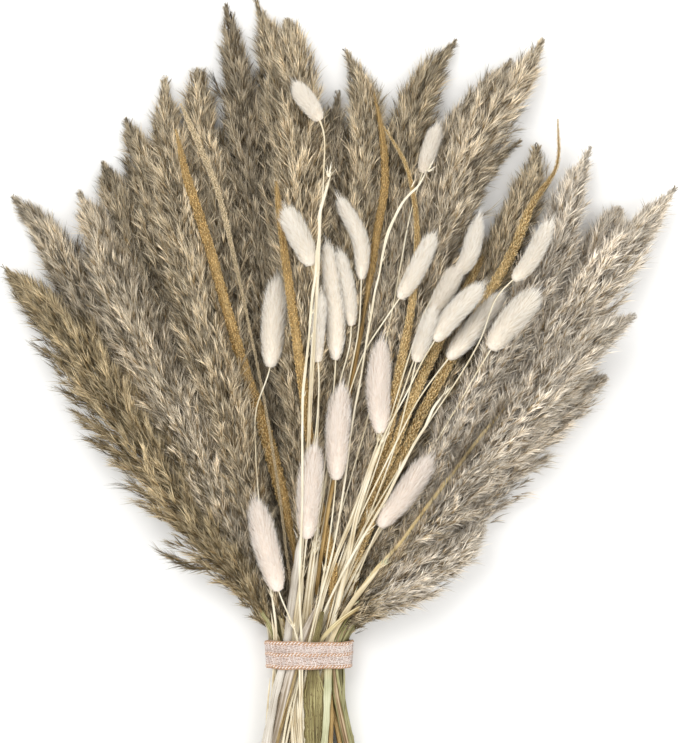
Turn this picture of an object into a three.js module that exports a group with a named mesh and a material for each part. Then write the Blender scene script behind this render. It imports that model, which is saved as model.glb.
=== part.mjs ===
// Tied bundle of dried grasses: reed plumes, foxtail spikes, bunny tails, bleached straws and a broad leaf, held at the neck by one ribbon.
// Millimetres. The bundle lies on the plane z = 0, flower tips toward +Y, cut ends toward -Y.
import * as THREE from "three";

// Driving dimensions
const NECK_WIDTH = 48.4; // the tied neck over the ribbon, along X
const NECK_DEPTH = 31.2; // the same, along Z
const NECK_HEIGHT = 17.5; // centre of the neck above the plane
const NECK_X = -17.05;
const RIBBON_LENGTH_Y0 = -165.28; // lower edge of the ribbon
const RIBBON_LENGTH_Y1 = -148.78; // upper edge of the ribbon
const RIBBON_THICKNESS = 1;
const SIDES_STEM = 6;
const SIDES_HEAD = 8;
// brings the outline to the middle of the frame
const SHIFT = [1.19, 23.22, -0.02];

// Each strand: control points from the tip to the cut end, and its girth as [place on the path, half width, half depth].
const STRANDS = [
  { name: "bunny_tail_01", colour: "#ece2d4", path: [[-34.9, 50.7, 24.5], [-36.8, 26.1, 26.4], [-38.9, 1.6, 28.2], [-46.4, -21.7, 29.7], [-46.5, -46.3, 30.8], [-44.8, -70.8, 30.6], [-41.9, -95.3, 29.1], [-38.4, -119.8, 27.1], [-35.4, -144.4, 25], [-36.4, -169, 22.3], [-39.3, -193.9, 20.5], [-41.6, -218.8, 18.5], [-41.7, -243.9, 15.5]],
    girth: [[0, 0.5], [0.12, 2.61], [0.39, 4.4], [0.87, 5.58], [1.4, 5.55], [1.75, 3.99], [1.94, 0.62], [3.38, 0.62], [4.81, 0.62], [6.25, 0.62], [7.57, 0.69, 0.56], [7.91, 0.7, 0.56], [8.25, 0.7, 0.56], [8.59, 0.7, 0.56], [8.94, 0.7, 0.56], [9.28, 0.7, 0.56], [10.56, 0.7, 0.56], [12, 0.7, 0.56]] },
  { name: "bunny_tail_02", colour: "#ece2d4", path: [[-28.5, 86.5, 44.1], [-18.4, 65.1, 41.5], [-11.8, 43.1, 38.8], [-11.1, 19.4, 37.1], [-11.6, -4.4, 36.3], [-12.1, -28.3, 35.3], [-13.9, -52.2, 33.1], [-16.6, -76, 29.5], [-19.5, -99.9, 25.7], [-21.2, -124, 21.8], [-23.4, -148.1, 17.6], [-24.7, -172.2, 14.1], [-26.1, -196.6, 12.7], [-27.4, -220.8, 10.7], [-29.2, -245, 10]],
    girth: [[0, 0.5], [0.08, 2.48], [0.25, 4.31], [0.57, 5.1], [0.92, 4.7], [1.14, 2.63], [1.27, 0.62], [2.69, 0.62], [4.1, 0.62], [5.51, 0.62], [6.93, 0.62], [8.34, 0.62], [9.42, 0.73, 0.57], [9.77, 0.76, 0.56], [10.12, 0.76, 0.56], [10.47, 0.76, 0.56], [10.81, 0.76, 0.56], [11.16, 0.76, 0.56], [12.59, 0.76, 0.56], [14, 0.76, 0.56]] },
  { name: "bunny_tail_03", colour: "#ece2d4", path: [[1.1, 93.1, 30.1], [11.3, 71.5, 30], [11.6, 47.1, 29.8], [10.2, 22.8, 29.4], [5.8, -1.2, 29.1], [1, -25.1, 28.8], [-3.3, -49.2, 28.4], [-7.2, -73.4, 27.5], [-11.7, -97.5, 23.4], [-15.3, -121.9, 19.3], [-17.5, -146.5, 16.5], [-20.7, -171, 14.6], [-24.7, -195.3, 13.5], [-28.5, -219.8, 13.3], [-30.9, -244.4, 11.1]],
    girth: [[0, 0.5], [0.11, 2.13], [0.36, 3.2], [0.81, 3.65], [1.29, 3.59], [1.61, 2.87], [1.79, 0.62], [3.15, 0.62], [4.5, 0.62], [5.86, 0.62], [7.22, 0.62], [8.57, 0.76, 0.56], [9.49, 0.76, 0.56], [9.83, 0.76, 0.56], [10.18, 0.76, 0.56], [10.52, 0.76, 0.56], [10.87, 0.76, 0.56], [11.21, 0.76, 0.56], [12.64, 0.76, 0.56], [14, 0.76, 0.56]] },
  { name: "bunny_tail_04", colour: "#ece2d4", path: [[-6.8, 68.1, 35], [-3.9, 43.9, 34.2], [-2.3, 19.6, 33.4], [-3, -4.7, 32.7], [-5.7, -28.9, 32.2], [-8.6, -53.2, 31.5], [-11.5, -77.5, 29.5], [-14.2, -101.9, 26.1], [-17.4, -126.3, 22.1], [-19.7, -150.9, 19.7], [-22.8, -175.4, 17.5], [-28.4, -199.3, 16.2], [-32.8, -223.6, 15.8], [-35.7, -248.2, 14.1]],
    girth: [[0, 0.5], [0.15, 2.47], [0.5, 3.71], [1.13, 4.21], [1.8, 4.49], [2.25, 4.07], [2.5, 0.62], [4, 0.62], [5.5, 0.62], [7, 0.73, 0.56], [8.31, 0.76, 0.56], [8.65, 0.76, 0.56], [8.99, 0.76, 0.56], [9.34, 0.76, 0.56], [9.68, 0.76, 0.56], [10.03, 0.76, 0.56], [11.5, 0.76, 0.56], [13, 0.76, 0.56]] },
  { name: "bunny_tail_05", colour: "#ece2d4", path: [[0.1, 63.8, 33.5], [5.1, 40.5, 32.2], [5.7, 17.3, 30.5], [0.1, -5.8, 28.7], [-4.1, -29.2, 27.4], [-6.8, -53, 26.8], [-10.1, -76.6, 25.8], [-14.1, -100.2, 23.6], [-16.2, -124, 20.6], [-16.8, -148.1, 19.6], [-15.7, -172.1, 17.7], [-14.3, -196.1, 15.5], [-12.1, -219.8, 11], [-8, -243.7, 9.4]],
    girth: [[0, 0.5], [0.1, 1.95], [0.32, 3.03], [0.73, 3.22], [1.16, 3.22], [1.45, 1.92], [1.61, 0.62], [3.04, 0.62], [4.46, 0.62], [5.88, 0.62], [7.31, 0.76, 0.56], [8.41, 0.76, 0.56], [8.77, 0.76, 0.56], [9.12, 0.76, 0.56], [9.47, 0.76, 0.56], [9.82, 0.76, 0.56], [10.18, 0.76, 0.56], [11.58, 0.76, 0.56], [13, 0.76, 0.56]] },
  { name: "bunny_tail_06", colour: "#ece2d4", path: [[-10.8, 39.3, 42.2], [-12.5, 15.8, 41.2], [-11.6, -7.7, 40], [-13.1, -31.3, 37.4], [-16.2, -54.8, 33.1], [-18.4, -78.4, 28.8], [-21.2, -102.1, 25.4], [-24.4, -125.7, 23.3], [-28.3, -149.2, 21.9], [-33, -172.4, 21.7], [-38.2, -195.7, 21.9], [-42.2, -219.2, 20.6], [-44.4, -243.2, 17.1]],
    girth: [[0, 0.5], [0.08, 1.89], [0.28, 2.79], [0.63, 2.99], [1.01, 2.92], [1.26, 2.11], [1.41, 0.62], [2.92, 0.62], [4.43, 0.62], [5.95, 0.62], [7.34, 0.74, 0.56], [7.7, 0.75, 0.56], [8.05, 0.75, 0.56], [8.41, 0.75, 0.56], [8.76, 0.75, 0.56], [9.12, 0.75, 0.56], [10.49, 0.75, 0.56], [12, 0.75, 0.56]] },
  { name: "bunny_tail_07", colour: "#ece2d4", path: [[49.9, 72.2, 45.6], [39.5, 50.9, 42.1], [26.5, 31.1, 38.3], [13.8, 11.1, 34.8], [5.4, -11.4, 31.9], [-2, -34.2, 30], [-7.6, -57.5, 28.6], [-12.1, -81.2, 26.9], [-16.2, -105, 24.6], [-19.3, -129, 20.9], [-22.4, -153.2, 18.3], [-26.5, -177.2, 15], [-28.2, -201.4, 12.2], [-30.1, -225.7, 10.5], [-33.2, -249.9, 9.3]],
    girth: [[0, 0.5], [0.09, 2.25], [0.3, 3.53], [0.67, 4.07], [1.08, 3.93], [1.35, 2.18], [1.5, 0.62], [2.89, 0.62], [4.27, 0.62], [5.66, 0.62], [7.05, 0.62], [8.44, 0.76, 0.56], [9.2, 0.76, 0.56], [9.55, 0.76, 0.56], [9.91, 0.76, 0.56], [10.26, 0.76, 0.56], [10.61, 0.76, 0.56], [10.96, 0.76, 0.56], [11.22, 0.76, 0.56], [12.61, 0.76, 0.56], [14, 0.76, 0.56]] },
  { name: "bunny_tail_08", colour: "#ece2d4", path: [[76.2, 82.5, 31.8], [68.9, 59.3, 33.2], [51.7, 42.2, 34.6], [41.9, 19.5, 35.6], [34.3, -4, 35.6], [27.2, -27.6, 32.4], [20.4, -51.3, 28.8], [12.6, -74.9, 25.7], [4.8, -98.5, 23], [-1.2, -122.5, 20.3], [-6.9, -146.4, 19.2], [-11.4, -170.5, 19.4], [-13.1, -195, 21.5], [-14.2, -219.7, 21.4], [-15.2, -244.6, 18.1]],
    girth: [[0, 0.5], [0.08, 1.88], [0.25, 3.01], [0.57, 3.95], [0.92, 3.98], [1.15, 2.54], [1.27, 0.62], [2.69, 0.62], [4.1, 0.62], [5.51, 0.62], [6.93, 0.62], [8.34, 0.76, 0.56], [9.51, 0.76, 0.56], [9.85, 0.76, 0.56], [10.2, 0.76, 0.56], [10.54, 0.76, 0.56], [10.89, 0.76, 0.56], [11.23, 0.76, 0.56], [12.59, 0.76, 0.56], [14, 0.76, 0.56]] },
  { name: "bunny_tail_09", colour: "#cfc6b6", path: [[63.2, 54.1, 41.7], [51.7, 32.6, 38.7], [42.2, 10.1, 36.2], [34.1, -13.1, 34.6], [25.6, -36.2, 32.7], [17.6, -59.6, 29.9], [9, -82.8, 26.6], [0.5, -106.2, 22.9], [-6.3, -130.1, 19.2], [-13.5, -154, 16.4], [-18.8, -178.3, 16.7], [-23.7, -202.8, 16.1], [-29.8, -227, 15.4], [-34.8, -251.4, 12.7]],
    girth: [[0, 0.5], [0.06, 2.19], [0.21, 3.73], [0.47, 4.27], [0.75, 3.87], [0.94, 2.08], [1.05, 0.62], [2.37, 0.62], [3.7, 0.62], [5.03, 0.62], [6.36, 0.62], [7.69, 0.76, 0.56], [8.16, 0.76, 0.56], [8.51, 0.76, 0.56], [8.86, 0.76, 0.56], [9.21, 0.76, 0.56], [9.56, 0.76, 0.56], [9.91, 0.76, 0.56], [10.34, 0.76, 0.56], [11.67, 0.76, 0.56], [13, 0.76, 0.56]] },
  { name: "bunny_tail_10", colour: "#ece2d4", path: [[75.6, 45.2, 47.7], [59.5, 27.8, 44.6], [46.5, 7.8, 41.3], [35.9, -13.6, 38], [24.6, -34.7, 34.8], [16.2, -57.1, 32.2], [8.9, -80.1, 29.9], [4.4, -103.8, 27.5], [-1, -127.5, 27], [-7.4, -150.9, 24.9], [-14, -174.2, 23], [-21, -197.5, 22.2], [-27.6, -220.8, 23], [-33.9, -243.9, 26.2]],
    girth: [[0, 0.5], [0.09, 2.37], [0.3, 3.95], [0.68, 4.72], [1.09, 4.72], [1.37, 2.28], [1.52, 0.62], [2.95, 0.62], [4.39, 0.76, 0.56], [5.82, 0.76, 0.56], [7.26, 0.76, 0.56], [8.28, 0.76, 0.56], [8.65, 0.76, 0.56], [9.01, 0.76, 0.56], [9.38, 0.76, 0.56], [9.74, 0.76, 0.56], [10.1, 0.76, 0.56], [11.56, 0.76, 0.56], [13, 0.76, 0.56]] },
  { name: "bunny_tail_11", colour: "#ddcfc4", path: [[50.5, 31.5, 46.3], [42.8, 8.9, 40.5], [37.4, -14.4, 35.4], [31.4, -37.9, 31.7], [23.5, -60.7, 28.8], [14.6, -83.3, 25.8], [5.5, -105.9, 23.5], [-3.4, -128.7, 21.8], [-10.9, -151.8, 18.6], [-16.2, -175.5, 15.8], [-21.3, -199.4, 16.3], [-26.4, -223.3, 15.8], [-32, -247.1, 14.4]],
    girth: [[0, 0.5], [0.07, 2.09], [0.23, 3.5], [0.51, 3.83], [0.82, 3.7], [1.02, 2.66], [1.13, 0.62], [2.49, 0.62], [3.85, 0.62], [5.21, 0.73, 0.56], [6.57, 0.76, 0.56], [7.22, 0.76, 0.56], [7.58, 0.76, 0.56], [7.94, 0.76, 0.56], [8.31, 0.76, 0.56], [8.67, 0.76, 0.56], [9.03, 0.76, 0.56], [9.28, 0.76, 0.56], [10.64, 0.76, 0.56], [12, 0.76, 0.56]] },
  { name: "bunny_tail_12", colour: "#ece2d4", path: [[88.5, 41.2, 26.8], [72.8, 22.2, 29.5], [56.9, 3.4, 31.9], [42.8, -16.4, 33.8], [31.5, -38.2, 34], [20.7, -60.3, 32], [10.1, -82.5, 28.4], [1.6, -105.8, 24.8], [-7.1, -129, 20.8], [-16.5, -151.9, 17.7], [-24.4, -175.3, 16.2], [-30.4, -199.2, 17.4], [-37, -223, 18.4], [-45.3, -246.3, 19.6]],
    girth: [[0, 0.5], [0.11, 2.35], [0.36, 3.93], [0.81, 4.7], [1.29, 4.72], [1.61, 2.45], [1.79, 0.62], [3.19, 0.62], [4.59, 0.62], [5.99, 0.62], [7.4, 0.76, 0.56], [8.26, 0.76, 0.56], [8.63, 0.76, 0.56], [8.99, 0.76, 0.56], [9.35, 0.76, 0.56], [9.71, 0.76, 0.56], [10.07, 0.76, 0.56], [11.6, 0.76, 0.56], [13, 0.76, 0.56]] },
  { name: "bunny_tail_13", colour: "#ece2d4", path: [[105.8, 40.9, 46.8], [89.8, 22.3, 42.1], [76.7, 1.6, 36.7], [64.5, -19.9, 31.4], [51.7, -41.1, 26.6], [38.3, -62, 23.1], [25.4, -83.3, 21.5], [12.3, -104.7, 21.3], [1.1, -126.9, 21], [-9.5, -149.7, 20.8], [-18.2, -173.1, 19.1], [-26.3, -196.7, 14.2], [-34.4, -220.6, 12], [-42.1, -244.5, 9.1]],
    girth: [[0, 0.5], [0.09, 3.04], [0.29, 5.13], [0.66, 5.95], [1.06, 5.66], [1.33, 3.02], [1.47, 0.62], [2.91, 0.62], [4.35, 0.62], [5.8, 0.62, 0.56], [7.24, 0.75, 0.56], [8.34, 0.75, 0.56], [8.69, 0.75, 0.56], [9.05, 0.75, 0.56], [9.41, 0.75, 0.56], [9.77, 0.75, 0.56], [10.13, 0.75, 0.56], [11.56, 0.75, 0.56], [13, 0.75, 0.56]] },
  { name: "bunny_tail_14", colour: "#ece2d4", path: [[113.7, 79, 53.2], [102.5, 58.1, 47], [86.3, 40.9, 41.3], [77.7, 18.2, 36.2], [65.9, -2.8, 32.1], [52.4, -23, 29.6], [39.1, -43.4, 28.6], [26.4, -64.2, 28.4], [14.1, -85.2, 27.6], [3.2, -107.1, 25.4], [-5.8, -129.9, 22.1], [-14.5, -152.7, 17.9], [-22.5, -176, 15.9], [-29.5, -199.5, 14.6], [-36.1, -223.2, 13.9], [-42.4, -246.9, 12.9]],
    girth: [[0, 0.5], [0.09, 2.06], [0.29, 3.35], [0.64, 3.84], [1.03, 3.86], [1.28, 2.25], [1.43, 0.62], [2.78, 0.62], [4.14, 0.62], [5.5, 0.62], [6.86, 0.62], [8.21, 0.62], [9.57, 0.76, 0.56], [10.21, 0.76, 0.56], [10.57, 0.76, 0.56], [10.94, 0.76, 0.56], [11.3, 0.76, 0.56], [11.67, 0.76, 0.56], [12.03, 0.76, 0.56], [12.29, 0.76, 0.56], [13.64, 0.76, 0.56], [15, 0.76, 0.56]] },
  { name: "bunny_tail_15", colour: "#cfc6b6", path: [[-23.2, 156.6, 30.1], [-9.8, 134.7, 34.3], [-9, 109.2, 38.3], [-10.6, 83.6, 41.9], [-11.6, 58.1, 44.6], [-12.9, 32.7, 46], [-14.7, 7.4, 45], [-16.1, -18, 41.6], [-17.1, -43.5, 36.8], [-18.6, -69, 32.1], [-20.4, -94.7, 28.2], [-22.2, -120.5, 25.4], [-23.7, -146.4, 22.7], [-24, -172.4, 23.2], [-23.8, -198.1, 22.7], [-22.2, -223.7, 17.9], [-18.4, -249.4, 12.5]],
    girth: [[0, 0.5], [0.05, 2], [0.17, 3.27], [0.37, 4.03], [0.6, 3.65], [0.75, 1.96], [0.83, 0.62], [2.21, 0.62], [3.59, 0.62], [4.97, 0.62], [6.35, 0.62], [7.72, 0.62], [9.1, 0.62], [10.48, 0.62], [11.52, 0.72, 0.57], [11.85, 0.76, 0.56], [12.17, 0.76, 0.56], [12.5, 0.76, 0.56], [12.83, 0.76, 0.56], [13.16, 0.76, 0.56], [14.62, 0.76, 0.56], [16, 0.76, 0.56]] },
  { name: "bunny_tail_16", colour: "#cfc6b6", path: [[53.2, 132.8, 22.1], [45.5, 109.5, 25.1], [38.7, 86, 27.8], [34.1, 61.9, 29.7], [29.7, 37.9, 30.4], [24.8, 14, 29.7], [19.4, -9.8, 27.8], [13.4, -33.5, 25.1], [6.6, -57.1, 22.1], [-0.2, -80.7, 19.2], [-7.1, -104.4, 17.1], [-11.3, -128.7, 15], [-13.8, -153.3, 12.9], [-16.3, -177.9, 10.6], [-19.4, -202.3, 7.8], [-22.6, -226.7, 6.3], [-25.2, -251.3, 6.9]],
    girth: [[0, 0.5], [0.06, 2.02], [0.19, 3.3], [0.43, 3.62], [0.69, 3.33], [0.86, 2.13], [0.96, 0.62], [2.32, 0.62], [3.69, 0.62], [5.06, 0.62], [6.43, 0.62], [7.79, 0.62], [9.16, 0.62, 0.56], [10.53, 0.76, 0.56], [11.23, 0.76, 0.56], [11.57, 0.76, 0.56], [11.92, 0.76, 0.56], [12.27, 0.76, 0.56], [12.62, 0.76, 0.56], [12.96, 0.76, 0.56], [13.26, 0.76, 0.56], [14.63, 0.76, 0.56], [16, 0.76, 0.56]] },
  { name: "bunny_tail_17", colour: "#ece2d4", path: [[22.6, 14.6, 39.6], [21, -9.6, 36.9], [21.8, -33.6, 33.6], [15.2, -56.8, 30.4], [6.9, -79.7, 28.3], [-2.2, -102.3, 27.3], [-9.3, -125.5, 26.7], [-15.3, -149.1, 26.7], [-19, -173.2, 25.7], [-21.2, -197.6, 24.7], [-22.9, -222.1, 22.2], [-24.3, -246.7, 17.9]],
    girth: [[0, 0.5], [0.12, 2.37], [0.4, 4.08], [0.9, 5.36], [1.43, 5.36], [1.79, 4.21], [1.99, 0.62], [3.49, 0.76, 0.56], [4.99, 0.76, 0.56], [6.35, 0.76, 0.56], [6.7, 0.76, 0.56], [7.05, 0.76, 0.56], [7.4, 0.76, 0.56], [7.75, 0.76, 0.56], [8.1, 0.76, 0.56], [9.5, 0.76, 0.56], [11, 0.76, 0.56]] },
  { name: "bunny_tail_18", colour: "#ece2d4", path: [[0.6, -10.7, 38], [-1.5, -34.4, 36.6], [-2.2, -58.2, 33.9], [-4.5, -81.9, 30.6], [-7.9, -105.6, 28.6], [-11.4, -129.3, 28.4], [-15.1, -153.1, 28.2], [-17.4, -177.1, 26.3], [-18.2, -201.2, 23.3], [-19.2, -225.5, 20.3], [-20.2, -249.7, 17]],
    girth: [[0, 0.5], [0.12, 2.63], [0.41, 4.42], [0.91, 5.36], [1.46, 5.17], [1.82, 3.15], [2.03, 0.62], [3.35, 0.62], [4.68, 0.75, 0.56], [5.18, 0.75, 0.56], [5.53, 0.75, 0.56], [5.88, 0.75, 0.56], [6.24, 0.75, 0.56], [6.59, 0.75, 0.56], [6.94, 0.75, 0.56], [7.34, 0.75, 0.56], [8.67, 0.75, 0.56], [10, 0.75, 0.56]] },
  { name: "bunny_tail_19", colour: "#ece2d4", path: [[-14.2, -43.6, 42.5], [-17.2, -68.4, 39], [-18.6, -93.3, 34], [-21.4, -118.2, 28.6], [-24.9, -143.2, 24.3], [-26.1, -168.3, 22.6], [-25.4, -193.3, 23.3], [-23.9, -218.2, 24.7], [-22.8, -243.1, 24.3]],
    girth: [[0, 0.5], [0.12, 2.6], [0.39, 4.44], [0.88, 5.57], [1.4, 5.32], [1.75, 3.61], [1.95, 0.62], [3.62, 0.65, 0.56], [3.96, 0.65, 0.56], [4.29, 0.65, 0.56], [4.63, 0.65, 0.56], [4.97, 0.65, 0.56], [5.3, 0.65, 0.56], [6.49, 0.65, 0.56], [8, 0.65, 0.56]] },
  { name: "bunny_tail_20", colour: "#ece2d4", path: [[-46, -73.5, 38.7], [-40.3, -97.8, 36], [-33.4, -122.3, 32.3], [-24, -146.7, 30.2], [-22.2, -171.5, 30.4], [-22.7, -196.5, 27.2], [-21.2, -221.4, 23.5], [-18.4, -246.2, 18.8]],
    girth: [[0, 0.5], [0.12, 2.58], [0.39, 4.49], [0.87, 5.79], [1.39, 5.72], [1.74, 3.95], [1.93, 0.62], [2.45, 0.62, 0.6], [2.79, 0.62, 0.58], [3.13, 0.62, 0.56], [3.47, 0.62, 0.56], [3.81, 0.62, 0.56], [4.15, 0.62, 0.56], [4.47, 0.62, 0.56], [5.73, 0.62, 0.56], [7, 0.62, 0.56]] },
  { name: "bunny_tail_21", colour: "#ece2d4", path: [[48.6, -49.9, 32.1], [35.2, -68.8, 29.5], [21.2, -87.2, 26.1], [11.8, -108.6, 22.6], [2.9, -130, 20.4], [-4.5, -151.8, 22.3], [-8.6, -174.4, 22.6], [-10.7, -197.7, 21.5], [-12.3, -221, 20.9], [-13.5, -244.4, 20.1]],
    girth: [[0, 0.5], [0.12, 2.84], [0.38, 4.67], [0.86, 5.36], [1.38, 5.14], [1.73, 3.06], [1.92, 0.62], [3.33, 0.62, 0.56], [4.22, 0.7, 0.56], [4.58, 0.73, 0.56], [4.95, 0.75, 0.56], [5.31, 0.75, 0.56], [5.68, 0.75, 0.56], [6.04, 0.75, 0.56], [7.58, 0.75, 0.56], [9, 0.75, 0.56]] },
  { name: "gold_spike_01", colour: "#b98a4c", path: [[-90.7, 133.6, 28.2], [-85.3, 109.7, 27.7], [-77.9, 86.4, 26.9], [-70.7, 63, 25.2], [-64.2, 39.5, 23.1], [-57.4, 15.9, 20.9], [-49.9, -7.5, 19.1], [-42.4, -30.9, 17.9], [-35.7, -54.5, 17.4], [-29.9, -78.5, 17.6], [-25.1, -102.7, 17.6], [-23.5, -127.3, 17.5], [-21.8, -152, 15.3], [-20.7, -176.8, 11.4], [-18, -201.1, 11.2], [-13.3, -225.4, 11.5], [-9.6, -249.9, 9.4]],
    girth: [[0, 0.45], [0.21, 1.16], [1, 2.34], [2, 2.65], [3, 2.85], [4, 2.9], [5, 2.9], [6, 2.9], [7, 2.9], [8, 2.87], [9, 2.53], [10, 1.48], [11, 1], [11.29, 1.05], [11.63, 1.1], [11.97, 1.16], [12.32, 1.2], [12.66, 1.24], [13, 1.29], [14, 1.29], [15, 1.29], [16, 1.29]] },
  { name: "gold_spike_02", colour: "#b98a4c", path: [[-35.3, 104.5, 34.3], [-32.5, 81.2, 37.4], [-29.5, 57.9, 40], [-26.2, 34.8, 41.7], [-23, 11.6, 42.1], [-19.9, -11.7, 40.2], [-17.1, -34.9, 34.6], [-13.9, -58, 27], [-10.2, -81, 21.4], [-4.8, -104.3, 24], [-4.8, -128.2, 26.1], [-7.8, -151.8, 22.2], [-7.3, -175.2, 19.1], [-1.5, -199, 19.3], [2.4, -222.5, 18.3], [5.7, -246, 16.9]],
    girth: [[0, 0.45], [0.21, 1.41], [1, 2], [2, 2.3], [3, 2.5], [4, 2.64], [5, 2.7], [6, 2.39], [7, 2.15], [8, 2.01], [9, 1.8], [10.23, 1.04], [10.59, 1.14], [10.95, 1.23], [11.3, 1.26], [11.66, 1.27], [12.02, 1.29], [13, 1.29], [14, 1.29], [15, 1.29]] },
  { name: "gold_spike_03", colour: "#b98a4c", path: [[18.9, 155.7, 12.5], [23.7, 130.2, 15.1], [24.9, 104.5, 17.7], [20.9, 79, 20.1], [16.9, 53.6, 22.5], [12.8, 28.3, 24.8], [8.2, 3.1, 26.9], [3.8, -22.1, 28.1], [-0.7, -47.4, 28.9], [-5.9, -72.7, 29.6], [-9.7, -97.8, 25.3], [-13.1, -122.8, 17.9], [-15.5, -148.6, 14.3], [-18.6, -174.5, 14.4], [-22.9, -200.2, 14], [-26.3, -225.9, 13.1], [-29.5, -251.7, 12.1]],
    girth: [[0, 0.45], [0.2, 0.97], [0.94, 1.88], [1.88, 2.34], [2.82, 2.34], [3.76, 2.26], [4.71, 1.32], [5.65, 1.03], [6.59, 1.02], [7.53, 1.02], [8.47, 1.02], [9.41, 1.02], [10.35, 1.02], [11.41, 1.05], [11.74, 1.13], [12.06, 1.21], [12.39, 1.26], [12.72, 1.27], [13.05, 1.28], [14.12, 1.29], [15.06, 1.29], [16, 1.29]] },
  { name: "gold_spike_04", colour: "#b98a4c", path: [[24.4, 135.3, 27.2], [36.1, 114.8, 30.2], [41.4, 91, 33], [42.5, 66.8, 35], [40.4, 42.7, 36], [36.6, 18.9, 35.2], [31.8, -4.8, 32.2], [27.7, -28.8, 27.7], [22.2, -52.5, 20.9], [15.8, -76, 15.5], [10.8, -100.1, 13.7], [7.5, -124.5, 15.7], [-2.5, -147, 19], [-5.4, -170.2, 21.9], [-4.9, -194.4, 26.1], [-6.4, -218.6, 27.5], [-8.5, -242.7, 27.7]],
    girth: [[0, 0.45], [0.21, 0.85], [1, 1.27], [2, 1.55], [3, 1.89], [4, 2.09], [5, 2.38], [6, 2.64], [7, 2.88], [8, 3.06], [9, 2.98], [10, 2.23], [11, 1.32], [11.47, 1.31], [11.83, 1.31], [12.18, 1.31], [12.53, 1.3], [12.88, 1.29], [13.23, 1.29], [14, 1.29], [15, 1.29], [16, 1.29]] },
  { name: "gold_spike_05", colour: "#b98a4c", path: [[121.5, 140.2, 10.5], [120.6, 114.3, 12.9], [106.7, 92.6, 15.2], [96.9, 68.5, 17.2], [84.2, 45.7, 18.9], [71.6, 23, 20], [58.4, 0.7, 20.8], [46.1, -22.1, 21.2], [34.5, -45.2, 21.3], [23.6, -68.8, 20.7], [13.2, -92.7, 19.8], [4.5, -117.1, 18], [-3.2, -141.7, 15.4], [-7.2, -167.5, 15.8], [-9.8, -193.4, 15.4], [-12.7, -219.2, 15.2], [-17.2, -244.9, 16.1]],
    girth: [[0, 0.45], [0.19, 0.85], [0.94, 1.3], [1.88, 2.02], [2.82, 2.82], [3.76, 2.82], [4.71, 2.82], [5.65, 2.82], [6.59, 2.82], [7.53, 2.82], [8.47, 2.82], [9.41, 2.82], [10.35, 2.46], [11.29, 2.25], [11.68, 2.08], [12.01, 1.94], [12.34, 1.82], [12.67, 1.76], [13, 1.71], [13.33, 1.68], [14.12, 1.68], [15.06, 1.68], [16, 1.68]] },
  { name: "gold_spike_06", colour: "#b98a4c", path: [[80.3, 65, 9.9], [69.1, 44, 14.7], [58.3, 23, 19.2], [48, 1.9, 23.1], [38.2, -19.5, 26.2], [30.3, -41.6, 27.6], [21.3, -63.1, 25.2], [12.3, -84.9, 23], [3.6, -106.9, 20], [-3.5, -129.5, 17.5], [-9.2, -152.5, 16.8], [-14.4, -175.4, 14.1], [-19, -198.5, 14.4], [-21.6, -222, 11.4], [-23.5, -245.9, 9.3]],
    girth: [[0, 0.45], [0.21, 1.7], [1, 2.56], [2, 2.82], [3, 2.82], [4, 2.8], [5, 2.57], [6, 2.32], [7, 1.67], [8, 1.05], [9.19, 1.01], [9.55, 1.08], [9.92, 1.16], [10.29, 1.21], [10.66, 1.25], [11.02, 1.29], [12, 1.29], [13, 1.29], [14, 1.29]] },
  { name: "olive_leaf_01", colour: "#8f8a55", path: [[-9.6, -132.6, 30.6], [-14.5, -155.8, 29.9], [-14.3, -179.5, 28.9], [-13.9, -203, 26.6], [-13.7, -226.5, 24], [-14.2, -250, 21.1]],
    girth: [[0, 0.88, 0.6], [0.38, 1.58, 0.6], [0.75, 1.95, 0.6], [1.11, 2.26, 0.6], [1.47, 2.73, 0.6], [1.84, 3.46, 0.6], [2.5, 4.99, 0.6], [3, 5.73, 0.6], [3.5, 5.62, 0.6], [4, 4.88, 0.6], [4.5, 3.55, 0.6], [5, 1.65, 0.6]] },
  { name: "pale_spike_01", colour: "#c9b07a", path: [[-88.5, 148.8, 15.2], [-78.3, 125.6, 16.6], [-68.6, 102.2, 17.9], [-62.1, 77.7, 18.9], [-56.5, 53.1, 19.7], [-51.1, 28.4, 20.3], [-45.9, 3.7, 20.9], [-41.1, -21, 21.5], [-37, -45.9, 21.8], [-33.3, -70.8, 21.5], [-30.3, -95.9, 21.1], [-26.9, -120.9, 21.1], [-23.2, -145.9, 20.6], [-19.8, -170.9, 21.3], [-15.5, -195.9, 19.4], [-10.8, -220.8, 18.5], [-6.4, -245.9, 16.9]],
    girth: [[0, 0.45], [0.2, 1.15], [0.94, 1.77], [1.88, 1.78], [2.82, 1.68], [3.76, 1.23], [4.71, 0.93], [5.65, 0.87], [6.59, 0.87], [7.53, 0.87], [8.47, 0.87], [9.41, 0.87], [10.35, 0.87], [11.53, 0.93], [11.86, 1.01], [12.2, 1.1], [12.54, 1.16], [12.87, 1.23], [13.21, 1.29], [14.12, 1.29], [15.06, 1.29], [16, 1.29]] },
  { name: "pale_stalk_01", colour: "#dfcabd", path: [[-21.9, -90.9, 31.2], [-24.5, -113.4, 28], [-27.6, -135.7, 26.1], [-30.4, -157.8, 25.1], [-36, -179.9, 25.1], [-40, -202.7, 25.1], [-42.7, -225.7, 24.3], [-45.6, -248.8, 22.9]],
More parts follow.
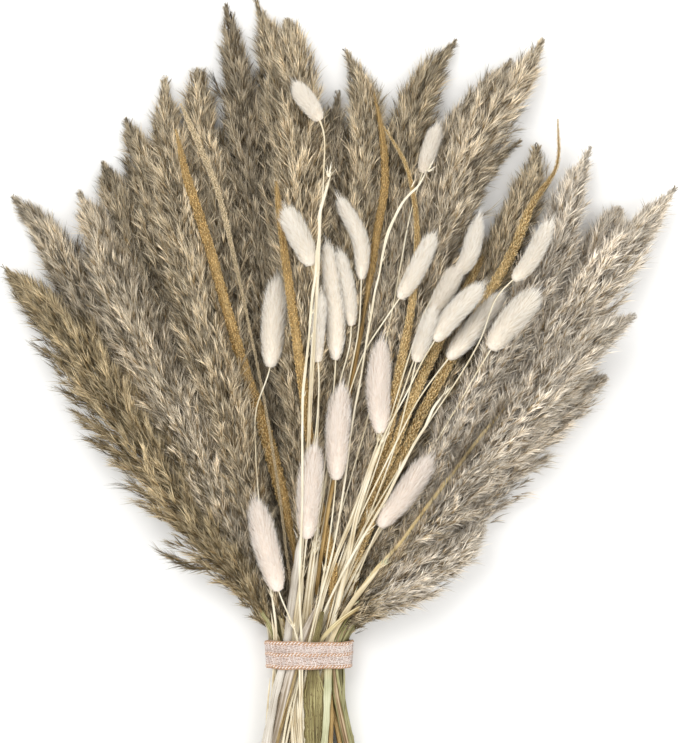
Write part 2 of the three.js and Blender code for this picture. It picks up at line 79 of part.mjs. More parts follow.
    girth: [[0, 1.65], [1.17, 2.32], [1.88, 2.33], [2.26, 2.34], [2.63, 2.33], [3, 2.32], [3.37, 2.31], [3.75, 2.31], [4.67, 2.31], [5.83, 2.31], [7, 2.31]] },
  { name: "reed_plume_01", colour: "#94805c", path: [[-188.1, 58.3, 7.8], [-170.5, 41.9, 13], [-155.2, 23.5, 18.1], [-141.6, 4, 22.8], [-128.3, -15.6, 27], [-114.8, -34.8, 30.4], [-101.3, -54.1, 32.3], [-87.8, -73.4, 32.8], [-73.5, -92.8, 31.9], [-57.6, -112.7, 29.6], [-42.9, -133.9, 24.9], [-33.4, -155.4, 19.4], [-35.2, -177.8, 16.7], [-40, -200.8, 12.7], [-45.8, -224.2, 8.3], [-51.9, -247.7, 3.8]],
    girth: [[0, 0.5], [0.26, 1.63], [1.07, 5.39], [2.14, 8.81], [3.21, 10.44], [4.29, 10.91], [5.36, 10.91], [6.43, 10.06], [7.5, 8.81], [8.57, 7.15], [9.64, 4.1], [10.11, 3.09], [10.48, 2.27], [10.86, 1.76], [11.23, 1.76], [11.61, 1.76], [11.98, 1.76], [12.86, 1.76], [13.93, 1.76], [15, 1.76]] },
  { name: "reed_plume_02", colour: "#95876f", path: [[-181.7, 96.4, 4.8], [-165.3, 78.7, 5.9], [-154.4, 57.3, 7.2], [-143.3, 36, 8.5], [-130.9, 15.5, 10.1], [-118.2, -4.8, 11.9], [-105.5, -25.1, 13.7], [-93.4, -45.6, 15.7], [-81.2, -66.1, 16.4], [-68.5, -86.7, 15.6], [-55.2, -107.5, 14.4], [-43.8, -129.7, 13.6], [-34.7, -152.2, 12.6], [-33.8, -174.8, 9], [-36.1, -198.1, 5.9], [-39.9, -221.8, 3.7], [-44, -245.6, 1.8]],
    girth: [[0, 0.5], [0.25, 2.02], [1.07, 5.19], [2.13, 7.29], [3.2, 8.35], [4.27, 8.85], [5.33, 9.15], [6.4, 9.12], [7.47, 8.62], [8.53, 7.6], [9.6, 5.96], [10.67, 3.52], [11.29, 2.49], [11.66, 1.89], [12.02, 1.76], [12.39, 1.76], [12.75, 1.76], [13.12, 1.76], [13.87, 1.76], [14.93, 1.76], [16, 1.76]] },
  { name: "reed_plume_03", colour: "#95876f", path: [[-144.9, 98.9, 11.4], [-134, 76.5, 15.4], [-126.1, 52.6, 19.1], [-116.5, 29.6, 22.6], [-106, 6.9, 25.7], [-95.2, -15.4, 28.2], [-84.2, -37.7, 29.7], [-73.3, -60, 29.6], [-62.3, -82.3, 27.6], [-51.6, -104.9, 23.9], [-43.1, -128.2, 19.7], [-37, -152.2, 16.4], [-35.2, -176.7, 12.6], [-35.3, -201.6, 9.6], [-35.6, -226.8, 7.1], [-35.7, -252.2, 4.9]],
    girth: [[0, 0.5], [0.24, 1.27], [1, 6.27], [2, 8.18], [3, 9.01], [4, 9.21], [5, 9.21], [6, 8.68], [7, 7.72], [8, 6.35], [9, 4.56], [10, 2.37], [10.26, 2.21], [10.6, 2], [10.95, 1.79], [11.3, 1.76], [11.65, 1.76], [12, 1.76], [13, 1.76], [14, 1.76], [15, 1.76]] },
  { name: "reed_plume_04", colour: "#95876f", path: [[-131.7, 115.2, 8.4], [-123, 93.3, 8.5], [-116.5, 70.5, 8.5], [-110, 47.8, 8.6], [-103.1, 25.1, 8.6], [-95.7, 2.6, 8.6], [-87.2, -19.4, 8.4], [-77.9, -41.2, 8], [-68.5, -62.9, 7.2], [-58.8, -84.7, 6.2], [-48.2, -106.4, 6.1], [-37.8, -128, 5.9], [-28, -149.5, 7.4], [-24.5, -171, 5.6], [-28, -194, 1.4], [-32.4, -217.9, 1.8], [-36.2, -242, 1.8]],
    girth: [[0, 0.5], [0.26, 2.99], [1.07, 6.55], [2.13, 8.02], [3.2, 8.46], [4.27, 8.53], [5.33, 8.53], [6.4, 8.23], [7.47, 7.59], [8.53, 6.32], [9.6, 4.85], [10.67, 3.15], [11.27, 2.36], [11.64, 1.88], [12.01, 1.76], [12.37, 1.76], [12.74, 1.76], [13.1, 1.76], [13.87, 1.76], [14.93, 1.76], [16, 1.76]] },
  { name: "reed_plume_05", colour: "#95876f", path: [[-119.1, 139.5, 4.2], [-109.6, 115.9, 6.1], [-102.8, 91.4, 7.9], [-96.7, 66.7, 9.9], [-90.5, 42.1, 12.5], [-83.5, 17.8, 15], [-76, -6.3, 16.9], [-68.2, -30.3, 17.7], [-60.2, -54.3, 16.9], [-52.3, -78.3, 15.5], [-45.1, -102.6, 13.8], [-38.1, -127, 12.1], [-32.2, -151.6, 9.3], [-28.8, -176.7, 7.2], [-25.2, -201.9, 6.4], [-23.9, -227.2, 4.1], [-22.6, -252.5, 1.8]],
    girth: [[0, 0.5], [0.24, 2.26], [1, 6.08], [2, 7.8], [3, 8.36], [4, 8.53], [5, 8.53], [6, 8.36], [7, 7.71], [8, 6.73], [9, 5.35], [10, 4.09], [11, 2.56], [11.31, 2.31], [11.65, 2.04], [12, 1.76], [12.34, 1.76], [12.68, 1.76], [13.03, 1.76], [14, 1.76], [15, 1.76], [16, 1.76]] },
  { name: "reed_plume_06", colour: "#95876f", path: [[-97.8, 162.9, 4.4], [-96, 136.6, 9.7], [-92.2, 110.5, 14.9], [-87.8, 84.6, 19.9], [-82.7, 59, 24.6], [-77, 33.7, 28.6], [-71, 8.5, 31.4], [-64.8, -16.6, 32.5], [-58.3, -41.6, 31.6], [-52, -66.7, 28.1], [-45.3, -91.8, 24.1], [-38.3, -117, 20.8], [-31.2, -142.2, 18.4], [-25.4, -167.7, 19.9], [-20.7, -193.3, 19.9], [-17.5, -219.2, 14.1], [-14.3, -245.1, 8.3]],
    girth: [[0, 0.5], [0.23, 2.01], [1, 4.4], [2, 7.4], [3, 8.59], [4, 8.87], [5, 8.87], [6, 8.71], [7, 8.16], [8, 7.27], [9, 6.09], [10, 4.74], [11, 3.27], [11.68, 2.25], [12.01, 1.76], [12.34, 1.76], [12.68, 1.76], [13.01, 1.76], [13.34, 1.76], [14, 1.76], [15, 1.76], [16, 1.76]] },
  { name: "reed_plume_07", colour: "#95876f", path: [[-79.2, 167.3, 6.8], [-77.8, 141, 7.3], [-71.9, 115.2, 7.7], [-67.4, 89.2, 8.2], [-63.9, 63.1, 8.6], [-60.7, 37, 8.7], [-57.4, 10.8, 8.5], [-53.4, -15.4, 7.8], [-48.2, -41.4, 6.8], [-42.8, -67.3, 5.5], [-36.3, -93, 4.7], [-29, -118.1, 5.4], [-22.2, -142.9, 5.6], [-19.5, -167.6, 5.3], [-19, -193.4, 1.9], [-15.2, -220.2, 1.8], [-9.3, -246.8, 1.8]],
    girth: [[0, 0.5], [0.23, 5.11], [0.94, 4.75], [1.88, 6.83], [2.82, 8.05], [3.76, 8.53], [4.71, 8.53], [5.65, 8.44], [6.59, 7.99], [7.53, 7.27], [8.47, 6.17], [9.41, 5.04], [10.35, 3.81], [11.29, 2.31], [11.62, 2.12], [11.94, 1.93], [12.27, 1.76], [12.59, 1.76], [12.91, 1.76], [13.24, 1.76], [14.12, 1.76], [15.06, 1.76], [16, 1.76]] },
  { name: "reed_plume_08", colour: "#80705c", path: [[-63.1, 203.5, 7.4], [-58.8, 175.4, 7.8], [-54.4, 147.4, 8.2], [-51.4, 119.2, 8.5], [-48.7, 90.9, 8.7], [-46, 62.7, 8.6], [-42.9, 34.5, 8.4], [-40, 6.3, 7.9], [-36.9, -21.9, 7], [-33.6, -50, 7.8], [-31.1, -78.2, 10], [-29.6, -106.3, 12.4], [-29.5, -134.5, 13.8], [-31, -162.9, 14.8], [-31.7, -191.2, 12.8], [-31.6, -219.5, 8.6], [-31.5, -248.1, 5.4]],
    girth: [[0, 0.5], [0.21, 1.7], [0.89, 3.9], [1.78, 5.15], [2.67, 6.85], [3.56, 8.01], [4.44, 8.39], [5.33, 8.53], [6.22, 8.28], [7.11, 7.77], [8, 6.94], [8.89, 5.9], [9.78, 4.92], [10.67, 3.89], [11.56, 2.63], [12, 2.2], [12.3, 1.91], [12.59, 1.76], [12.89, 1.76], [13.19, 1.76], [13.48, 1.76], [14.22, 1.76], [15.11, 1.76], [16, 1.76]] },
  { name: "reed_plume_09", colour: "#95876f", path: [[-46.4, 206.1, 3.6], [-38, 178.8, 5.3], [-34.1, 150.4, 7.1], [-32.4, 121.9, 8.9], [-31.1, 93.3, 10.8], [-28.9, 64.9, 12.7], [-26.8, 36.6, 14.3], [-25.1, 8.2, 14.5], [-24, -20.2, 13.3], [-22.8, -48.6, 12.2], [-21.8, -77.1, 11.9], [-22.2, -105.6, 11.3], [-25.5, -133.8, 11], [-28.3, -162.2, 11.7], [-28.2, -190.7, 10.7], [-27.9, -219.1, 7], [-27, -247.5, 2.2]],
    girth: [[0, 0.5], [0.21, 1.44], [0.89, 4.04], [1.78, 6.52], [2.67, 7.62], [3.56, 8.42], [4.44, 8.53], [5.33, 8.53], [6.22, 8.38], [7.11, 7.93], [8, 7], [8.89, 5.62], [9.78, 4.64], [10.67, 3.77], [11.56, 2.68], [12.02, 2.2], [12.32, 1.89], [12.61, 1.76], [12.91, 1.76], [13.21, 1.76], [13.5, 1.76], [14.22, 1.76], [15.11, 1.76], [16, 1.76]] },
  { name: "reed_plume_10", colour: "#95876f", path: [[-29, 194.8, 10.6], [-24.3, 167, 14.9], [-22.2, 139, 19.1], [-21.4, 111, 23], [-21, 83, 26.3], [-20.5, 55.2, 29.2], [-20, 27.5, 30.9], [-19.9, -0.2, 30], [-20.4, -27.8, 26.6], [-21.1, -55.6, 23.2], [-20.1, -83.6, 20.9], [-19.4, -111.6, 17.3], [-22, -139.4, 13], [-24.4, -167.4, 11.3], [-23.4, -195.5, 10.3], [-24.8, -223.5, 9.3], [-28.3, -251.4, 7.1]],
    girth: [[0, 0.5], [0.22, 4.44], [0.89, 6.93], [1.78, 7.58], [2.67, 7.81], [3.56, 8.3], [4.44, 8.53], [5.33, 8.53], [6.22, 8.38], [7.11, 7.88], [8, 6.88], [8.89, 5.55], [9.78, 4.54], [10.67, 3.59], [11.56, 2.23], [11.81, 2.1], [12.12, 1.94], [12.42, 1.77], [12.72, 1.76], [13.02, 1.76], [13.33, 1.76], [14.22, 1.76], [15.11, 1.76], [16, 1.76]] },
  { name: "reed_plume_11", colour: "#80705c", path: [[-1.1, 154.3, 7.6], [-3.9, 129.5, 7.8], [-4.1, 104.4, 8], [-5.4, 79.3, 8.2], [-7.1, 54.3, 8.2], [-8.8, 29.2, 8.1], [-10.2, 4.1, 7.6], [-11.3, -21, 6.8], [-13, -46.1, 6], [-14.4, -71.2, 5.7], [-15.9, -96.3, 6.1], [-17.7, -121.4, 6.9], [-19.3, -146.8, 10.2], [-21.4, -171.7, 8.5], [-24.4, -196.3, 2.5], [-28.8, -220.7, 1.8], [-32.6, -245.4, 1.8]],
    girth: [[0, 0.5], [0.24, 1.62], [1, 4.67], [2, 6.53], [3, 7.64], [4, 8.14], [5, 8.06], [6, 7.57], [7, 6.74], [8, 5.59], [9, 4.67], [10, 3.79], [11, 2.7], [11.53, 2.2], [11.87, 1.88], [12.21, 1.76], [12.55, 1.76], [12.89, 1.76], [13.23, 1.76], [14, 1.76], [15, 1.76], [16, 1.76]] },
  { name: "reed_plume_12", colour: "#95876f", path: [[3.9, 178.5, 5.7], [13.1, 153.3, 8.9], [13.6, 126.4, 11.9], [11.5, 99.7, 14.9], [8.5, 73.1, 17.5], [5.3, 46.6, 19.5], [1.8, 20.2, 20.5], [-2.6, -6, 20.5], [-7.6, -32.2, 18.9], [-11.2, -58.6, 16.5], [-12.9, -85.4, 14.6], [-14.3, -112.2, 12.9], [-14.7, -139.1, 11.4], [-16.8, -165.9, 9.4], [-19.6, -192.6, 6.4], [-20.3, -219.3, 3.2], [-19, -246.2, 1.8]],
    girth: [[0, 0.5], [0.23, 1.37], [0.94, 4.29], [1.88, 6.75], [2.82, 8.01], [3.76, 8.53], [4.71, 8.53], [5.65, 8.41], [6.59, 7.93], [7.53, 6.99], [8.47, 5.64], [9.41, 4.67], [10.35, 3.81], [11.29, 2.78], [11.84, 2.19], [12.15, 1.85], [12.47, 1.76], [12.78, 1.76], [13.1, 1.76], [13.41, 1.76], [14.12, 1.76], [15.06, 1.76], [16, 1.76]] },
  { name: "reed_plume_13", colour: "#95876f", path: [[63.6, 183.4, 7.4], [48, 160.9, 7.9], [38.6, 135, 8.3], [32, 108.2, 8.6], [26.3, 81.2, 8.7], [21.1, 54.2, 8.9], [15.8, 27.1, 8.4], [10.8, 0, 7.7], [5.6, -27.1, 6.8], [0, -54.2, 5.6], [-5.7, -81.4, 4.4], [-10.2, -108.7, 4.2], [-15, -136, 5], [-15.8, -163.3, 5.4], [-14.1, -190.6, 3.8], [-14.3, -217.7, 5.8], [-17.4, -244.8, 5.7]],
    girth: [[0, 0.5], [0.22, 1.46], [0.94, 5.28], [1.88, 7.2], [2.82, 8], [3.76, 8.64], [4.71, 8.86], [5.65, 8.6], [6.59, 8.03], [7.53, 7.19], [8.47, 6.19], [9.41, 5], [10.35, 3.74], [11.29, 2.54], [11.95, 2], [12.26, 1.76], [12.57, 1.76], [12.88, 1.76], [13.18, 1.76], [13.49, 1.76], [14.12, 1.76], [15.06, 1.76], [16, 1.76]] },
  { name: "reed_plume_14", colour: "#95876f", path: [[111.8, 183.4, 14.3], [97, 158.2, 18.2], [80.1, 134.7, 21.9], [65.8, 109.6, 24.9], [56.6, 82.4, 26.6], [48.9, 54.7, 26], [40.4, 27.3, 24], [30.4, 0.2, 21.7], [20.8, -27, 19.4], [12.4, -54.5, 16.6], [5, -82.8, 16], [-3.2, -110.1, 18.4], [-15.1, -135.6, 23.6], [-25.4, -161.9, 26.8], [-32.3, -189.2, 22.7], [-39, -216.7, 14.9], [-46.3, -244.8, 7.9]],
    girth: [[0, 0.5], [0.21, 2.03], [0.89, 5.18], [1.78, 7.92], [2.67, 9.27], [3.56, 9.55], [4.44, 9.52], [5.33, 9.22], [6.22, 8.76], [7.11, 8.09], [8, 7.15], [8.89, 6.06], [9.78, 4.73], [10.67, 3.43], [11.56, 2.75], [11.98, 2.75], [12.3, 2.75], [12.62, 2.75], [12.94, 2.75], [13.26, 2.75], [13.58, 2.75], [14.22, 2.75], [15.11, 2.75], [16, 2.75]] },
  { name: "reed_plume_15", colour: "#95876f", path: [[94.5, 173, 4.9], [78.2, 150.5, 8.7], [61.7, 128.3, 12.4], [48.9, 103.9, 16], [39, 78.2, 19.4], [30.9, 52, 21.9], [22.6, 26, 22.9], [14.1, -0.1, 22.2], [6.7, -26.6, 20.3], [0.7, -53.4, 17.4], [-3.8, -80.5, 14], [-6.9, -107.7, 12.5], [-8, -135.1, 14.2], [-9.2, -162.5, 12.6], [-9.1, -190.1, 10.9], [-7.8, -217.6, 9.5], [-6.5, -245.2, 6.7]],
    girth: [[0, 0.5], [0.22, 1.96], [0.94, 4.28], [1.88, 5.96], [2.82, 6.56], [3.76, 6.85], [4.71, 7.14], [5.65, 7.06], [6.59, 6.76], [7.53, 6.26], [8.47, 5.59], [9.41, 4.7], [10.35, 3.67], [11.29, 2.59], [11.97, 1.99], [12.28, 1.76], [12.59, 1.76], [12.9, 1.76], [13.2, 1.76], [13.51, 1.76], [14.12, 1.76], [15.06, 1.76], [16, 1.76]] },
  { name: "reed_plume_16", colour: "#95876f", path: [[99.4, 127.6, 6.5], [80.3, 111.2, 6.7], [64.8, 91.6, 6.8], [55, 68.5, 7], [47.2, 44.6, 7], [39.4, 20.7, 6.8], [31.4, -3.1, 6.5], [22.9, -26.7, 5.9], [14, -50.4, 5.2], [6.1, -74.2, 5.8], [-1.6, -98.5, 6.7], [-5.9, -123.1, 6.7], [-11.5, -147.8, 5.8], [-11.3, -172.8, 5.8], [-10.4, -198, 6.4], [-10.4, -223.1, 6.1], [-11, -248.3, 5.7]],
    girth: [[0, 0.5], [0.24, 0.95], [1, 2.89], [2, 5.76], [3, 6.7], [4, 6.82], [5, 6.82], [6, 6.51], [7, 5.92], [8, 5.04], [9, 4.17], [10, 3.39], [11, 2.36], [11.48, 2.08], [11.81, 1.87], [12.15, 1.76], [12.48, 1.76], [12.82, 1.76], [13.16, 1.76], [14, 1.76], [15, 1.76], [16, 1.76]] },
  { name: "reed_plume_17", colour: "#95876f", path: [[110, 124.8, 6.7], [105, 100.6, 7.1], [96, 77.5, 7.4], [86, 54.7, 7.7], [75.9, 32.1, 7.9], [65.7, 9.5, 7.9], [54.8, -12.8, 7.4], [43.6, -35, 7], [32.5, -57.1, 6.7], [21.2, -79.3, 6.8], [9.1, -101.4, 7.5], [-1.3, -123.8, 9.8], [-9.8, -147, 9.7], [-12.8, -171.7, 9.5], [-15.6, -196.3, 8], [-18.9, -221, 7.3], [-21.5, -245.8, 6.3]],
    girth: [[0, 0.5], [0.25, 2.44], [1, 4.55], [2, 6.98], [3, 7.67], [4, 7.84], [5, 7.84], [6, 7.4], [7, 6.47], [8, 5.23], [9, 4.26], [10, 3.52], [11, 2.43], [11.41, 2.15], [11.76, 1.92], [12.11, 1.76], [12.46, 1.76], [12.81, 1.76], [13.16, 1.76], [14, 1.76], [15, 1.76], [16, 1.76]] },
  { name: "reed_plume_18", colour: "#a1957f", path: [[138.6, 123.3, 13.4], [128.3, 99.6, 18.1], [120.9, 75, 22.5], [110.9, 51.3, 26.4], [99.3, 28.6, 29.2], [87.3, 6.1, 29.7], [74.6, -15.9, 28.5], [61.6, -37.7, 25.9], [48.1, -59.4, 22.1], [34.2, -81.1, 17.8], [18.9, -102.7, 12.8], [3.1, -124.8, 6.6], [-7.1, -148.1, 6.8], [-7.3, -172.9, 6.6], [-6.4, -198.6, 7.1], [-4.1, -224.5, 6.5], [-1.9, -250.6, 5.7]],
    girth: [[0, 0.5], [0.24, 1.54], [1, 4.8], [2, 6.17], [3, 6.97], [4, 7.39], [5, 7.42], [6, 6.82], [7, 6.03], [8, 5.17], [9, 4.36], [10, 3.46], [11, 2.29], [11.43, 2.06], [11.77, 1.88], [12.11, 1.76], [12.45, 1.76], [12.79, 1.76], [13.13, 1.76], [14, 1.76], [15, 1.76], [16, 1.76]] },
  { name: "reed_plume_19", colour: "#a1957f", path: [[185.7, 100.9, 16.1], [168.9, 81.1, 20.1], [152.5, 61.1, 23.5], [137.2, 40.4, 26.4], [122.5, 19.3, 27.8], [108.4, -2, 28.2], [94.2, -23.2, 27.2], [79.7, -44.2, 25.5], [64.6, -65.1, 23.4], [48.5, -86.3, 21.3], [30.1, -108.1, 19.7], [11.9, -132.2, 21.6], [-0.7, -155.8, 21.3], [-0.3, -177.9, 18.1], [1.4, -201.2, 16.6], [4.6, -225.3, 14.9], [8.8, -249.9, 13.6]],
    girth: [[0, 0.5], [0.24, 1.47], [1, 5.09], [2, 8.87], [3, 10.19], [4, 10.23], [5, 9.94], [6, 8.98], [7, 7.54], [8, 6.15], [9, 4.88], [10, 3.63], [11, 2.24], [11.31, 2.09], [11.67, 1.92], [12.03, 1.76], [12.39, 1.76], [12.75, 1.76], [13.12, 1.76], [14, 1.76], [15, 1.76], [16, 1.76]] },
  { name: "reed_plume_20", colour: "#a1957f", path: [[155.1, 90.2, 8.5], [144.7, 68.2, 8.4], [133.8, 46.5, 8.3], [122.5, 25, 8.5], [110.6, 3.8, 8.4], [97.6, -16.7, 7.9], [83.4, -36.4, 7.2], [69.5, -56.3, 6.1], [55.6, -76.2, 5.6], [40.5, -96, 5.7], [22, -115, 6.2], [3.6, -135.4, 7.2], [-4.9, -156.1, 10.5], [-0.6, -178.6, 7.4], [4, -202.4, 3.5], [10.5, -226.9, 2.6], [17.4, -251.5, 2.5]],
    girth: [[0, 0.5], [0.25, 4.29], [1.07, 6.81], [2.13, 8.26], [3.2, 8.52], [4.27, 8.25], [5.33, 7.68], [6.4, 6.75], [7.47, 5.47], [8.53, 4.29], [9.6, 3.21], [10.67, 2.53], [11.05, 2.53], [11.42, 2.53], [11.78, 2.53], [12.15, 2.53], [12.51, 2.53], [12.88, 2.53], [13.87, 2.53], [14.93, 2.53], [16, 2.53]] },
  { name: "reed_plume_21", colour: "#95876f", path: [[130.1, 64.2, 17.2], [118.4, 42.5, 17.7], [105.9, 21.2, 17.9], [93.5, 0, 17.6], [80.8, -21, 16.9], [68.2, -42.1, 16.1], [55.3, -63.2, 15], [42, -84.2, 14], [27.1, -105.3, 13.2], [11.5, -127.3, 11.8], [0.5, -150.4, 12.3], [0.5, -173, 12.7], [0.3, -196.2, 9.3], [0.9, -220.2, 5.8], [1.8, -244.7, 2.3]],
    girth: [[0, 0.5], [0.25, 3.81], [1, 5.63], [2, 6.81], [3, 6.82], [4, 6.62], [5, 6], [6, 5.13], [7, 4.24], [8, 3.32], [9, 2.25], [9.47, 2.02], [9.83, 1.84], [10.19, 1.76], [10.54, 1.76], [10.9, 1.76], [11.26, 1.76], [12, 1.76], [13, 1.76], [14, 1.76]] },
  { name: "reed_plume_22", colour: "#a1957f", path: [[160.3, 29.9, 43.3], [140.5, 16.9, 44.4], [123.6, -0, 45.1], [107.3, -17.6, 45.3], [91.3, -35.1, 43.8], [75.9, -53.4, 40.4], [60.8, -72, 36], [44.7, -90.8, 31.6], [26.9, -109.7, 28.2], [10, -130.4, 26.2], [-2.4, -151.9, 24.5], [-2.3, -173.4, 25.1], [1.8, -196.3, 21.4], [7.1, -219.8, 17.8], [12.5, -243.4, 14.3]],
    girth: [[0, 0.5], [0.25, 2.22], [1.08, 5.93], [2.15, 8.27], [3.23, 8.8], [4.31, 8.66], [5.38, 7.77], [6.46, 6.11], [7.54, 4.4], [8.62, 2.75], [9.31, 2.12], [9.68, 1.77], [10.06, 1.76], [10.43, 1.76], [10.81, 1.76], [11.18, 1.76], [11.85, 1.76], [12.92, 1.76], [14, 1.76]] },
  { name: "reed_plume_23", colour: "#a1957f", path: [[147, -3.6, 12.1], [127.7, -16.9, 12.9], [109.7, -31.8, 13.6], [94.1, -49.1, 14], [79.4, -67.2, 13.5], [64.2, -85.6, 12.9], [47.2, -104.4, 12.8], [26.7, -124, 13.6], [5.2, -144.4, 16.6], [-2.6, -163.4, 16.3], [-3, -183.5, 14.6], [0.9, -204.7, 12.4], [7.5, -226.3, 9.8], [14.3, -248.3, 7.5]],
    girth: [[0, 0.5], [0.26, 3.94], [1.08, 7.06], [2.17, 8.92], [3.25, 9.89], [4.33, 9.62], [5.42, 8.62], [6.5, 6.83], [7.58, 3.39], [7.85, 2.99], [8.19, 2.47], [8.54, 1.95], [8.88, 1.76], [9.22, 1.76], [9.57, 1.76], [9.91, 1.76], [10.83, 1.76], [11.92, 1.76], [13, 1.76]] },
  { name: "reed_plume_24", colour: "#95876f", path: [[78.5, -86.5, 31.4], [59, -103.7, 31.5], [34.1, -119.5, 32.5], [4.1, -134.4, 33.7], [-12.8, -153.2, 26], [-12.3, -174.5, 26.3], [-7.9, -197.5, 24], [-1.9, -221.4, 18.2], [4.5, -245.8, 12]],
    girth: [[0, 0.5], [0.25, 3.99], [1, 6.85], [2, 7.11], [2.86, 3.64], [3.19, 2.83], [3.52, 2.39], [3.85, 1.96], [4.18, 1.76], [4.51, 1.76], [4.84, 1.76], [5.17, 1.76], [6, 1.76], [7, 1.76], [8, 1.76]] },
  { name: "straw_blade_01", colour: "#c9b478", path: [[90.8, -20.1, 36.3], [75.8, -38.1, 31.7], [61.8, -57, 28.1], [47.4, -75.8, 25.6], [33.3, -94.9, 24.1], [17.4, -113, 23.8], [3.6, -132.8, 23.8], [-6.3, -154.3, 24], [-11.3, -177.7, 23.2], [-15.7, -201.3, 21.4], [-19.2, -225.2, 18.7], [-22.8, -249, 15.7]],
    girth: [[0, 0.65, 0.5], [1.1, 0.7, 0.5], [2.2, 0.72, 0.5], [3.3, 0.69, 0.5], [4.4, 0.68, 0.5], [5.5, 0.68, 0.5], [5.98, 0.68, 0.5], [6.36, 0.68, 0.5], [6.74, 0.68, 0.5], [7.12, 0.68, 0.5], [7.51, 0.68, 0.5], [7.89, 0.68, 0.5], [8.8, 0.68, 0.5], [9.9, 0.68, 0.5], [11, 0.68, 0.5]] },
  { name: "straw_blade_02", colour: "#c9b478", path: [[23, -107.4, 30.9], [6.8, -127.8, 28.5], [-5.1, -150.2, 26.8], [-6.8, -174.4, 28.9], [-8, -198.9, 29.3], [-11.3, -223.4, 27.6], [-15.1, -247.8, 25.3]],
    girth: [[0, 0.7, 0.5], [1.23, 1.96, 1.08], [1.58, 1.85, 1.02], [1.94, 1.74, 0.96], [2.3, 1.68, 0.93], [2.66, 1.63, 0.9], [3.01, 1.58, 0.87], [4, 1.58, 0.87], [5, 1.58, 0.87], [6, 1.58, 0.87]] },
  { name: "white_straw_01", colour: "#e9dfcd", path: [[-6, 106.8, 65.4], [-10.1, 83.7, 62.2], [-12.7, 60.3, 59.1], [-15.5, 36.8, 56.3], [-17.4, 13.2, 53.7], [-20.1, -10.4, 51.3], [-20.7, -34.2, 49], [-20.6, -58.1, 46.2], [-21, -82.1, 42.2], [-22.1, -106.2, 37.2], [-22.1, -130.3, 32.3], [-20.9, -154.6, 29.8], [-20.9, -178.8, 28.2], [-19.6, -202.9, 25], [-17.7, -227.1, 21.6], [-15.3, -251.4, 18.9]],
    girth: [[0, 0.89, 0.5], [1.07, 0.82, 0.5], [2.14, 0.82, 0.5], [3.21, 0.82, 0.5], [4.29, 0.82, 0.5], [5.36, 0.82, 0.5], [6.43, 0.75, 0.5], [7.5, 0.75, 0.5], [8.57, 0.75, 0.5], [9.64, 0.75, 0.5], [10.13, 0.75, 0.5], [10.48, 0.75, 0.5], [10.83, 0.75, 0.5], [11.18, 0.75, 0.5], [11.53, 0.75, 0.5], [11.88, 0.75, 0.5], [12.86, 0.75, 0.5], [13.93, 0.75, 0.5], [15, 0.75, 0.5]] },
  { name: "white_straw_02", colour: "#e9dfcd", path: [[48.4, 109.5, 66.3], [33.2, 91.3, 58.7], [24.6, 68.8, 51.4], [19.8, 45, 44.7], [15.2, 21, 38.8], [11.5, -3.3, 34.2], [7, -27.5, 31], [3.8, -52, 29.3], [0.2, -76.4, 29], [-4.3, -100.7, 29.6], [-10.8, -124.6, 30.2], [-17, -148.7, 28.8], [-23.1, -173.1, 26.8], [-28.1, -197.6, 23.3], [-33.2, -222.1, 17.5], [-38.9, -246.6, 11.8]],
    girth: [[0, 0.65, 0.5], [1.07, 0.78, 0.5], [2.14, 0.68, 0.5], [3.21, 0.68, 0.5], [4.29, 0.68, 0.5], [5.36, 0.65, 0.5], [6.43, 0.65, 0.5], [7.5, 0.65, 0.5], [8.57, 0.65, 0.5], [9.64, 0.65, 0.5], [10.38, 0.65, 0.5], [10.72, 0.65, 0.5], [11.07, 0.65, 0.5], [11.42, 0.65, 0.5], [11.77, 0.65, 0.5], [12.12, 0.65, 0.5], [12.86, 0.65, 0.5], [13.93, 0.65, 0.5], [15, 0.65, 0.5]] },
  { name: "white_straw_03", colour: "#e9dfcd", path: [[58.3, -11.8, 32], [44.7, -33, 30.9], [32.8, -55.3, 30.4], [21.1, -77.7, 30], [8, -99.4, 29.7], [-3.6, -121.8, 28.1], [-13.5, -144.8, 25.2], [-22.5, -168.4, 25], [-29.3, -192.8, 24], [-32.9, -217.9, 21.9], [-34.7, -243.3, 19.2]],
    girth: [[0, 0.65, 0.5], [1, 0.95, 0.52], [2, 0.95, 0.52], [3, 0.86, 0.5], [4, 0.85, 0.5], [5, 0.77, 0.5], [5.6, 0.76, 0.5], [5.94, 0.75, 0.5], [6.29, 0.75, 0.5], [6.64, 0.75, 0.5], [6.98, 0.75, 0.5], [7.33, 0.75, 0.5], [8, 0.75, 0.5], [9, 0.75, 0.5], [10, 0.75, 0.5]] },
];

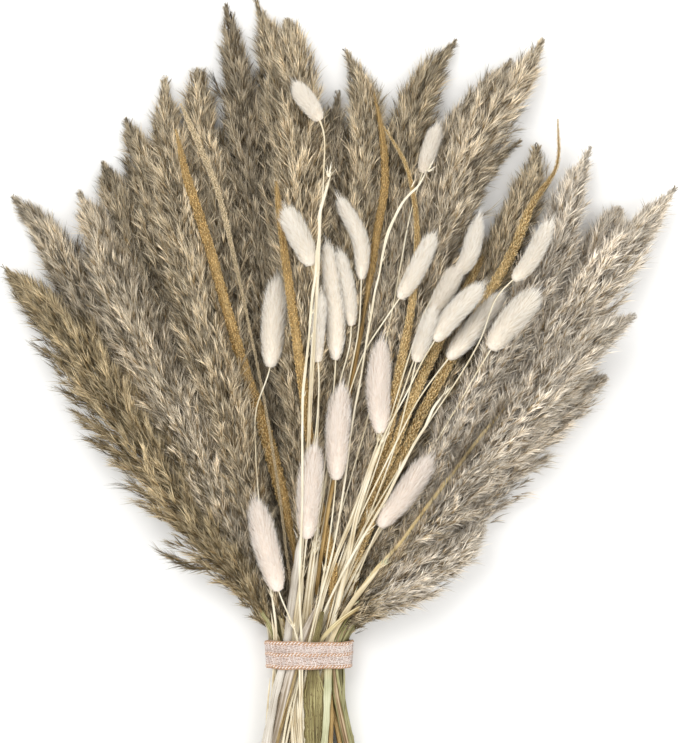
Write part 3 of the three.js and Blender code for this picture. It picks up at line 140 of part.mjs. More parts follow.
// A spindle turned on a lathe and then bent along its path. The lathe gives rings about an upright axis, so each ring is taken over
// by the cross-section that the path has at that place.
function strand({ name, colour, path, girth }) {
  const curve = new THREE.CatmullRomCurve3(path.map((p) => new THREE.Vector3(...p)), false, "catmullrom", 0.5);
  const spans = path.length - 1;
  const widest = Math.max(...girth.map((g) => g[1]));
  const sides = widest > 3 ? SIDES_HEAD : SIDES_STEM;
  const profile = [new THREE.Vector2(0, 0)];
  girth.forEach((g, i) => profile.push(new THREE.Vector2(1, i + 1)));
  profile.push(new THREE.Vector2(0, girth.length + 2));
  const body = new THREE.LatheGeometry(profile, sides);
  const at = body.getAttribute("position");
  const up = new THREE.Vector3(0, 0, 1);
  const v = new THREE.Vector3();
  const last = girth.length - 1;
  const frames = girth.map(([place]) => {
    const u = Math.min(Math.max(place / spans, 0), 1);
    const centre = curve.getPoint(u);
    const ahead = curve.getTangent(u);
    const side = new THREE.Vector3().crossVectors(ahead, up).normalize();
    return { centre, ahead, side, rise: new THREE.Vector3().crossVectors(side, ahead).normalize() };
  });
  for (let i = 0; i < at.count; i++) {
    v.fromBufferAttribute(at, i);
    const row = Math.round(v.y) - 1;
    const k = Math.min(Math.max(row, 0), last);
    const { centre, side, rise } = frames[k];
    const [, half, deep = half] = girth[k];
    const cap = row < 0 || row > last;
    const p = centre.clone();
    if (!cap) p.addScaledVector(side, v.x * half).addScaledVector(rise, v.z * deep);
    at.setXYZ(i, p.x + SHIFT[0], p.y + SHIFT[1], p.z + SHIFT[2]);
  }
  body.computeVertexNormals();
  const mesh = new THREE.Mesh(body, new THREE.MeshStandardMaterial({ color: colour, roughness: 0.85, metalness: 0 }));
  mesh.name = name;
  return mesh;
}

// The ribbon, one closed band: a flat ring with an oval opening, drawn through along Y.
function ribbon() {
  const oval = (w, d, n, back) => {
    const pts = [];
    for (let i = 0; i < n; i++) {
      const a = (i / n) * Math.PI * 2 * (back ? -1 : 1);
      pts.push(new THREE.Vector2((w / 2) * Math.cos(a), (d / 2) * Math.sin(a)));
    }
    return pts;
  };
  const shape = new THREE.Shape(oval(NECK_WIDTH, NECK_DEPTH, 40, false));
  shape.holes.push(new THREE.Path(oval(NECK_WIDTH - 2 * RIBBON_THICKNESS, NECK_DEPTH - 2 * RIBBON_THICKNESS, 40, true)));
  const band = new THREE.ExtrudeGeometry(shape, { depth: RIBBON_LENGTH_Y1 - RIBBON_LENGTH_Y0, bevelEnabled: false, steps: 1, curveSegments: 1 });
  band.rotateX(Math.PI / 2);
  const mesh = new THREE.Mesh(band, new THREE.MeshStandardMaterial({ color: "#ecd8cb", roughness: 0.8, metalness: 0 }));
  mesh.name = "ribbon";
  mesh.position.set(NECK_X + SHIFT[0], RIBBON_LENGTH_Y1 + SHIFT[1], NECK_HEIGHT + SHIFT[2]);
  return mesh;
}

const bundle = new THREE.Group();
for (const row of STRANDS) bundle.add(strand(row));
bundle.add(ribbon());
export default bundle;
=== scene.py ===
import bpy, math
import numpy as np
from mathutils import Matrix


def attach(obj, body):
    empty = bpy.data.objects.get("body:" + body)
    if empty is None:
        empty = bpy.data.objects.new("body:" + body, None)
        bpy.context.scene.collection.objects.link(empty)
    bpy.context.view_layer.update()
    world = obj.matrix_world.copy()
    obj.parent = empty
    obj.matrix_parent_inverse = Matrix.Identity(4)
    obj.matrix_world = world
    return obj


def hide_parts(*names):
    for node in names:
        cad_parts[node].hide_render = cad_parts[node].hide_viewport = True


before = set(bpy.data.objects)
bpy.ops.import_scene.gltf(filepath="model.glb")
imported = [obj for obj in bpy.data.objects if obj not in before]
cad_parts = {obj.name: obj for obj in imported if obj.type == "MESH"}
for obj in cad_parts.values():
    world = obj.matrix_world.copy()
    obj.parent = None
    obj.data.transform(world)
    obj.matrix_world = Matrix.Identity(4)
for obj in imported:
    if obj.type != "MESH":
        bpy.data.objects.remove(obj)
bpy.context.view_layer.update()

# ---------------------------------------------------------------- table of strands
# millimetres: name, kind, path from tip to cut end, visible half width as [place on the path, half width], end of the head
SHIFT = np.array([1.19, 23.22, -0.02])
STRANDS = [
    ("bunny_tail_01", "bunny", [(-34.9, 50.7, 24.5), (-36.8, 26.1, 26.4), (-38.9, 1.6, 28.2), (-46.4, -21.7, 29.7), (-46.5, -46.3, 30.8), (-44.8, -70.8, 30.6), (-41.9, -95.3, 29.1), (-38.4, -119.8, 27.1), (-35.4, -144.4, 25), (-36.4, -169, 22.3), (-39.3, -193.9, 20.5), (-41.6, -218.8, 18.5), (-41.7, -243.9, 15.5)],
     [(0, 1.65), (0.14, 3.64), (0.28, 4.99), (0.42, 5.79), (0.55, 6.46), (0.69, 6.93), (0.83, 7.14), (0.97, 7.15), (1.11, 7.15), (1.25, 7.15), (1.39, 7.13), (1.52, 6.72), (1.66, 5.89), (1.8, 3.9), (1.94, 1.32), (2, 0.48), (6.91, 0.48), (6.95, 0.45), (7.3, 0.83), (7.42, 0.83), (8.57, 0.83), (9.71, 0.83), (10.86, 0.83), (12, 0.83)], 0.1617),
    ("bunny_tail_02", "bunny", [(-28.5, 86.5, 44.1), (-18.4, 65.1, 41.5), (-11.8, 43.1, 38.8), (-11.1, 19.4, 37.1), (-11.6, -4.4, 36.3), (-12.1, -28.3, 35.3), (-13.9, -52.2, 33.1), (-16.6, -76, 29.5), (-19.5, -99.9, 25.7), (-21.2, -124, 21.8), (-23.4, -148.1, 17.6), (-24.7, -172.2, 14.1), (-26.1, -196.6, 12.7), (-27.4, -220.8, 10.7), (-29.2, -245, 10)],
     [(0, 1.65), (0.09, 3.45), (0.18, 4.9), (0.27, 5.61), (0.36, 5.99), (0.45, 6.29), (0.54, 6.5), (0.64, 6.59), (0.73, 6.56), (0.82, 6.38), (0.91, 6.06), (1, 5.64), (1.09, 4.61), (1.18, 2.53), (1.27, 1.32), (1.33, 0.48), (8.4, 0.48), (8.44, 0.54), (8.8, 0.99), (8.93, 0.99), (10.2, 0.99), (11.46, 0.99), (12.73, 0.99), (14, 0.99)], 0.0908),
    ("bunny_tail_03", "bunny", [(1.1, 93.1, 30.1), (11.3, 71.5, 30), (11.6, 47.1, 29.8), (10.2, 22.8, 29.4), (5.8, -1.2, 29.1), (1, -25.1, 28.8), (-3.3, -49.2, 28.4), (-7.2, -73.4, 27.5), (-11.7, -97.5, 23.4), (-15.3, -121.9, 19.3), (-17.5, -146.5, 16.5), (-20.7, -171, 14.6), (-24.7, -195.3, 13.5), (-28.5, -219.8, 13.3), (-30.9, -244.4, 11.1)],
     [(0, 1.65), (0.13, 2.92), (0.26, 3.79), (0.38, 4.17), (0.51, 4.47), (0.64, 4.64), (0.77, 4.68), (0.89, 4.68), (1.02, 4.68), (1.15, 4.68), (1.28, 4.62), (1.41, 4.4), (1.53, 4.04), (1.66, 2.96), (1.79, 1.32), (1.85, 0.48), (7.99, 0.48), (8.03, 0.73), (8.38, 1.32), (8.5, 1.32), (9.88, 1.32), (11.25, 1.32), (12.63, 1.32), (14, 1.32)], 0.1278),
    ("bunny_tail_04", "bunny", [(-6.8, 68.1, 35), (-3.9, 43.9, 34.2), (-2.3, 19.6, 33.4), (-3, -4.7, 32.7), (-5.7, -28.9, 32.2), (-8.6, -53.2, 31.5), (-11.5, -77.5, 29.5), (-14.2, -101.9, 26.1), (-17.4, -126.3, 22.1), (-19.7, -150.9, 19.7), (-22.8, -175.4, 17.5), (-28.4, -199.3, 16.2), (-32.8, -223.6, 15.8), (-35.7, -248.2, 14.1)],
     [(0, 1.38), (0.18, 3.46), (0.36, 4.49), (0.54, 4.81), (0.71, 5.01), (0.89, 5.16), (1.07, 5.34), (1.25, 5.54), (1.43, 5.69), (1.61, 5.77), (1.79, 5.76), (1.96, 5.69), (2.14, 5.56), (2.32, 4.05), (2.5, 1.32), (2.56, 0.48), (6.74, 0.48), (6.78, 0.54), (7.13, 0.99), (7.26, 0.99), (8.69, 0.99), (10.13, 0.99), (11.56, 0.99), (13, 0.99)], 0.1923),
    ("bunny_tail_05", "bunny", [(0.1, 63.8, 33.5), (5.1, 40.5, 32.2), (5.7, 17.3, 30.5), (0.1, -5.8, 28.7), (-4.1, -29.2, 27.4), (-6.8, -53, 26.8), (-10.1, -76.6, 25.8), (-14.1, -100.2, 23.6), (-16.2, -124, 20.6), (-16.8, -148.1, 19.6), (-15.7, -172.1, 17.7), (-14.3, -196.1, 15.5), (-12.1, -219.8, 11), (-8, -243.7, 9.4)],
     [(0, 1.38), (0.12, 2.7), (0.23, 3.66), (0.35, 3.91), (0.46, 4.02), (0.58, 4.08), (0.69, 4.12), (0.81, 4.12), (0.92, 4.12), (1.04, 4.12), (1.15, 4.12), (1.27, 4.07), (1.38, 3.21), (1.5, 1.99), (1.61, 1.32), (1.68, 0.48), (6.69, 0.48), (6.73, 0.67), (7.09, 1.21), (7.22, 1.21), (8.66, 1.21), (10.11, 1.21), (11.55, 1.21), (13, 1.21)], 0.1241),
    ("bunny_tail_06", "bunny", [(-10.8, 39.3, 42.2), (-12.5, 15.8, 41.2), (-11.6, -7.7, 40), (-13.1, -31.3, 37.4), (-16.2, -54.8, 33.1), (-18.4, -78.4, 28.8), (-21.2, -102.1, 25.4), (-24.4, -125.7, 23.3), (-28.3, -149.2, 21.9), (-33, -172.4, 21.7), (-38.2, -195.7, 21.9), (-42.2, -219.2, 20.6), (-44.4, -243.2, 17.1)],
     [(0, 1.65), (0.1, 2.57), (0.2, 3.3), (0.3, 3.6), (0.4, 3.7), (0.5, 3.77), (0.6, 3.82), (0.7, 3.85), (0.8, 3.85), (0.9, 3.81), (1, 3.75), (1.1, 3.66), (1.2, 3.41), (1.3, 2.12), (1.41, 1.21), (1.47, 0.48), (6.08, 0.48), (6.12, 0.48), (6.48, 0.88), (6.61, 0.88), (7.95, 0.88), (9.3, 0.88), (10.65, 0.88), (12, 0.88)], 0.1171),
    ("bunny_tail_07", "bunny", [(49.9, 72.2, 45.6), (39.5, 50.9, 42.1), (26.5, 31.1, 38.3), (13.8, 11.1, 34.8), (5.4, -11.4, 31.9), (-2, -34.2, 30), (-7.6, -57.5, 28.6), (-12.1, -81.2, 26.9), (-16.2, -105, 24.6), (-19.3, -129, 20.9), (-22.4, -153.2, 18.3), (-26.5, -177.2, 15), (-28.2, -201.4, 12.2), (-30.1, -225.7, 10.5), (-33.2, -249.9, 9.3)],
     [(0, 1.65), (0.11, 3.1), (0.21, 4.17), (0.32, 4.59), (0.43, 4.87), (0.53, 5.08), (0.64, 5.2), (0.75, 5.22), (0.85, 5.2), (0.96, 5.14), (1.07, 5.05), (1.18, 4.89), (1.28, 3.77), (1.39, 2.18), (1.5, 1.32), (1.56, 0.48), (7.25, 0.48), (7.29, 0.57), (7.65, 1.04), (7.78, 1.04), (9.33, 1.04), (10.89, 1.04), (12.44, 1.04), (14, 1.04)], 0.1068),
    ("bunny_tail_08", "bunny", [(76.2, 82.5, 31.8), (68.9, 59.3, 33.2), (51.7, 42.2, 34.6), (41.9, 19.5, 35.6), (34.3, -4, 35.6), (27.2, -27.6, 32.4), (20.4, -51.3, 28.8), (12.6, -74.9, 25.7), (4.8, -98.5, 23), (-1.2, -122.5, 20.3), (-6.9, -146.4, 19.2), (-11.4, -170.5, 19.4), (-13.1, -195, 21.5), (-14.2, -219.7, 21.4), (-15.2, -244.6, 18.1)],
     [(0, 1.65), (0.09, 2.55), (0.18, 3.34), (0.27, 3.97), (0.36, 4.41), (0.45, 4.73), (0.55, 5), (0.64, 5.18), (0.73, 5.22), (0.82, 5.19), (0.91, 5.12), (1, 5), (1.09, 4.34), (1.18, 2.48), (1.27, 1.32), (1.33, 0.48), (7.77, 0.48), (7.81, 0.57), (8.16, 1.04), (8.28, 1.04), (9.71, 1.04), (11.14, 1.04), (12.57, 1.04), (14, 1.04)], 0.0909),
    ("bunny_tail_09", "bunny", [(63.2, 54.1, 41.7), (51.7, 32.6, 38.7), (42.2, 10.1, 36.2), (34.1, -13.1, 34.6), (25.6, -36.2, 32.7), (17.6, -59.6, 29.9), (9, -82.8, 26.6), (0.5, -106.2, 22.9), (-6.3, -130.1, 19.2), (-13.5, -154, 16.4), (-18.8, -178.3, 16.7), (-23.7, -202.8, 16.1), (-29.8, -227, 15.4), (-34.8, -251.4, 12.7)],
     [(0, 1.65), (0.07, 3.02), (0.15, 4.17), (0.22, 4.87), (0.3, 5.13), (0.37, 5.32), (0.45, 5.45), (0.52, 5.5), (0.6, 5.45), (0.67, 5.27), (0.75, 4.99), (0.82, 4.63), (0.9, 3.56), (0.97, 2.1), (1.05, 1.32), (1.11, 0.48), (6.66, 0.48), (6.7, 0.61), (7.05, 1.1), (7.17, 1.1), (8.63, 1.1), (10.09, 1.1), (11.54, 1.1), (13, 1.1)], 0.0805),
    ("bunny_tail_10", "bunny", [(75.6, 45.2, 47.7), (59.5, 27.8, 44.6), (46.5, 7.8, 41.3), (35.9, -13.6, 38), (24.6, -34.7, 34.8), (16.2, -57.1, 32.2), (8.9, -80.1, 29.9), (4.4, -103.8, 27.5), (-1, -127.5, 27), (-7.4, -150.9, 24.9), (-14, -174.2, 23), (-21, -197.5, 22.2), (-27.6, -220.8, 23), (-33.9, -243.9, 26.2)],
     [(0, 1.65), (0.11, 3.28), (0.22, 4.55), (0.33, 5.16), (0.43, 5.57), (0.54, 5.87), (0.65, 6.03), (0.76, 6.05), (0.87, 6.05), (0.98, 6.05), (1.08, 6.05), (1.19, 5.67), (1.3, 4.06), (1.41, 2.24), (1.52, 1.32), (1.58, 0.48), (4.08, 0.48), (4.12, 1), (4.48, 1.81), (4.6, 1.81), (6.7, 1.81), (8.8, 1.81), (10.9, 1.81), (13, 1.81)], 0.1167),
    ("bunny_tail_11", "bunny", [(50.5, 31.5, 46.3), (42.8, 8.9, 40.5), (37.4, -14.4, 35.4), (31.4, -37.9, 31.7), (23.5, -60.7, 28.8), (14.6, -83.3, 25.8), (5.5, -105.9, 23.5), (-3.4, -128.7, 21.8), (-10.9, -151.8, 18.6), (-16.2, -175.5, 15.8), (-21.3, -199.4, 16.3), (-26.4, -223.3, 15.8), (-32, -247.1, 14.4)],
     [(0, 1.65), (0.08, 2.87), (0.16, 3.92), (0.24, 4.57), (0.32, 4.74), (0.41, 4.83), (0.49, 4.89), (0.57, 4.93), (0.65, 4.95), (0.73, 4.91), (0.81, 4.76), (0.89, 4.49), (0.97, 4.13), (1.05, 2.64), (1.13, 1.32), (1.2, 0.48), (4.93, 0.48), (4.97, 0.67), (5.33, 1.21), (5.45, 1.21), (7.09, 1.21), (8.73, 1.21), (10.36, 1.21), (12, 1.21)], 0.0945),
    ("bunny_tail_12", "bunny", [(88.5, 41.2, 26.8), (72.8, 22.2, 29.5), (56.9, 3.4, 31.9), (42.8, -16.4, 33.8), (31.5, -38.2, 34), (20.7, -60.3, 32), (10.1, -82.5, 28.4), (1.6, -105.8, 24.8), (-7.1, -129, 20.8), (-16.5, -151.9, 17.7), (-24.4, -175.3, 16.2), (-30.4, -199.2, 17.4), (-37, -223, 18.4), (-45.3, -246.3, 19.6)],
     [(0, 1.65), (0.13, 3.25), (0.26, 4.51), (0.38, 5.12), (0.51, 5.51), (0.64, 5.81), (0.77, 6), (0.9, 6.05), (1.02, 6.05), (1.15, 6.05), (1.28, 6.05), (1.41, 5.89), (1.53, 4.37), (1.66, 2.37), (1.79, 1.32), (1.85, 0.48), (5.97, 0.48), (6.01, 0.51), (6.36, 0.94), (6.48, 0.94), (8.11, 0.94), (9.74, 0.94), (11.37, 0.94), (13, 0.94)], 0.1377),
    ("bunny_tail_13", "bunny", [(105.8, 40.9, 46.8), (89.8, 22.3, 42.1), (76.7, 1.6, 36.7), (64.5, -19.9, 31.4), (51.7, -41.1, 26.6), (38.3, -62, 23.1), (25.4, -83.3, 21.5), (12.3, -104.7, 21.3), (1.1, -126.9, 21), (-9.5, -149.7, 20.8), (-18.2, -173.1, 19.1), (-26.3, -196.7, 14.2), (-34.4, -220.6, 12), (-42.1, -244.5, 9.1)],
     [(0, 2.2), (0.11, 4.21), (0.21, 5.84), (0.32, 6.67), (0.42, 7.06), (0.53, 7.38), (0.63, 7.59), (0.74, 7.69), (0.84, 7.67), (0.95, 7.53), (1.05, 7.28), (1.16, 6.92), (1.26, 5.48), (1.37, 2.81), (1.47, 1.32), (1.53, 0.48), (5.55, 0.48), (5.59, 0.48), (5.93, 0.88), (6.05, 0.88), (7.79, 0.88), (9.53, 0.88), (11.26, 0.88), (13, 0.88)], 0.1133),
    ("bunny_tail_14", "bunny", [(113.7, 79, 53.2), (102.5, 58.1, 47), (86.3, 40.9, 41.3), (77.7, 18.2, 36.2), (65.9, -2.8, 32.1), (52.4, -23, 29.6), (39.1, -43.4, 28.6), (26.4, -64.2, 28.4), (14.1, -85.2, 27.6), (3.2, -107.1, 25.4), (-5.8, -129.9, 22.1), (-14.5, -152.7, 17.9), (-22.5, -176, 15.9), (-29.5, -199.5, 14.6), (-36.1, -223.2, 13.9), (-42.4, -246.9, 12.9)],
     [(0, 1.65), (0.1, 2.83), (0.2, 3.8), (0.31, 4.37), (0.41, 4.6), (0.51, 4.78), (0.61, 4.9), (0.71, 4.95), (0.82, 4.95), (0.92, 4.95), (1.02, 4.95), (1.12, 4.93), (1.22, 3.88), (1.33, 2.23), (1.43, 1.32), (1.49, 0.48), (8.57, 0.48), (8.61, 0.54), (8.96, 0.99), (9.08, 0.99), (10.56, 0.99), (12.04, 0.99), (13.52, 0.99), (15, 0.99)], 0.0952),
    ("bunny_tail_15", "bunny", [(-23.2, 156.6, 30.1), (-9.8, 134.7, 34.3), (-9, 109.2, 38.3), (-10.6, 83.6, 41.9), (-11.6, 58.1, 44.6), (-12.9, 32.7, 46), (-14.7, 7.4, 45), (-16.1, -18, 41.6), (-17.1, -43.5, 36.8), (-18.6, -69, 32.1), (-20.4, -94.7, 28.2), (-22.2, -120.5, 25.4), (-23.7, -146.4, 22.7), (-24, -172.4, 23.2), (-23.8, -198.1, 22.7), (-22.2, -223.7, 17.9), (-18.4, -249.4, 12.5)],
     [(0, 1.65), (0.06, 2.74), (0.12, 3.66), (0.18, 4.29), (0.24, 4.64), (0.3, 4.92), (0.36, 5.13), (0.41, 5.22), (0.47, 5.18), (0.53, 4.99), (0.59, 4.7), (0.65, 4.34), (0.71, 3.32), (0.77, 2.01), (0.83, 1.32), (0.89, 0.48), (10.79, 0.48), (10.83, 0.54), (11.16, 0.99), (11.28, 0.99), (12.46, 0.99), (13.64, 0.99), (14.82, 0.99), (16, 0.99)], 0.0518),
    ("bunny_tail_16", "bunny", [(53.2, 132.8, 22.1), (45.5, 109.5, 25.1), (38.7, 86, 27.8), (34.1, 61.9, 29.7), (29.7, 37.9, 30.4), (24.8, 14, 29.7), (19.4, -9.8, 27.8), (13.4, -33.5, 25.1), (6.6, -57.1, 22.1), (-0.2, -80.7, 19.2), (-7.1, -104.4, 17.1), (-11.3, -128.7, 15), (-13.8, -153.3, 12.9), (-16.3, -177.9, 10.6), (-19.4, -202.3, 7.8), (-22.6, -226.7, 6.3), (-25.2, -251.3, 6.9)],
     [(0, 1.65), (0.07, 2.77), (0.14, 3.72), (0.2, 4.31), (0.27, 4.47), (0.34, 4.56), (0.41, 4.62), (0.48, 4.66), (0.55, 4.67), (0.61, 4.56), (0.68, 4.3), (0.75, 3.92), (0.82, 3.43), (0.89, 2.18), (0.96, 1.32), (1.02, 0.48), (9.05, 0.48), (9.09, 0.61), (9.44, 1.1), (9.56, 1.1), (11.17, 1.1), (12.78, 1.1), (14.39, 1.1), (16, 1.1)], 0.0598),
    ("bunny_tail_17", "bunny", [(22.6, 14.6, 39.6), (21, -9.6, 36.9), (21.8, -33.6, 33.6), (15.2, -56.8, 30.4), (6.9, -79.7, 28.3), (-2.2, -102.3, 27.3), (-9.3, -125.5, 26.7), (-15.3, -149.1, 26.7), (-19, -173.2, 25.7), (-21.2, -197.6, 24.7), (-22.9, -222.1, 22.2), (-24.3, -246.7, 17.9)],
     [(0, 1.65), (0.14, 3.29), (0.28, 4.58), (0.43, 5.38), (0.57, 6.05), (0.71, 6.56), (0.85, 6.84), (1, 6.88), (1.14, 6.88), (1.28, 6.88), (1.42, 6.88), (1.56, 6.66), (1.71, 5.99), (1.85, 4.3), (1.99, 1.43), (2.05, 0.48), (2.06, 0.48), (2.11, 0.85), (2.46, 1.54), (2.58, 1.54), (4.69, 1.54), (6.79, 1.54), (8.9, 1.54), (11, 1.54)], 0.181),
    ("bunny_tail_18", "bunny", [(0.6, -10.7, 38), (-1.5, -34.4, 36.6), (-2.2, -58.2, 33.9), (-4.5, -81.9, 30.6), (-7.9, -105.6, 28.6), (-11.4, -129.3, 28.4), (-15.1, -153.1, 28.2), (-17.4, -177.1, 26.3), (-18.2, -201.2, 23.3), (-19.2, -225.5, 20.3), (-20.2, -249.7, 17)],
     [(0, 1.65), (0.14, 3.66), (0.29, 5.01), (0.43, 5.82), (0.58, 6.46), (0.72, 6.83), (0.87, 6.88), (1.01, 6.88), (1.16, 6.88), (1.3, 6.88), (1.45, 6.66), (1.59, 5.97), (1.74, 5.02), (1.88, 3.07), (2.03, 1.43), (2.09, 0.48), (3.92, 0.48), (3.96, 0.48), (4.32, 0.88), (4.45, 0.88), (5.83, 0.88), (7.22, 0.88), (8.61, 0.88), (10, 0.88)], 0.2025),
    ("bunny_tail_19", "bunny", [(-14.2, -43.6, 42.5), (-17.2, -68.4, 39), (-18.6, -93.3, 34), (-21.4, -118.2, 28.6), (-24.9, -143.2, 24.3), (-26.1, -168.3, 22.6), (-25.4, -193.3, 23.3), (-23.9, -218.2, 24.7), (-22.8, -243.1, 24.3)],
     [(0, 1.65), (0.14, 3.63), (0.28, 5), (0.42, 5.85), (0.56, 6.56), (0.69, 7.02), (0.83, 7.15), (0.97, 7.13), (1.11, 7.07), (1.25, 6.98), (1.39, 6.84), (1.53, 6.33), (1.67, 5.4), (1.81, 3.59), (1.95, 1.43), (2.01, 0.48), (2.53, 0.48), (2.57, 0.42), (2.91, 0.77), (3.04, 0.77), (4.28, 0.77), (5.52, 0.77), (6.76, 0.77), (8, 0.77)], 0.2432),
    ("bunny_tail_20", "bunny", [(-46, -73.5, 38.7), (-40.3, -97.8, 36), (-33.4, -122.3, 32.3), (-24, -146.7, 30.2), (-22.2, -171.5, 30.4), (-22.7, -196.5, 27.2), (-21.2, -221.4, 23.5), (-18.4, -246.2, 18.8)],
     [(0, 1.65), (0.14, 3.59), (0.28, 4.99), (0.41, 5.94), (0.55, 6.75), (0.69, 7.29), (0.83, 7.43), (0.97, 7.43), (1.11, 7.43), (1.24, 7.43), (1.38, 7.36), (1.52, 6.82), (1.66, 5.89), (1.8, 3.88), (1.93, 1.43), (2, 0.48), (2.41, 0.48), (2.45, 0.39), (2.79, 0.72), (2.91, 0.72), (3.94, 0.72), (4.96, 0.72), (5.98, 0.72), (7, 0.72)], 0.2764),
    ("bunny_tail_21", "bunny", [(48.6, -49.9, 32.1), (35.2, -68.8, 29.5), (21.2, -87.2, 26.1), (11.8, -108.6, 22.6), (2.9, -130, 20.4), (-4.5, -151.8, 22.3), (-8.6, -174.4, 22.6), (-10.7, -197.7, 21.5), (-12.3, -221, 20.9), (-13.5, -244.4, 20.1)],
     [(0, 1.65), (0.14, 3.98), (0.27, 5.47), (0.41, 6.1), (0.55, 6.57), (0.68, 6.84), (0.82, 6.88), (0.96, 6.88), (1.1, 6.88), (1.23, 6.88), (1.37, 6.64), (1.51, 5.92), (1.64, 4.96), (1.78, 2.99), (1.92, 1.43), (1.98, 0.48), (3.18, 0.48), (3.22, 0.48), (3.59, 0.88), (3.73, 0.88), (5.04, 0.88), (6.36, 0.88), (7.68, 0.88), (9, 0.88)], 0.213),
    ("gold_spike_01", "gold", [(-90.7, 133.6, 28.2), (-85.3, 109.7, 27.7), (-77.9, 86.4, 26.9), (-70.7, 63, 25.2), (-64.2, 39.5, 23.1), (-57.4, 15.9, 20.9), (-49.9, -7.5, 19.1), (-42.4, -30.9, 17.9), (-35.7, -54.5, 17.4), (-29.9, -78.5, 17.6), (-25.1, -102.7, 17.6), (-23.5, -127.3, 17.5), (-21.8, -152, 15.3), (-20.7, -176.8, 11.4), (-18, -201.1, 11.2), (-13.3, -225.4, 11.5), (-9.6, -249.9, 9.4)],
     [(0, 0.72), (0.14, 1.12), (0.29, 1.49), (0.43, 1.8), (0.57, 2.04), (1.25, 2.78), (1.92, 2.93), (2.59, 3.06), (3.26, 3.21), (3.93, 3.22), (4.6, 3.22), (5.27, 3.22), (5.94, 3.22), (6.61, 3.22), (7.28, 3.22), (7.95, 3.2), (8.62, 3.03), (9.29, 2.51), (9.96, 1.7), (10.63, 1.12), (11.31, 1.12), (11.98, 1.27), (12.65, 1.43), (13.32, 1.43), (13.99, 1.43), (14.66, 1.43), (15.33, 1.43), (16, 1.43)], None),
    ("gold_spike_02", "gold", [(-35.3, 104.5, 34.3), (-32.5, 81.2, 37.4), (-29.5, 57.9, 40), (-26.2, 34.8, 41.7), (-23, 11.6, 42.1), (-19.9, -11.7, 40.2), (-17.1, -34.9, 34.6), (-13.9, -58, 27), (-10.2, -81, 21.4), (-4.8, -104.3, 24), (-4.8, -128.2, 26.1), (-7.8, -151.8, 22.2), (-7.3, -175.2, 19.1), (-1.5, -199, 19.3), (2.4, -222.5, 18.3), (5.7, -246, 16.9)],
     [(0, 0.89), (0.15, 1.37), (0.3, 1.78), (0.45, 1.98), (0.6, 2.07), (1.23, 2.28), (1.85, 2.5), (2.48, 2.69), (3.1, 2.79), (3.73, 2.88), (4.36, 3.01), (4.98, 3), (5.61, 2.78), (6.23, 2.59), (6.86, 2.42), (7.49, 2.3), (8.11, 2.21), (8.74, 2.09), (9.37, 1.84), (9.99, 1.09), (10.62, 1.23), (11.24, 1.43), (11.87, 1.43), (12.5, 1.43), (13.12, 1.43), (13.75, 1.43), (14.37, 1.43), (15, 1.43)], None),
    ("gold_spike_03", "gold", [(18.9, 155.7, 12.5), (23.7, 130.2, 15.1), (24.9, 104.5, 17.7), (20.9, 79, 20.1), (16.9, 53.6, 22.5), (12.8, 28.3, 24.8), (8.2, 3.1, 26.9), (3.8, -22.1, 28.1), (-0.7, -47.4, 28.9), (-5.9, -72.7, 29.6), (-9.7, -97.8, 25.3), (-13.1, -122.8, 17.9), (-15.5, -148.6, 14.3), (-18.6, -174.5, 14.4), (-22.9, -200.2, 14), (-26.3, -225.9, 13.1), (-29.5, -251.7, 12.1)],
     [(0, 0.72), (0.14, 0.97), (0.28, 1.21), (0.41, 1.43), (0.55, 1.63), (1.22, 2.34), (1.89, 2.6), (2.57, 2.6), (3.24, 2.6), (3.91, 2.41), (4.58, 1.61), (5.25, 1.23), (5.92, 1.14), (6.6, 1.14), (7.27, 1.14), (7.94, 1.14), (8.61, 1.14), (9.28, 1.14), (9.95, 1.14), (10.63, 1.14), (11.3, 1.14), (11.97, 1.21), (12.64, 1.43), (13.31, 1.43), (13.98, 1.43), (14.66, 1.43), (15.33, 1.43), (16, 1.43)], None),
    ("gold_spike_04", "gold", [(24.4, 135.3, 27.2), (36.1, 114.8, 30.2), (41.4, 91, 33), (42.5, 66.8, 35), (40.4, 42.7, 36), (36.6, 18.9, 35.2), (31.8, -4.8, 32.2), (27.7, -28.8, 27.7), (22.2, -52.5, 20.9), (15.8, -76, 15.5), (10.8, -100.1, 13.7), (7.5, -124.5, 15.7), (-2.5, -147, 19), (-5.4, -170.2, 21.9), (-4.9, -194.4, 26.1), (-6.4, -218.6, 27.5), (-8.5, -242.7, 27.7)],
     [(0, 0.73), (0.15, 0.89), (0.29, 1.03), (0.44, 1.14), (0.58, 1.22), (1.25, 1.5), (1.92, 1.7), (2.59, 1.97), (3.26, 2.18), (3.93, 2.31), (4.6, 2.51), (5.27, 2.73), (5.94, 2.92), (6.61, 3.09), (7.28, 3.3), (7.96, 3.4), (8.63, 3.4), (9.3, 3.11), (9.97, 2.52), (10.64, 1.63), (11.31, 1.46), (11.98, 1.46), (12.65, 1.43), (13.32, 1.43), (13.99, 1.43), (14.66, 1.43), (15.33, 1.43), (16, 1.43)], None),
    ("gold_spike_05", "gold", [(121.5, 140.2, 10.5), (120.6, 114.3, 12.9), (106.7, 92.6, 15.2), (96.9, 68.5, 17.2), (84.2, 45.7, 18.9), (71.6, 23, 20), (58.4, 0.7, 20.8), (46.1, -22.1, 21.2), (34.5, -45.2, 21.3), (23.6, -68.8, 20.7), (13.2, -92.7, 19.8), (4.5, -117.1, 18), (-3.2, -141.7, 15.4), (-7.2, -167.5, 15.8), (-9.8, -193.4, 15.4), (-12.7, -219.2, 15.2), (-17.2, -244.9, 16.1)],
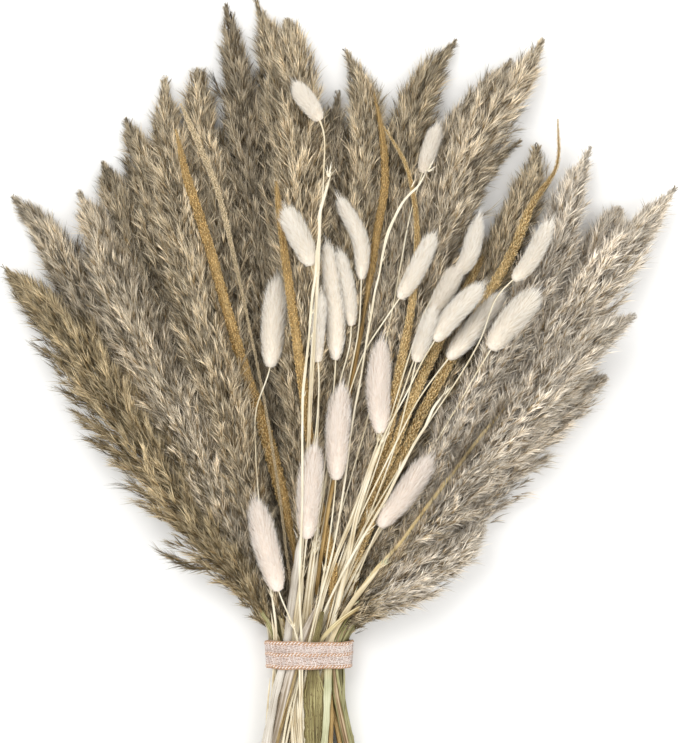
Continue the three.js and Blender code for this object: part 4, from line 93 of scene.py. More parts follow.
     [(0, 0.72), (0.14, 0.88), (0.27, 1.03), (0.41, 1.16), (0.55, 1.26), (1.22, 1.58), (1.89, 2.25), (2.56, 3.06), (3.23, 3.14), (3.9, 3.14), (4.58, 3.14), (5.25, 3.14), (5.92, 3.14), (6.59, 3.14), (7.26, 3.14), (7.94, 3.14), (8.61, 3.14), (9.28, 3.14), (9.95, 2.92), (10.62, 2.66), (11.3, 2.5), (11.97, 2.2), (12.64, 1.87), (13.31, 1.87), (13.98, 1.87), (14.66, 1.87), (15.33, 1.87), (16, 1.87)], None),
    ("gold_spike_06", "gold", [(80.3, 65, 9.9), (69.1, 44, 14.7), (58.3, 23, 19.2), (48, 1.9, 23.1), (38.2, -19.5, 26.2), (30.3, -41.6, 27.6), (21.3, -63.1, 25.2), (12.3, -84.9, 23), (3.6, -106.9, 20), (-3.5, -129.5, 17.5), (-9.2, -152.5, 16.8), (-14.4, -175.4, 14.1), (-19, -198.5, 14.4), (-21.6, -222, 11.4), (-23.5, -245.9, 9.3)],
     [(0, 1.25), (0.15, 1.71), (0.3, 2.11), (0.45, 2.41), (0.6, 2.58), (1.18, 2.92), (1.77, 3.1), (2.35, 3.14), (2.93, 3.14), (3.51, 3.14), (4.1, 3.09), (4.68, 2.92), (5.26, 2.8), (5.84, 2.64), (6.43, 2.38), (7.01, 1.84), (7.59, 1.26), (8.17, 1.13), (8.76, 1.09), (9.34, 1.09), (9.92, 1.24), (10.5, 1.43), (11.09, 1.43), (11.67, 1.43), (12.25, 1.43), (12.83, 1.43), (13.42, 1.43), (14, 1.43)], None),
    ("olive_leaf_01", "leaf", [(-9.6, -132.6, 30.6), (-14.5, -155.8, 29.9), (-14.3, -179.5, 28.9), (-13.9, -203, 26.6), (-13.7, -226.5, 24), (-14.2, -250, 21.1)],
     [(0, 0.88), (0.15, 1.23), (0.3, 1.55), (0.45, 1.75), (0.61, 1.87), (0.8, 1.98), (0.99, 2.11), (1.18, 2.3), (1.37, 2.56), (1.56, 2.86), (1.75, 3.23), (1.94, 3.66), (2.13, 4.13), (2.33, 4.6), (2.52, 5.03), (2.71, 5.39), (2.9, 5.65), (3.09, 5.77), (3.28, 5.75), (3.47, 5.64), (3.66, 5.44), (3.85, 5.15), (4.04, 4.78), (4.24, 4.32), (4.43, 3.78), (4.62, 3.15), (4.81, 2.44), (5, 1.65)], None),
    ("pale_spike_01", "gold", [(-88.5, 148.8, 15.2), (-78.3, 125.6, 16.6), (-68.6, 102.2, 17.9), (-62.1, 77.7, 18.9), (-56.5, 53.1, 19.7), (-51.1, 28.4, 20.3), (-45.9, 3.7, 20.9), (-41.1, -21, 21.5), (-37, -45.9, 21.8), (-33.3, -70.8, 21.5), (-30.3, -95.9, 21.1), (-26.9, -120.9, 21.1), (-23.2, -145.9, 20.6), (-19.8, -170.9, 21.3), (-15.5, -195.9, 19.4), (-10.8, -220.8, 18.5), (-6.4, -245.9, 16.9)],
     [(0, 0.72), (0.14, 1.12), (0.28, 1.47), (0.42, 1.7), (0.56, 1.81), (1.23, 1.98), (1.9, 1.98), (2.57, 1.96), (3.25, 1.68), (3.92, 1.3), (4.59, 1.07), (5.26, 0.97), (5.93, 0.97), (6.6, 0.97), (7.27, 0.97), (7.94, 0.97), (8.62, 0.97), (9.29, 0.97), (9.96, 0.97), (10.63, 0.97), (11.3, 0.97), (11.97, 0.98), (12.64, 1.43), (13.31, 1.43), (13.99, 1.43), (14.66, 1.43), (15.33, 1.43), (16, 1.43)], None),
    ("pale_stalk_01", "straw", [(-21.9, -90.9, 31.2), (-24.5, -113.4, 28), (-27.6, -135.7, 26.1), (-30.4, -157.8, 25.1), (-36, -179.9, 25.1), (-40, -202.7, 25.1), (-42.7, -225.7, 24.3), (-45.6, -248.8, 22.9)],
     [(0, 1.65), (0.16, 1.77), (0.31, 1.88), (0.47, 1.98), (0.62, 2.08), (0.9, 2.25), (1.17, 2.32), (1.45, 2.36), (1.73, 2.36), (2.01, 2.36), (2.28, 2.34), (2.56, 2.32), (2.84, 2.31), (3.12, 2.31), (3.39, 2.31), (3.67, 2.31), (3.95, 2.31), (4.23, 2.31), (4.5, 2.31), (4.78, 2.31), (5.06, 2.31), (5.34, 2.31), (5.61, 2.31), (5.89, 2.31), (6.17, 2.31), (6.45, 2.31), (6.72, 2.31), (7, 2.31)], None),
    ("reed_plume_01", "plume", [(-188.1, 58.3, 7.8), (-170.5, 41.9, 13), (-155.2, 23.5, 18.1), (-141.6, 4, 22.8), (-128.3, -15.6, 27), (-114.8, -34.8, 30.4), (-101.3, -54.1, 32.3), (-87.8, -73.4, 32.8), (-73.5, -92.8, 31.9), (-57.6, -112.7, 29.6), (-42.9, -133.9, 24.9), (-33.4, -155.4, 19.4), (-35.2, -177.8, 16.7), (-40, -200.8, 12.7), (-45.8, -224.2, 8.3), (-51.9, -247.7, 3.8)],
     [(0, 0.83), (0.15, 1.87), (0.3, 2.94), (0.45, 4.02), (0.6, 5.13), (1.22, 9.87), (1.85, 13.21), (2.48, 15.12), (3.1, 16.6), (3.73, 17.56), (4.36, 17.6), (4.98, 17.6), (5.61, 17.46), (6.23, 16.58), (6.86, 15.42), (7.49, 14.24), (8.11, 12.79), (8.74, 11), (9.36, 8.71), (9.99, 5.51), (10.62, 2.78), (11.24, 1.76), (11.87, 1.76), (12.5, 1.76), (13.12, 1.76), (13.75, 1.76), (14.37, 1.76), (15, 1.76)], None),
    ("reed_plume_02", "plume", [(-181.7, 96.4, 4.8), (-165.3, 78.7, 5.9), (-154.4, 57.3, 7.2), (-143.3, 36, 8.5), (-130.9, 15.5, 10.1), (-118.2, -4.8, 11.9), (-105.5, -25.1, 13.7), (-93.4, -45.6, 15.7), (-81.2, -66.1, 16.4), (-68.5, -86.7, 15.6), (-55.2, -107.5, 14.4), (-43.8, -129.7, 13.6), (-34.7, -152.2, 12.6), (-33.8, -174.8, 9), (-36.1, -198.1, 5.9), (-39.9, -221.8, 3.7), (-44, -245.6, 1.8)],
     [(0, 0.83), (0.15, 2.29), (0.3, 3.62), (0.45, 4.76), (0.59, 5.77), (1.26, 9.19), (1.93, 11.28), (2.6, 12.7), (3.27, 13.55), (3.94, 14.09), (4.61, 14.45), (5.28, 14.74), (5.95, 14.85), (6.62, 14.59), (7.29, 14.06), (7.96, 13.32), (8.63, 12.04), (9.3, 10.41), (9.97, 8.4), (10.64, 5.93), (11.31, 3.92), (11.98, 2.16), (12.65, 1.76), (13.32, 1.76), (13.99, 1.76), (14.66, 1.76), (15.33, 1.76), (16, 1.76)], None),
    ("reed_plume_03", "plume", [(-144.9, 98.9, 11.4), (-134, 76.5, 15.4), (-126.1, 52.6, 19.1), (-116.5, 29.6, 22.6), (-106, 6.9, 25.7), (-95.2, -15.4, 28.2), (-84.2, -37.7, 29.7), (-73.3, -60, 29.6), (-62.3, -82.3, 27.6), (-51.6, -104.9, 23.9), (-43.1, -128.2, 19.7), (-37, -152.2, 16.4), (-35.2, -176.7, 12.6), (-35.3, -201.6, 9.6), (-35.6, -226.8, 7.1), (-35.7, -252.2, 4.9)],
     [(0, 0.83), (0.14, 1.29), (0.28, 2.4), (0.43, 4.63), (0.57, 7.56), (1.2, 10.8), (1.82, 12.77), (2.45, 13.92), (3.08, 14.59), (3.71, 14.85), (4.33, 14.85), (4.96, 14.85), (5.59, 14.52), (6.22, 13.69), (6.84, 12.74), (7.47, 11.49), (8.1, 10), (8.73, 8.27), (9.35, 6.14), (9.98, 4.31), (10.61, 2.71), (11.24, 1.77), (11.86, 1.76), (12.49, 1.76), (13.12, 1.76), (13.75, 1.76), (14.37, 1.76), (15, 1.76)], None),
    ("reed_plume_04", "plume", [(-131.7, 115.2, 8.4), (-123, 93.3, 8.5), (-116.5, 70.5, 8.5), (-110, 47.8, 8.6), (-103.1, 25.1, 8.6), (-95.7, 2.6, 8.6), (-87.2, -19.4, 8.4), (-77.9, -41.2, 8), (-68.5, -62.9, 7.2), (-58.8, -84.7, 6.2), (-48.2, -106.4, 6.1), (-37.8, -128, 5.9), (-28, -149.5, 7.4), (-24.5, -171, 5.6), (-28, -194, 1.4), (-32.4, -217.9, 1.8), (-36.2, -242, 1.8)],
     [(0, 1.65), (0.15, 3.56), (0.3, 5.28), (0.45, 6.66), (0.6, 7.81), (1.27, 11.23), (1.94, 12.67), (2.61, 13.33), (3.28, 13.67), (3.95, 13.75), (4.62, 13.75), (5.29, 13.75), (5.96, 13.56), (6.63, 13.09), (7.3, 12.47), (7.97, 11.39), (8.63, 9.96), (9.3, 8.5), (9.97, 6.91), (10.64, 5.27), (11.31, 3.71), (11.98, 2.11), (12.65, 1.76), (13.32, 1.76), (13.99, 1.76), (14.66, 1.76), (15.33, 1.76), (16, 1.76)], None),
    ("reed_plume_05", "plume", [(-119.1, 139.5, 4.2), (-109.6, 115.9, 6.1), (-102.8, 91.4, 7.9), (-96.7, 66.7, 9.9), (-90.5, 42.1, 12.5), (-83.5, 17.8, 15), (-76, -6.3, 16.9), (-68.2, -30.3, 17.7), (-60.2, -54.3, 16.9), (-52.3, -78.3, 15.5), (-45.1, -102.6, 13.8), (-38.1, -127, 12.1), (-32.2, -151.6, 9.3), (-28.8, -176.7, 7.2), (-25.2, -201.9, 6.4), (-23.9, -227.2, 4.1), (-22.6, -252.5, 1.8)],
     [(0, 1.1), (0.14, 2.6), (0.28, 4.05), (0.42, 5.49), (0.56, 6.94), (1.23, 10.8), (1.9, 12.41), (2.57, 13.22), (3.25, 13.6), (3.92, 13.75), (4.59, 13.75), (5.26, 13.75), (5.93, 13.54), (6.6, 12.9), (7.27, 12.09), (7.94, 10.97), (8.62, 9.48), (9.29, 8.03), (9.96, 6.68), (10.63, 5.33), (11.3, 3.88), (11.97, 2.14), (12.64, 1.76), (13.31, 1.76), (13.99, 1.76), (14.66, 1.76), (15.33, 1.76), (16, 1.76)], None),
    ("reed_plume_06", "plume", [(-97.8, 162.9, 4.4), (-96, 136.6, 9.7), (-92.2, 110.5, 14.9), (-87.8, 84.6, 19.9), (-82.7, 59, 24.6), (-77, 33.7, 28.6), (-71, 8.5, 31.4), (-64.8, -16.6, 32.5), (-58.3, -41.6, 31.6), (-52, -66.7, 28.1), (-45.3, -91.8, 24.1), (-38.3, -117, 20.8), (-31.2, -142.2, 18.4), (-25.4, -167.7, 19.9), (-20.7, -193.3, 19.9), (-17.5, -219.2, 14.1), (-14.3, -245.1, 8.3)],
     [(0, 2.2), (0.14, 2.8), (0.27, 3.42), (0.41, 4.06), (0.54, 4.71), (1.22, 8.39), (1.89, 11.51), (2.56, 13.31), (3.23, 14.06), (3.9, 14.3), (4.58, 14.3), (5.25, 14.3), (5.92, 14.1), (6.59, 13.55), (7.26, 12.87), (7.94, 11.84), (8.61, 10.57), (9.28, 9.26), (9.95, 7.75), (10.62, 6.16), (11.3, 4.61), (11.97, 2.89), (12.64, 1.76), (13.31, 1.76), (13.98, 1.76), (14.66, 1.76), (15.33, 1.76), (16, 1.76)], None),
    ("reed_plume_07", "plume", [(-79.2, 167.3, 6.8), (-77.8, 141, 7.3), (-71.9, 115.2, 7.7), (-67.4, 89.2, 8.2), (-63.9, 63.1, 8.6), (-60.7, 37, 8.7), (-57.4, 10.8, 8.5), (-53.4, -15.4, 7.8), (-48.2, -41.4, 6.8), (-42.8, -67.3, 5.5), (-36.3, -93, 4.7), (-29, -118.1, 5.4), (-22.2, -142.9, 5.6), (-19.5, -167.6, 5.3), (-19, -193.4, 1.9), (-15.2, -220.2, 1.8), (-9.3, -246.8, 1.8)],
     [(0, 7.7), (0.13, 8.1), (0.27, 8.25), (0.4, 8.01), (0.54, 7.5), (1.21, 8.83), (1.88, 11.03), (2.56, 12.52), (3.23, 13.54), (3.9, 13.75), (4.57, 13.75), (5.24, 13.74), (5.92, 13.44), (6.59, 12.88), (7.26, 12.14), (7.93, 11), (8.61, 9.68), (9.28, 8.39), (9.95, 7.01), (10.62, 5.55), (11.29, 3.98), (11.97, 2.31), (12.64, 1.76), (13.31, 1.76), (13.98, 1.76), (14.66, 1.76), (15.33, 1.76), (16, 1.76)], None),
    ("reed_plume_08", "plume", [(-63.1, 203.5, 7.4), (-58.8, 175.4, 7.8), (-54.4, 147.4, 8.2), (-51.4, 119.2, 8.5), (-48.7, 90.9, 8.7), (-46, 62.7, 8.6), (-42.9, 34.5, 8.4), (-40, 6.3, 7.9), (-36.9, -21.9, 7), (-33.6, -50, 7.8), (-31.1, -78.2, 10), (-29.6, -106.3, 12.4), (-29.5, -134.5, 13.8), (-31, -162.9, 14.8), (-31.7, -191.2, 12.8), (-31.6, -219.5, 8.6), (-31.5, -248.1, 5.4)],
     [(0, 1.1), (0.13, 2.09), (0.25, 2.99), (0.38, 3.79), (0.5, 4.52), (1.17, 7.2), (1.85, 8.49), (2.52, 10.68), (3.2, 12.27), (3.87, 13.22), (4.54, 13.58), (5.22, 13.75), (5.89, 13.57), (6.57, 13.05), (7.24, 12.39), (7.91, 11.35), (8.59, 10.08), (9.26, 8.85), (9.94, 7.65), (10.61, 6.39), (11.28, 5), (11.96, 3.21), (12.63, 1.9), (13.3, 1.76), (13.98, 1.76), (14.65, 1.76), (15.33, 1.76), (16, 1.76)], None),
    ("reed_plume_09", "plume", [(-46.4, 206.1, 3.6), (-38, 178.8, 5.3), (-34.1, 150.4, 7.1), (-32.4, 121.9, 8.9), (-31.1, 93.3, 10.8), (-28.9, 64.9, 12.7), (-26.8, 36.6, 14.3), (-25.1, 8.2, 14.5), (-24, -20.2, 13.3), (-22.8, -48.6, 12.2), (-21.8, -77.1, 11.9), (-22.2, -105.6, 11.3), (-25.5, -133.8, 11), (-28.3, -162.2, 11.7), (-28.2, -190.7, 10.7), (-27.9, -219.1, 7), (-27, -247.5, 2.2)],
     [(0, 0.83), (0.12, 1.71), (0.25, 2.57), (0.37, 3.39), (0.5, 4.19), (1.17, 8.14), (1.85, 10.7), (2.52, 12.06), (3.19, 13.14), (3.87, 13.75), (4.54, 13.75), (5.22, 13.75), (5.89, 13.67), (6.56, 13.27), (7.24, 12.67), (7.91, 11.5), (8.59, 9.79), (9.26, 8.35), (9.93, 7.24), (10.61, 6.18), (11.28, 4.99), (11.96, 3.29), (12.63, 1.92), (13.3, 1.76), (13.98, 1.76), (14.65, 1.76), (15.33, 1.76), (16, 1.76)], None),
    ("reed_plume_10", "plume", [(-29, 194.8, 10.6), (-24.3, 167, 14.9), (-22.2, 139, 19.1), (-21.4, 111, 23), (-21, 83, 26.3), (-20.5, 55.2, 29.2), (-20, 27.5, 30.9), (-19.9, -0.2, 30), (-20.4, -27.8, 26.6), (-21.1, -55.6, 23.2), (-20.1, -83.6, 20.9), (-19.4, -111.6, 17.3), (-22, -139.4, 13), (-24.4, -167.4, 11.3), (-23.4, -195.5, 10.3), (-24.8, -223.5, 9.3), (-28.3, -251.4, 7.1)],
     [(0, 3.85), (0.13, 5.9), (0.25, 7.59), (0.38, 8.72), (0.51, 9.62), (1.18, 11.69), (1.86, 12.27), (2.53, 12.53), (3.2, 13.02), (3.88, 13.65), (4.55, 13.75), (5.22, 13.75), (5.9, 13.68), (6.57, 13.24), (7.24, 12.56), (7.92, 11.29), (8.59, 9.63), (9.26, 8.22), (9.94, 7.05), (10.61, 5.89), (11.29, 4.56), (11.96, 2.68), (12.63, 1.77), (13.31, 1.76), (13.98, 1.76), (14.65, 1.76), (15.33, 1.76), (16, 1.76)], None),
    ("reed_plume_11", "plume", [(-1.1, 154.3, 7.6), (-3.9, 129.5, 7.8), (-4.1, 104.4, 8), (-5.4, 79.3, 8.2), (-7.1, 54.3, 8.2), (-8.8, 29.2, 8.1), (-10.2, 4.1, 7.6), (-11.3, -21, 6.8), (-13, -46.1, 6), (-14.4, -71.2, 5.7), (-15.9, -96.3, 6.1), (-17.7, -121.4, 6.9), (-19.3, -146.8, 10.2), (-21.4, -171.7, 8.5), (-24.4, -196.3, 2.5), (-28.8, -220.7, 1.8), (-32.6, -245.4, 1.8)],
     [(0, 1.1), (0.14, 1.96), (0.28, 2.88), (0.42, 3.89), (0.57, 5.04), (1.24, 8.37), (1.91, 10.29), (2.58, 11.81), (3.25, 12.58), (3.92, 13.09), (4.59, 13.17), (5.26, 12.83), (5.93, 12.28), (6.61, 11.52), (7.28, 10.35), (7.95, 9.11), (8.62, 8.07), (9.29, 7.13), (9.96, 6.18), (10.63, 5.12), (11.3, 3.74), (11.97, 2.22), (12.64, 1.76), (13.32, 1.76), (13.99, 1.76), (14.66, 1.76), (15.33, 1.76), (16, 1.76)], None),
    ("reed_plume_12", "plume", [(3.9, 178.5, 5.7), (13.1, 153.3, 8.9), (13.6, 126.4, 11.9), (11.5, 99.7, 14.9), (8.5, 73.1, 17.5), (5.3, 46.6, 19.5), (1.8, 20.2, 20.5), (-2.6, -6, 20.5), (-7.6, -32.2, 18.9), (-11.2, -58.6, 16.5), (-12.9, -85.4, 14.6), (-14.3, -112.2, 12.9), (-14.7, -139.1, 11.4), (-16.8, -165.9, 9.4), (-19.6, -192.6, 6.4), (-20.3, -219.3, 3.2), (-19, -246.2, 1.8)],
     [(0, 1.1), (0.13, 1.72), (0.27, 2.41), (0.4, 3.17), (0.53, 4.03), (1.2, 8.79), (1.88, 10.87), (2.55, 12.3), (3.22, 13.6), (3.89, 13.75), (4.57, 13.75), (5.24, 13.73), (5.91, 13.39), (6.58, 12.8), (7.26, 11.85), (7.93, 10.33), (8.6, 8.85), (9.27, 7.73), (9.95, 6.75), (10.62, 5.73), (11.29, 4.53), (11.96, 2.74), (12.64, 1.8), (13.31, 1.76), (13.98, 1.76), (14.65, 1.76), (15.33, 1.76), (16, 1.76)], None),
    ("reed_plume_13", "plume", [(63.6, 183.4, 7.4), (48, 160.9, 7.9), (38.6, 135, 8.3), (32, 108.2, 8.6), (26.3, 81.2, 8.7), (21.1, 54.2, 8.9), (15.8, 27.1, 8.4), (10.8, 0, 7.7), (5.6, -27.1, 6.8), (0, -54.2, 5.6), (-5.7, -81.4, 4.4), (-10.2, -108.7, 4.2), (-15, -136, 5), (-15.8, -163.3, 5.4), (-14.1, -190.6, 3.8), (-14.3, -217.7, 5.8), (-17.4, -244.8, 5.7)],
     [(0, 0.83), (0.13, 1.68), (0.26, 2.62), (0.39, 3.67), (0.52, 4.92), (1.19, 9.94), (1.86, 11.59), (2.54, 12.42), (3.21, 13.5), (3.88, 14.01), (4.55, 14.28), (5.23, 14.18), (5.9, 13.64), (6.57, 12.96), (7.25, 12.05), (7.92, 10.94), (8.59, 9.75), (9.27, 8.38), (9.94, 6.92), (10.61, 5.48), (11.29, 4.12), (11.96, 2.79), (12.63, 1.88), (13.31, 1.76), (13.98, 1.76), (14.65, 1.76), (15.33, 1.76), (16, 1.76)], None),
    ("reed_plume_14", "plume", [(111.8, 183.4, 14.3), (97, 158.2, 18.2), (80.1, 134.7, 21.9), (65.8, 109.6, 24.9), (56.6, 82.4, 26.6), (48.9, 54.7, 26), (40.4, 27.3, 24), (30.4, 0.2, 21.7), (20.8, -27, 19.4), (12.4, -54.5, 16.6), (5, -82.8, 16), (-3.2, -110.1, 18.4), (-15.1, -135.6, 23.6), (-25.4, -161.9, 26.8), (-32.3, -189.2, 22.7), (-39, -216.7, 14.9), (-46.3, -244.8, 7.9)],
     [(0, 1.65), (0.12, 2.6), (0.25, 3.55), (0.37, 4.48), (0.49, 5.4), (1.16, 10.01), (1.84, 13), (2.51, 14.68), (3.19, 15.4), (3.86, 15.4), (4.54, 15.33), (5.21, 14.95), (5.89, 14.46), (6.56, 13.74), (7.23, 12.86), (7.91, 11.71), (8.58, 10.39), (9.26, 8.94), (9.93, 7.23), (10.61, 5.66), (11.28, 4.63), (11.95, 4), (12.63, 3.14), (13.3, 2.75), (13.98, 2.75), (14.65, 2.75), (15.33, 2.75), (16, 2.75)], None),
    ("reed_plume_15", "plume", [(94.5, 173, 4.9), (78.2, 150.5, 8.7), (61.7, 128.3, 12.4), (48.9, 103.9, 16), (39, 78.2, 19.4), (30.9, 52, 21.9), (22.6, 26, 22.9), (14.1, -0.1, 22.2), (6.7, -26.6, 20.3), (0.7, -53.4, 17.4), (-3.8, -80.5, 14), (-6.9, -107.7, 12.5), (-8, -135.1, 14.2), (-9.2, -162.5, 12.6), (-9.1, -190.1, 10.9), (-7.8, -217.6, 9.5), (-6.5, -245.2, 6.7)],
     [(0, 1.65), (0.13, 2.55), (0.26, 3.39), (0.39, 4.17), (0.52, 4.88), (1.19, 7.83), (1.86, 9.58), (2.54, 10.38), (3.21, 10.79), (3.88, 11.12), (4.56, 11.47), (5.23, 11.52), (5.9, 11.27), (6.58, 10.91), (7.25, 10.37), (7.92, 9.66), (8.6, 8.84), (9.27, 7.82), (9.94, 6.66), (10.61, 5.45), (11.29, 4.2), (11.96, 2.84), (12.63, 1.9), (13.31, 1.76), (13.98, 1.76), (14.65, 1.76), (15.33, 1.76), (16, 1.76)], None),
    ("reed_plume_16", "plume", [(99.4, 127.6, 6.5), (80.3, 111.2, 6.7), (64.8, 91.6, 6.8), (55, 68.5, 7), (47.2, 44.6, 7), (39.4, 20.7, 6.8), (31.4, -3.1, 6.5), (22.9, -26.7, 5.9), (14, -50.4, 5.2), (6.1, -74.2, 5.8), (-1.6, -98.5, 6.7), (-5.9, -123.1, 6.7), (-11.5, -147.8, 5.8), (-11.3, -172.8, 5.8), (-10.4, -198, 6.4), (-10.4, -223.1, 6.1), (-11, -248.3, 5.7)],
     [(0, 1.1), (0.14, 1.31), (0.28, 1.62), (0.42, 2.01), (0.57, 2.47), (1.24, 5.91), (1.91, 8.98), (2.58, 10.51), (3.25, 10.93), (3.92, 11), (4.59, 11), (5.26, 10.96), (5.93, 10.56), (6.61, 9.96), (7.28, 9.2), (7.95, 8.22), (8.62, 7.22), (9.29, 6.36), (9.96, 5.51), (10.63, 4.58), (11.3, 3.28), (11.97, 2.15), (12.64, 1.76), (13.32, 1.76), (13.99, 1.76), (14.66, 1.76), (15.33, 1.76), (16, 1.76)], None),
    ("reed_plume_17", "plume", [(110, 124.8, 6.7), (105, 100.6, 7.1), (96, 77.5, 7.4), (86, 54.7, 7.7), (75.9, 32.1, 7.9), (65.7, 9.5, 7.9), (54.8, -12.8, 7.4), (43.6, -35, 7), (32.5, -57.1, 6.7), (21.2, -79.3, 6.8), (9.1, -101.4, 7.5), (-1.3, -123.8, 9.8), (-9.8, -147, 9.7), (-12.8, -171.7, 9.5), (-15.6, -196.3, 8), (-18.9, -221, 7.3), (-21.5, -245.8, 6.3)],
     [(0, 1.65), (0.14, 3.07), (0.29, 4.22), (0.43, 4.98), (0.57, 5.55), (1.24, 8.7), (1.91, 11.08), (2.59, 12.07), (3.26, 12.51), (3.93, 12.65), (4.6, 12.65), (5.27, 12.63), (5.94, 12.02), (6.61, 11.05), (7.28, 9.9), (7.95, 8.53), (8.62, 7.38), (9.29, 6.52), (9.96, 5.72), (10.63, 4.8), (11.3, 3.37), (11.98, 2.08), (12.65, 1.76), (13.32, 1.76), (13.99, 1.76), (14.66, 1.76), (15.33, 1.76), (16, 1.76)], None),
    ("reed_plume_18", "plume", [(138.6, 123.3, 13.4), (128.3, 99.6, 18.1), (120.9, 75, 22.5), (110.9, 51.3, 26.4), (99.3, 28.6, 29.2), (87.3, 6.1, 29.7), (74.6, -15.9, 28.5), (61.6, -37.7, 25.9), (48.1, -59.4, 22.1), (34.2, -81.1, 17.8), (18.9, -102.7, 12.8), (3.1, -124.8, 6.6), (-7.1, -148.1, 6.8), (-7.3, -172.9, 6.6), (-6.4, -198.6, 7.1), (-4.1, -224.5, 6.5), (-1.9, -250.6, 5.7)],
     [(0, 1.1), (0.14, 1.88), (0.28, 2.74), (0.41, 3.72), (0.55, 4.97), (1.22, 8.32), (1.9, 9.76), (2.57, 10.77), (3.24, 11.45), (3.91, 11.87), (4.58, 12.1), (5.25, 11.76), (5.93, 11.07), (6.6, 10.28), (7.27, 9.33), (7.94, 8.42), (8.61, 7.55), (9.28, 6.65), (9.96, 5.66), (10.63, 4.52), (11.3, 3.4), (11.97, 2.21), (12.64, 1.76), (13.31, 1.76), (13.99, 1.76), (14.66, 1.76), (15.33, 1.76), (16, 1.76)], None),
    ("reed_plume_19", "plume", [(185.7, 100.9, 16.1), (168.9, 81.1, 20.1), (152.5, 61.1, 23.5), (137.2, 40.4, 26.4), (122.5, 19.3, 27.8), (108.4, -2, 28.2), (94.2, -23.2, 27.2), (79.7, -44.2, 25.5), (64.6, -65.1, 23.4), (48.5, -86.3, 21.3), (30.1, -108.1, 19.7), (11.9, -132.2, 21.6), (-0.7, -155.8, 21.3), (-0.3, -177.9, 18.1), (1.4, -201.2, 16.6), (4.6, -225.3, 14.9), (8.8, -249.9, 13.6)],
     [(0, 1.1), (0.14, 1.81), (0.28, 2.6), (0.41, 3.49), (0.55, 4.5), (1.22, 10.18), (1.89, 13.92), (2.57, 15.75), (3.24, 16.5), (3.91, 16.5), (4.58, 16.43), (5.25, 15.68), (5.92, 14.63), (6.6, 13.18), (7.27, 11.52), (7.94, 10.05), (8.61, 8.65), (9.28, 7.3), (9.95, 5.94), (10.63, 4.62), (11.3, 3.41), (11.97, 2.2), (12.64, 1.76), (13.31, 1.76), (13.98, 1.76), (14.66, 1.76), (15.33, 1.76), (16, 1.76)], None),
    ("reed_plume_20", "plume", [(155.1, 90.2, 8.5), (144.7, 68.2, 8.4), (133.8, 46.5, 8.3), (122.5, 25, 8.5), (110.6, 3.8, 8.4), (97.6, -16.7, 7.9), (83.4, -36.4, 7.2), (69.5, -56.3, 6.1), (55.6, -76.2, 5.6), (40.5, -96, 5.7), (22, -115, 6.2), (3.6, -135.4, 7.2), (-4.9, -156.1, 10.5), (-0.6, -178.6, 7.4), (4, -202.4, 3.5), (10.5, -226.9, 2.6), (17.4, -251.5, 2.5)],
     [(0, 4.95), (0.15, 6.14), (0.29, 7.2), (0.44, 8.09), (0.59, 8.9), (1.26, 11.59), (1.93, 13.15), (2.6, 13.62), (3.27, 13.74), (3.94, 13.5), (4.61, 13.1), (5.28, 12.46), (5.95, 11.6), (6.62, 10.5), (7.29, 9.17), (7.96, 7.93), (8.63, 6.76), (9.3, 5.65), (9.97, 4.61), (10.64, 3.53), (11.31, 2.79), (11.98, 2.54), (12.65, 2.53), (13.32, 2.53), (13.99, 2.53), (14.66, 2.53), (15.33, 2.53), (16, 2.53)], None),
    ("reed_plume_21", "plume", [(130.1, 64.2, 17.2), (118.4, 42.5, 17.7), (105.9, 21.2, 17.9), (93.5, 0, 17.6), (80.8, -21, 16.9), (68.2, -42.1, 16.1), (55.3, -63.2, 15), (42, -84.2, 14), (27.1, -105.3, 13.2), (11.5, -127.3, 11.8), (0.5, -150.4, 12.3), (0.5, -173, 12.7), (0.3, -196.2, 9.3), (0.9, -220.2, 5.8), (1.8, -244.7, 2.3)],
     [(0, 3.85), (0.14, 5.25), (0.29, 6.45), (0.43, 7.27), (0.57, 7.86), (1.16, 9.44), (1.74, 10.7), (2.33, 11), (2.91, 11), (3.49, 10.98), (4.08, 10.61), (4.66, 10.03), (5.24, 9.38), (5.83, 8.54), (6.41, 7.68), (7, 6.84), (7.58, 5.98), (8.16, 5.11), (8.75, 4.21), (9.33, 3.29), (9.91, 2.45), (10.5, 1.77), (11.08, 1.76), (11.67, 1.76), (12.25, 1.76), (12.83, 1.76), (13.42, 1.76), (14, 1.76)], None),
    ("reed_plume_22", "plume", [(160.3, 29.9, 43.3), (140.5, 16.9, 44.4), (123.6, -0, 45.1), (107.3, -17.6, 45.3), (91.3, -35.1, 43.8), (75.9, -53.4, 40.4), (60.8, -72, 36), (44.7, -90.8, 31.6), (26.9, -109.7, 28.2), (10, -130.4, 26.2), (-2.4, -151.9, 24.5), (-2.3, -173.4, 25.1), (1.8, -196.3, 21.4), (7.1, -219.8, 17.8), (12.5, -243.4, 14.3)],
     [(0, 1.38), (0.15, 2.69), (0.29, 3.93), (0.44, 5.1), (0.58, 6.23), (1.17, 10.15), (1.75, 12.56), (2.33, 13.58), (2.92, 14.03), (3.5, 14.28), (4.08, 14.16), (4.67, 13.59), (5.25, 12.79), (5.83, 11.45), (6.42, 9.95), (7, 8.49), (7.58, 6.98), (8.17, 5.6), (8.75, 4.26), (9.33, 3.1), (9.92, 2.22), (10.5, 1.76), (11.08, 1.76), (11.67, 1.76), (12.25, 1.76), (12.83, 1.76), (13.42, 1.76), (14, 1.76)], None),
    ("reed_plume_23", "plume", [(147, -3.6, 12.1), (127.7, -16.9, 12.9), (109.7, -31.8, 13.6), (94.1, -49.1, 14), (79.4, -67.2, 13.5), (64.2, -85.6, 12.9), (47.2, -104.4, 12.8), (26.7, -124, 13.6), (5.2, -144.4, 16.6), (-2.6, -163.4, 16.3), (-3, -183.5, 14.6), (0.9, -204.7, 12.4), (7.5, -226.3, 9.8), (14.3, -248.3, 7.5)],
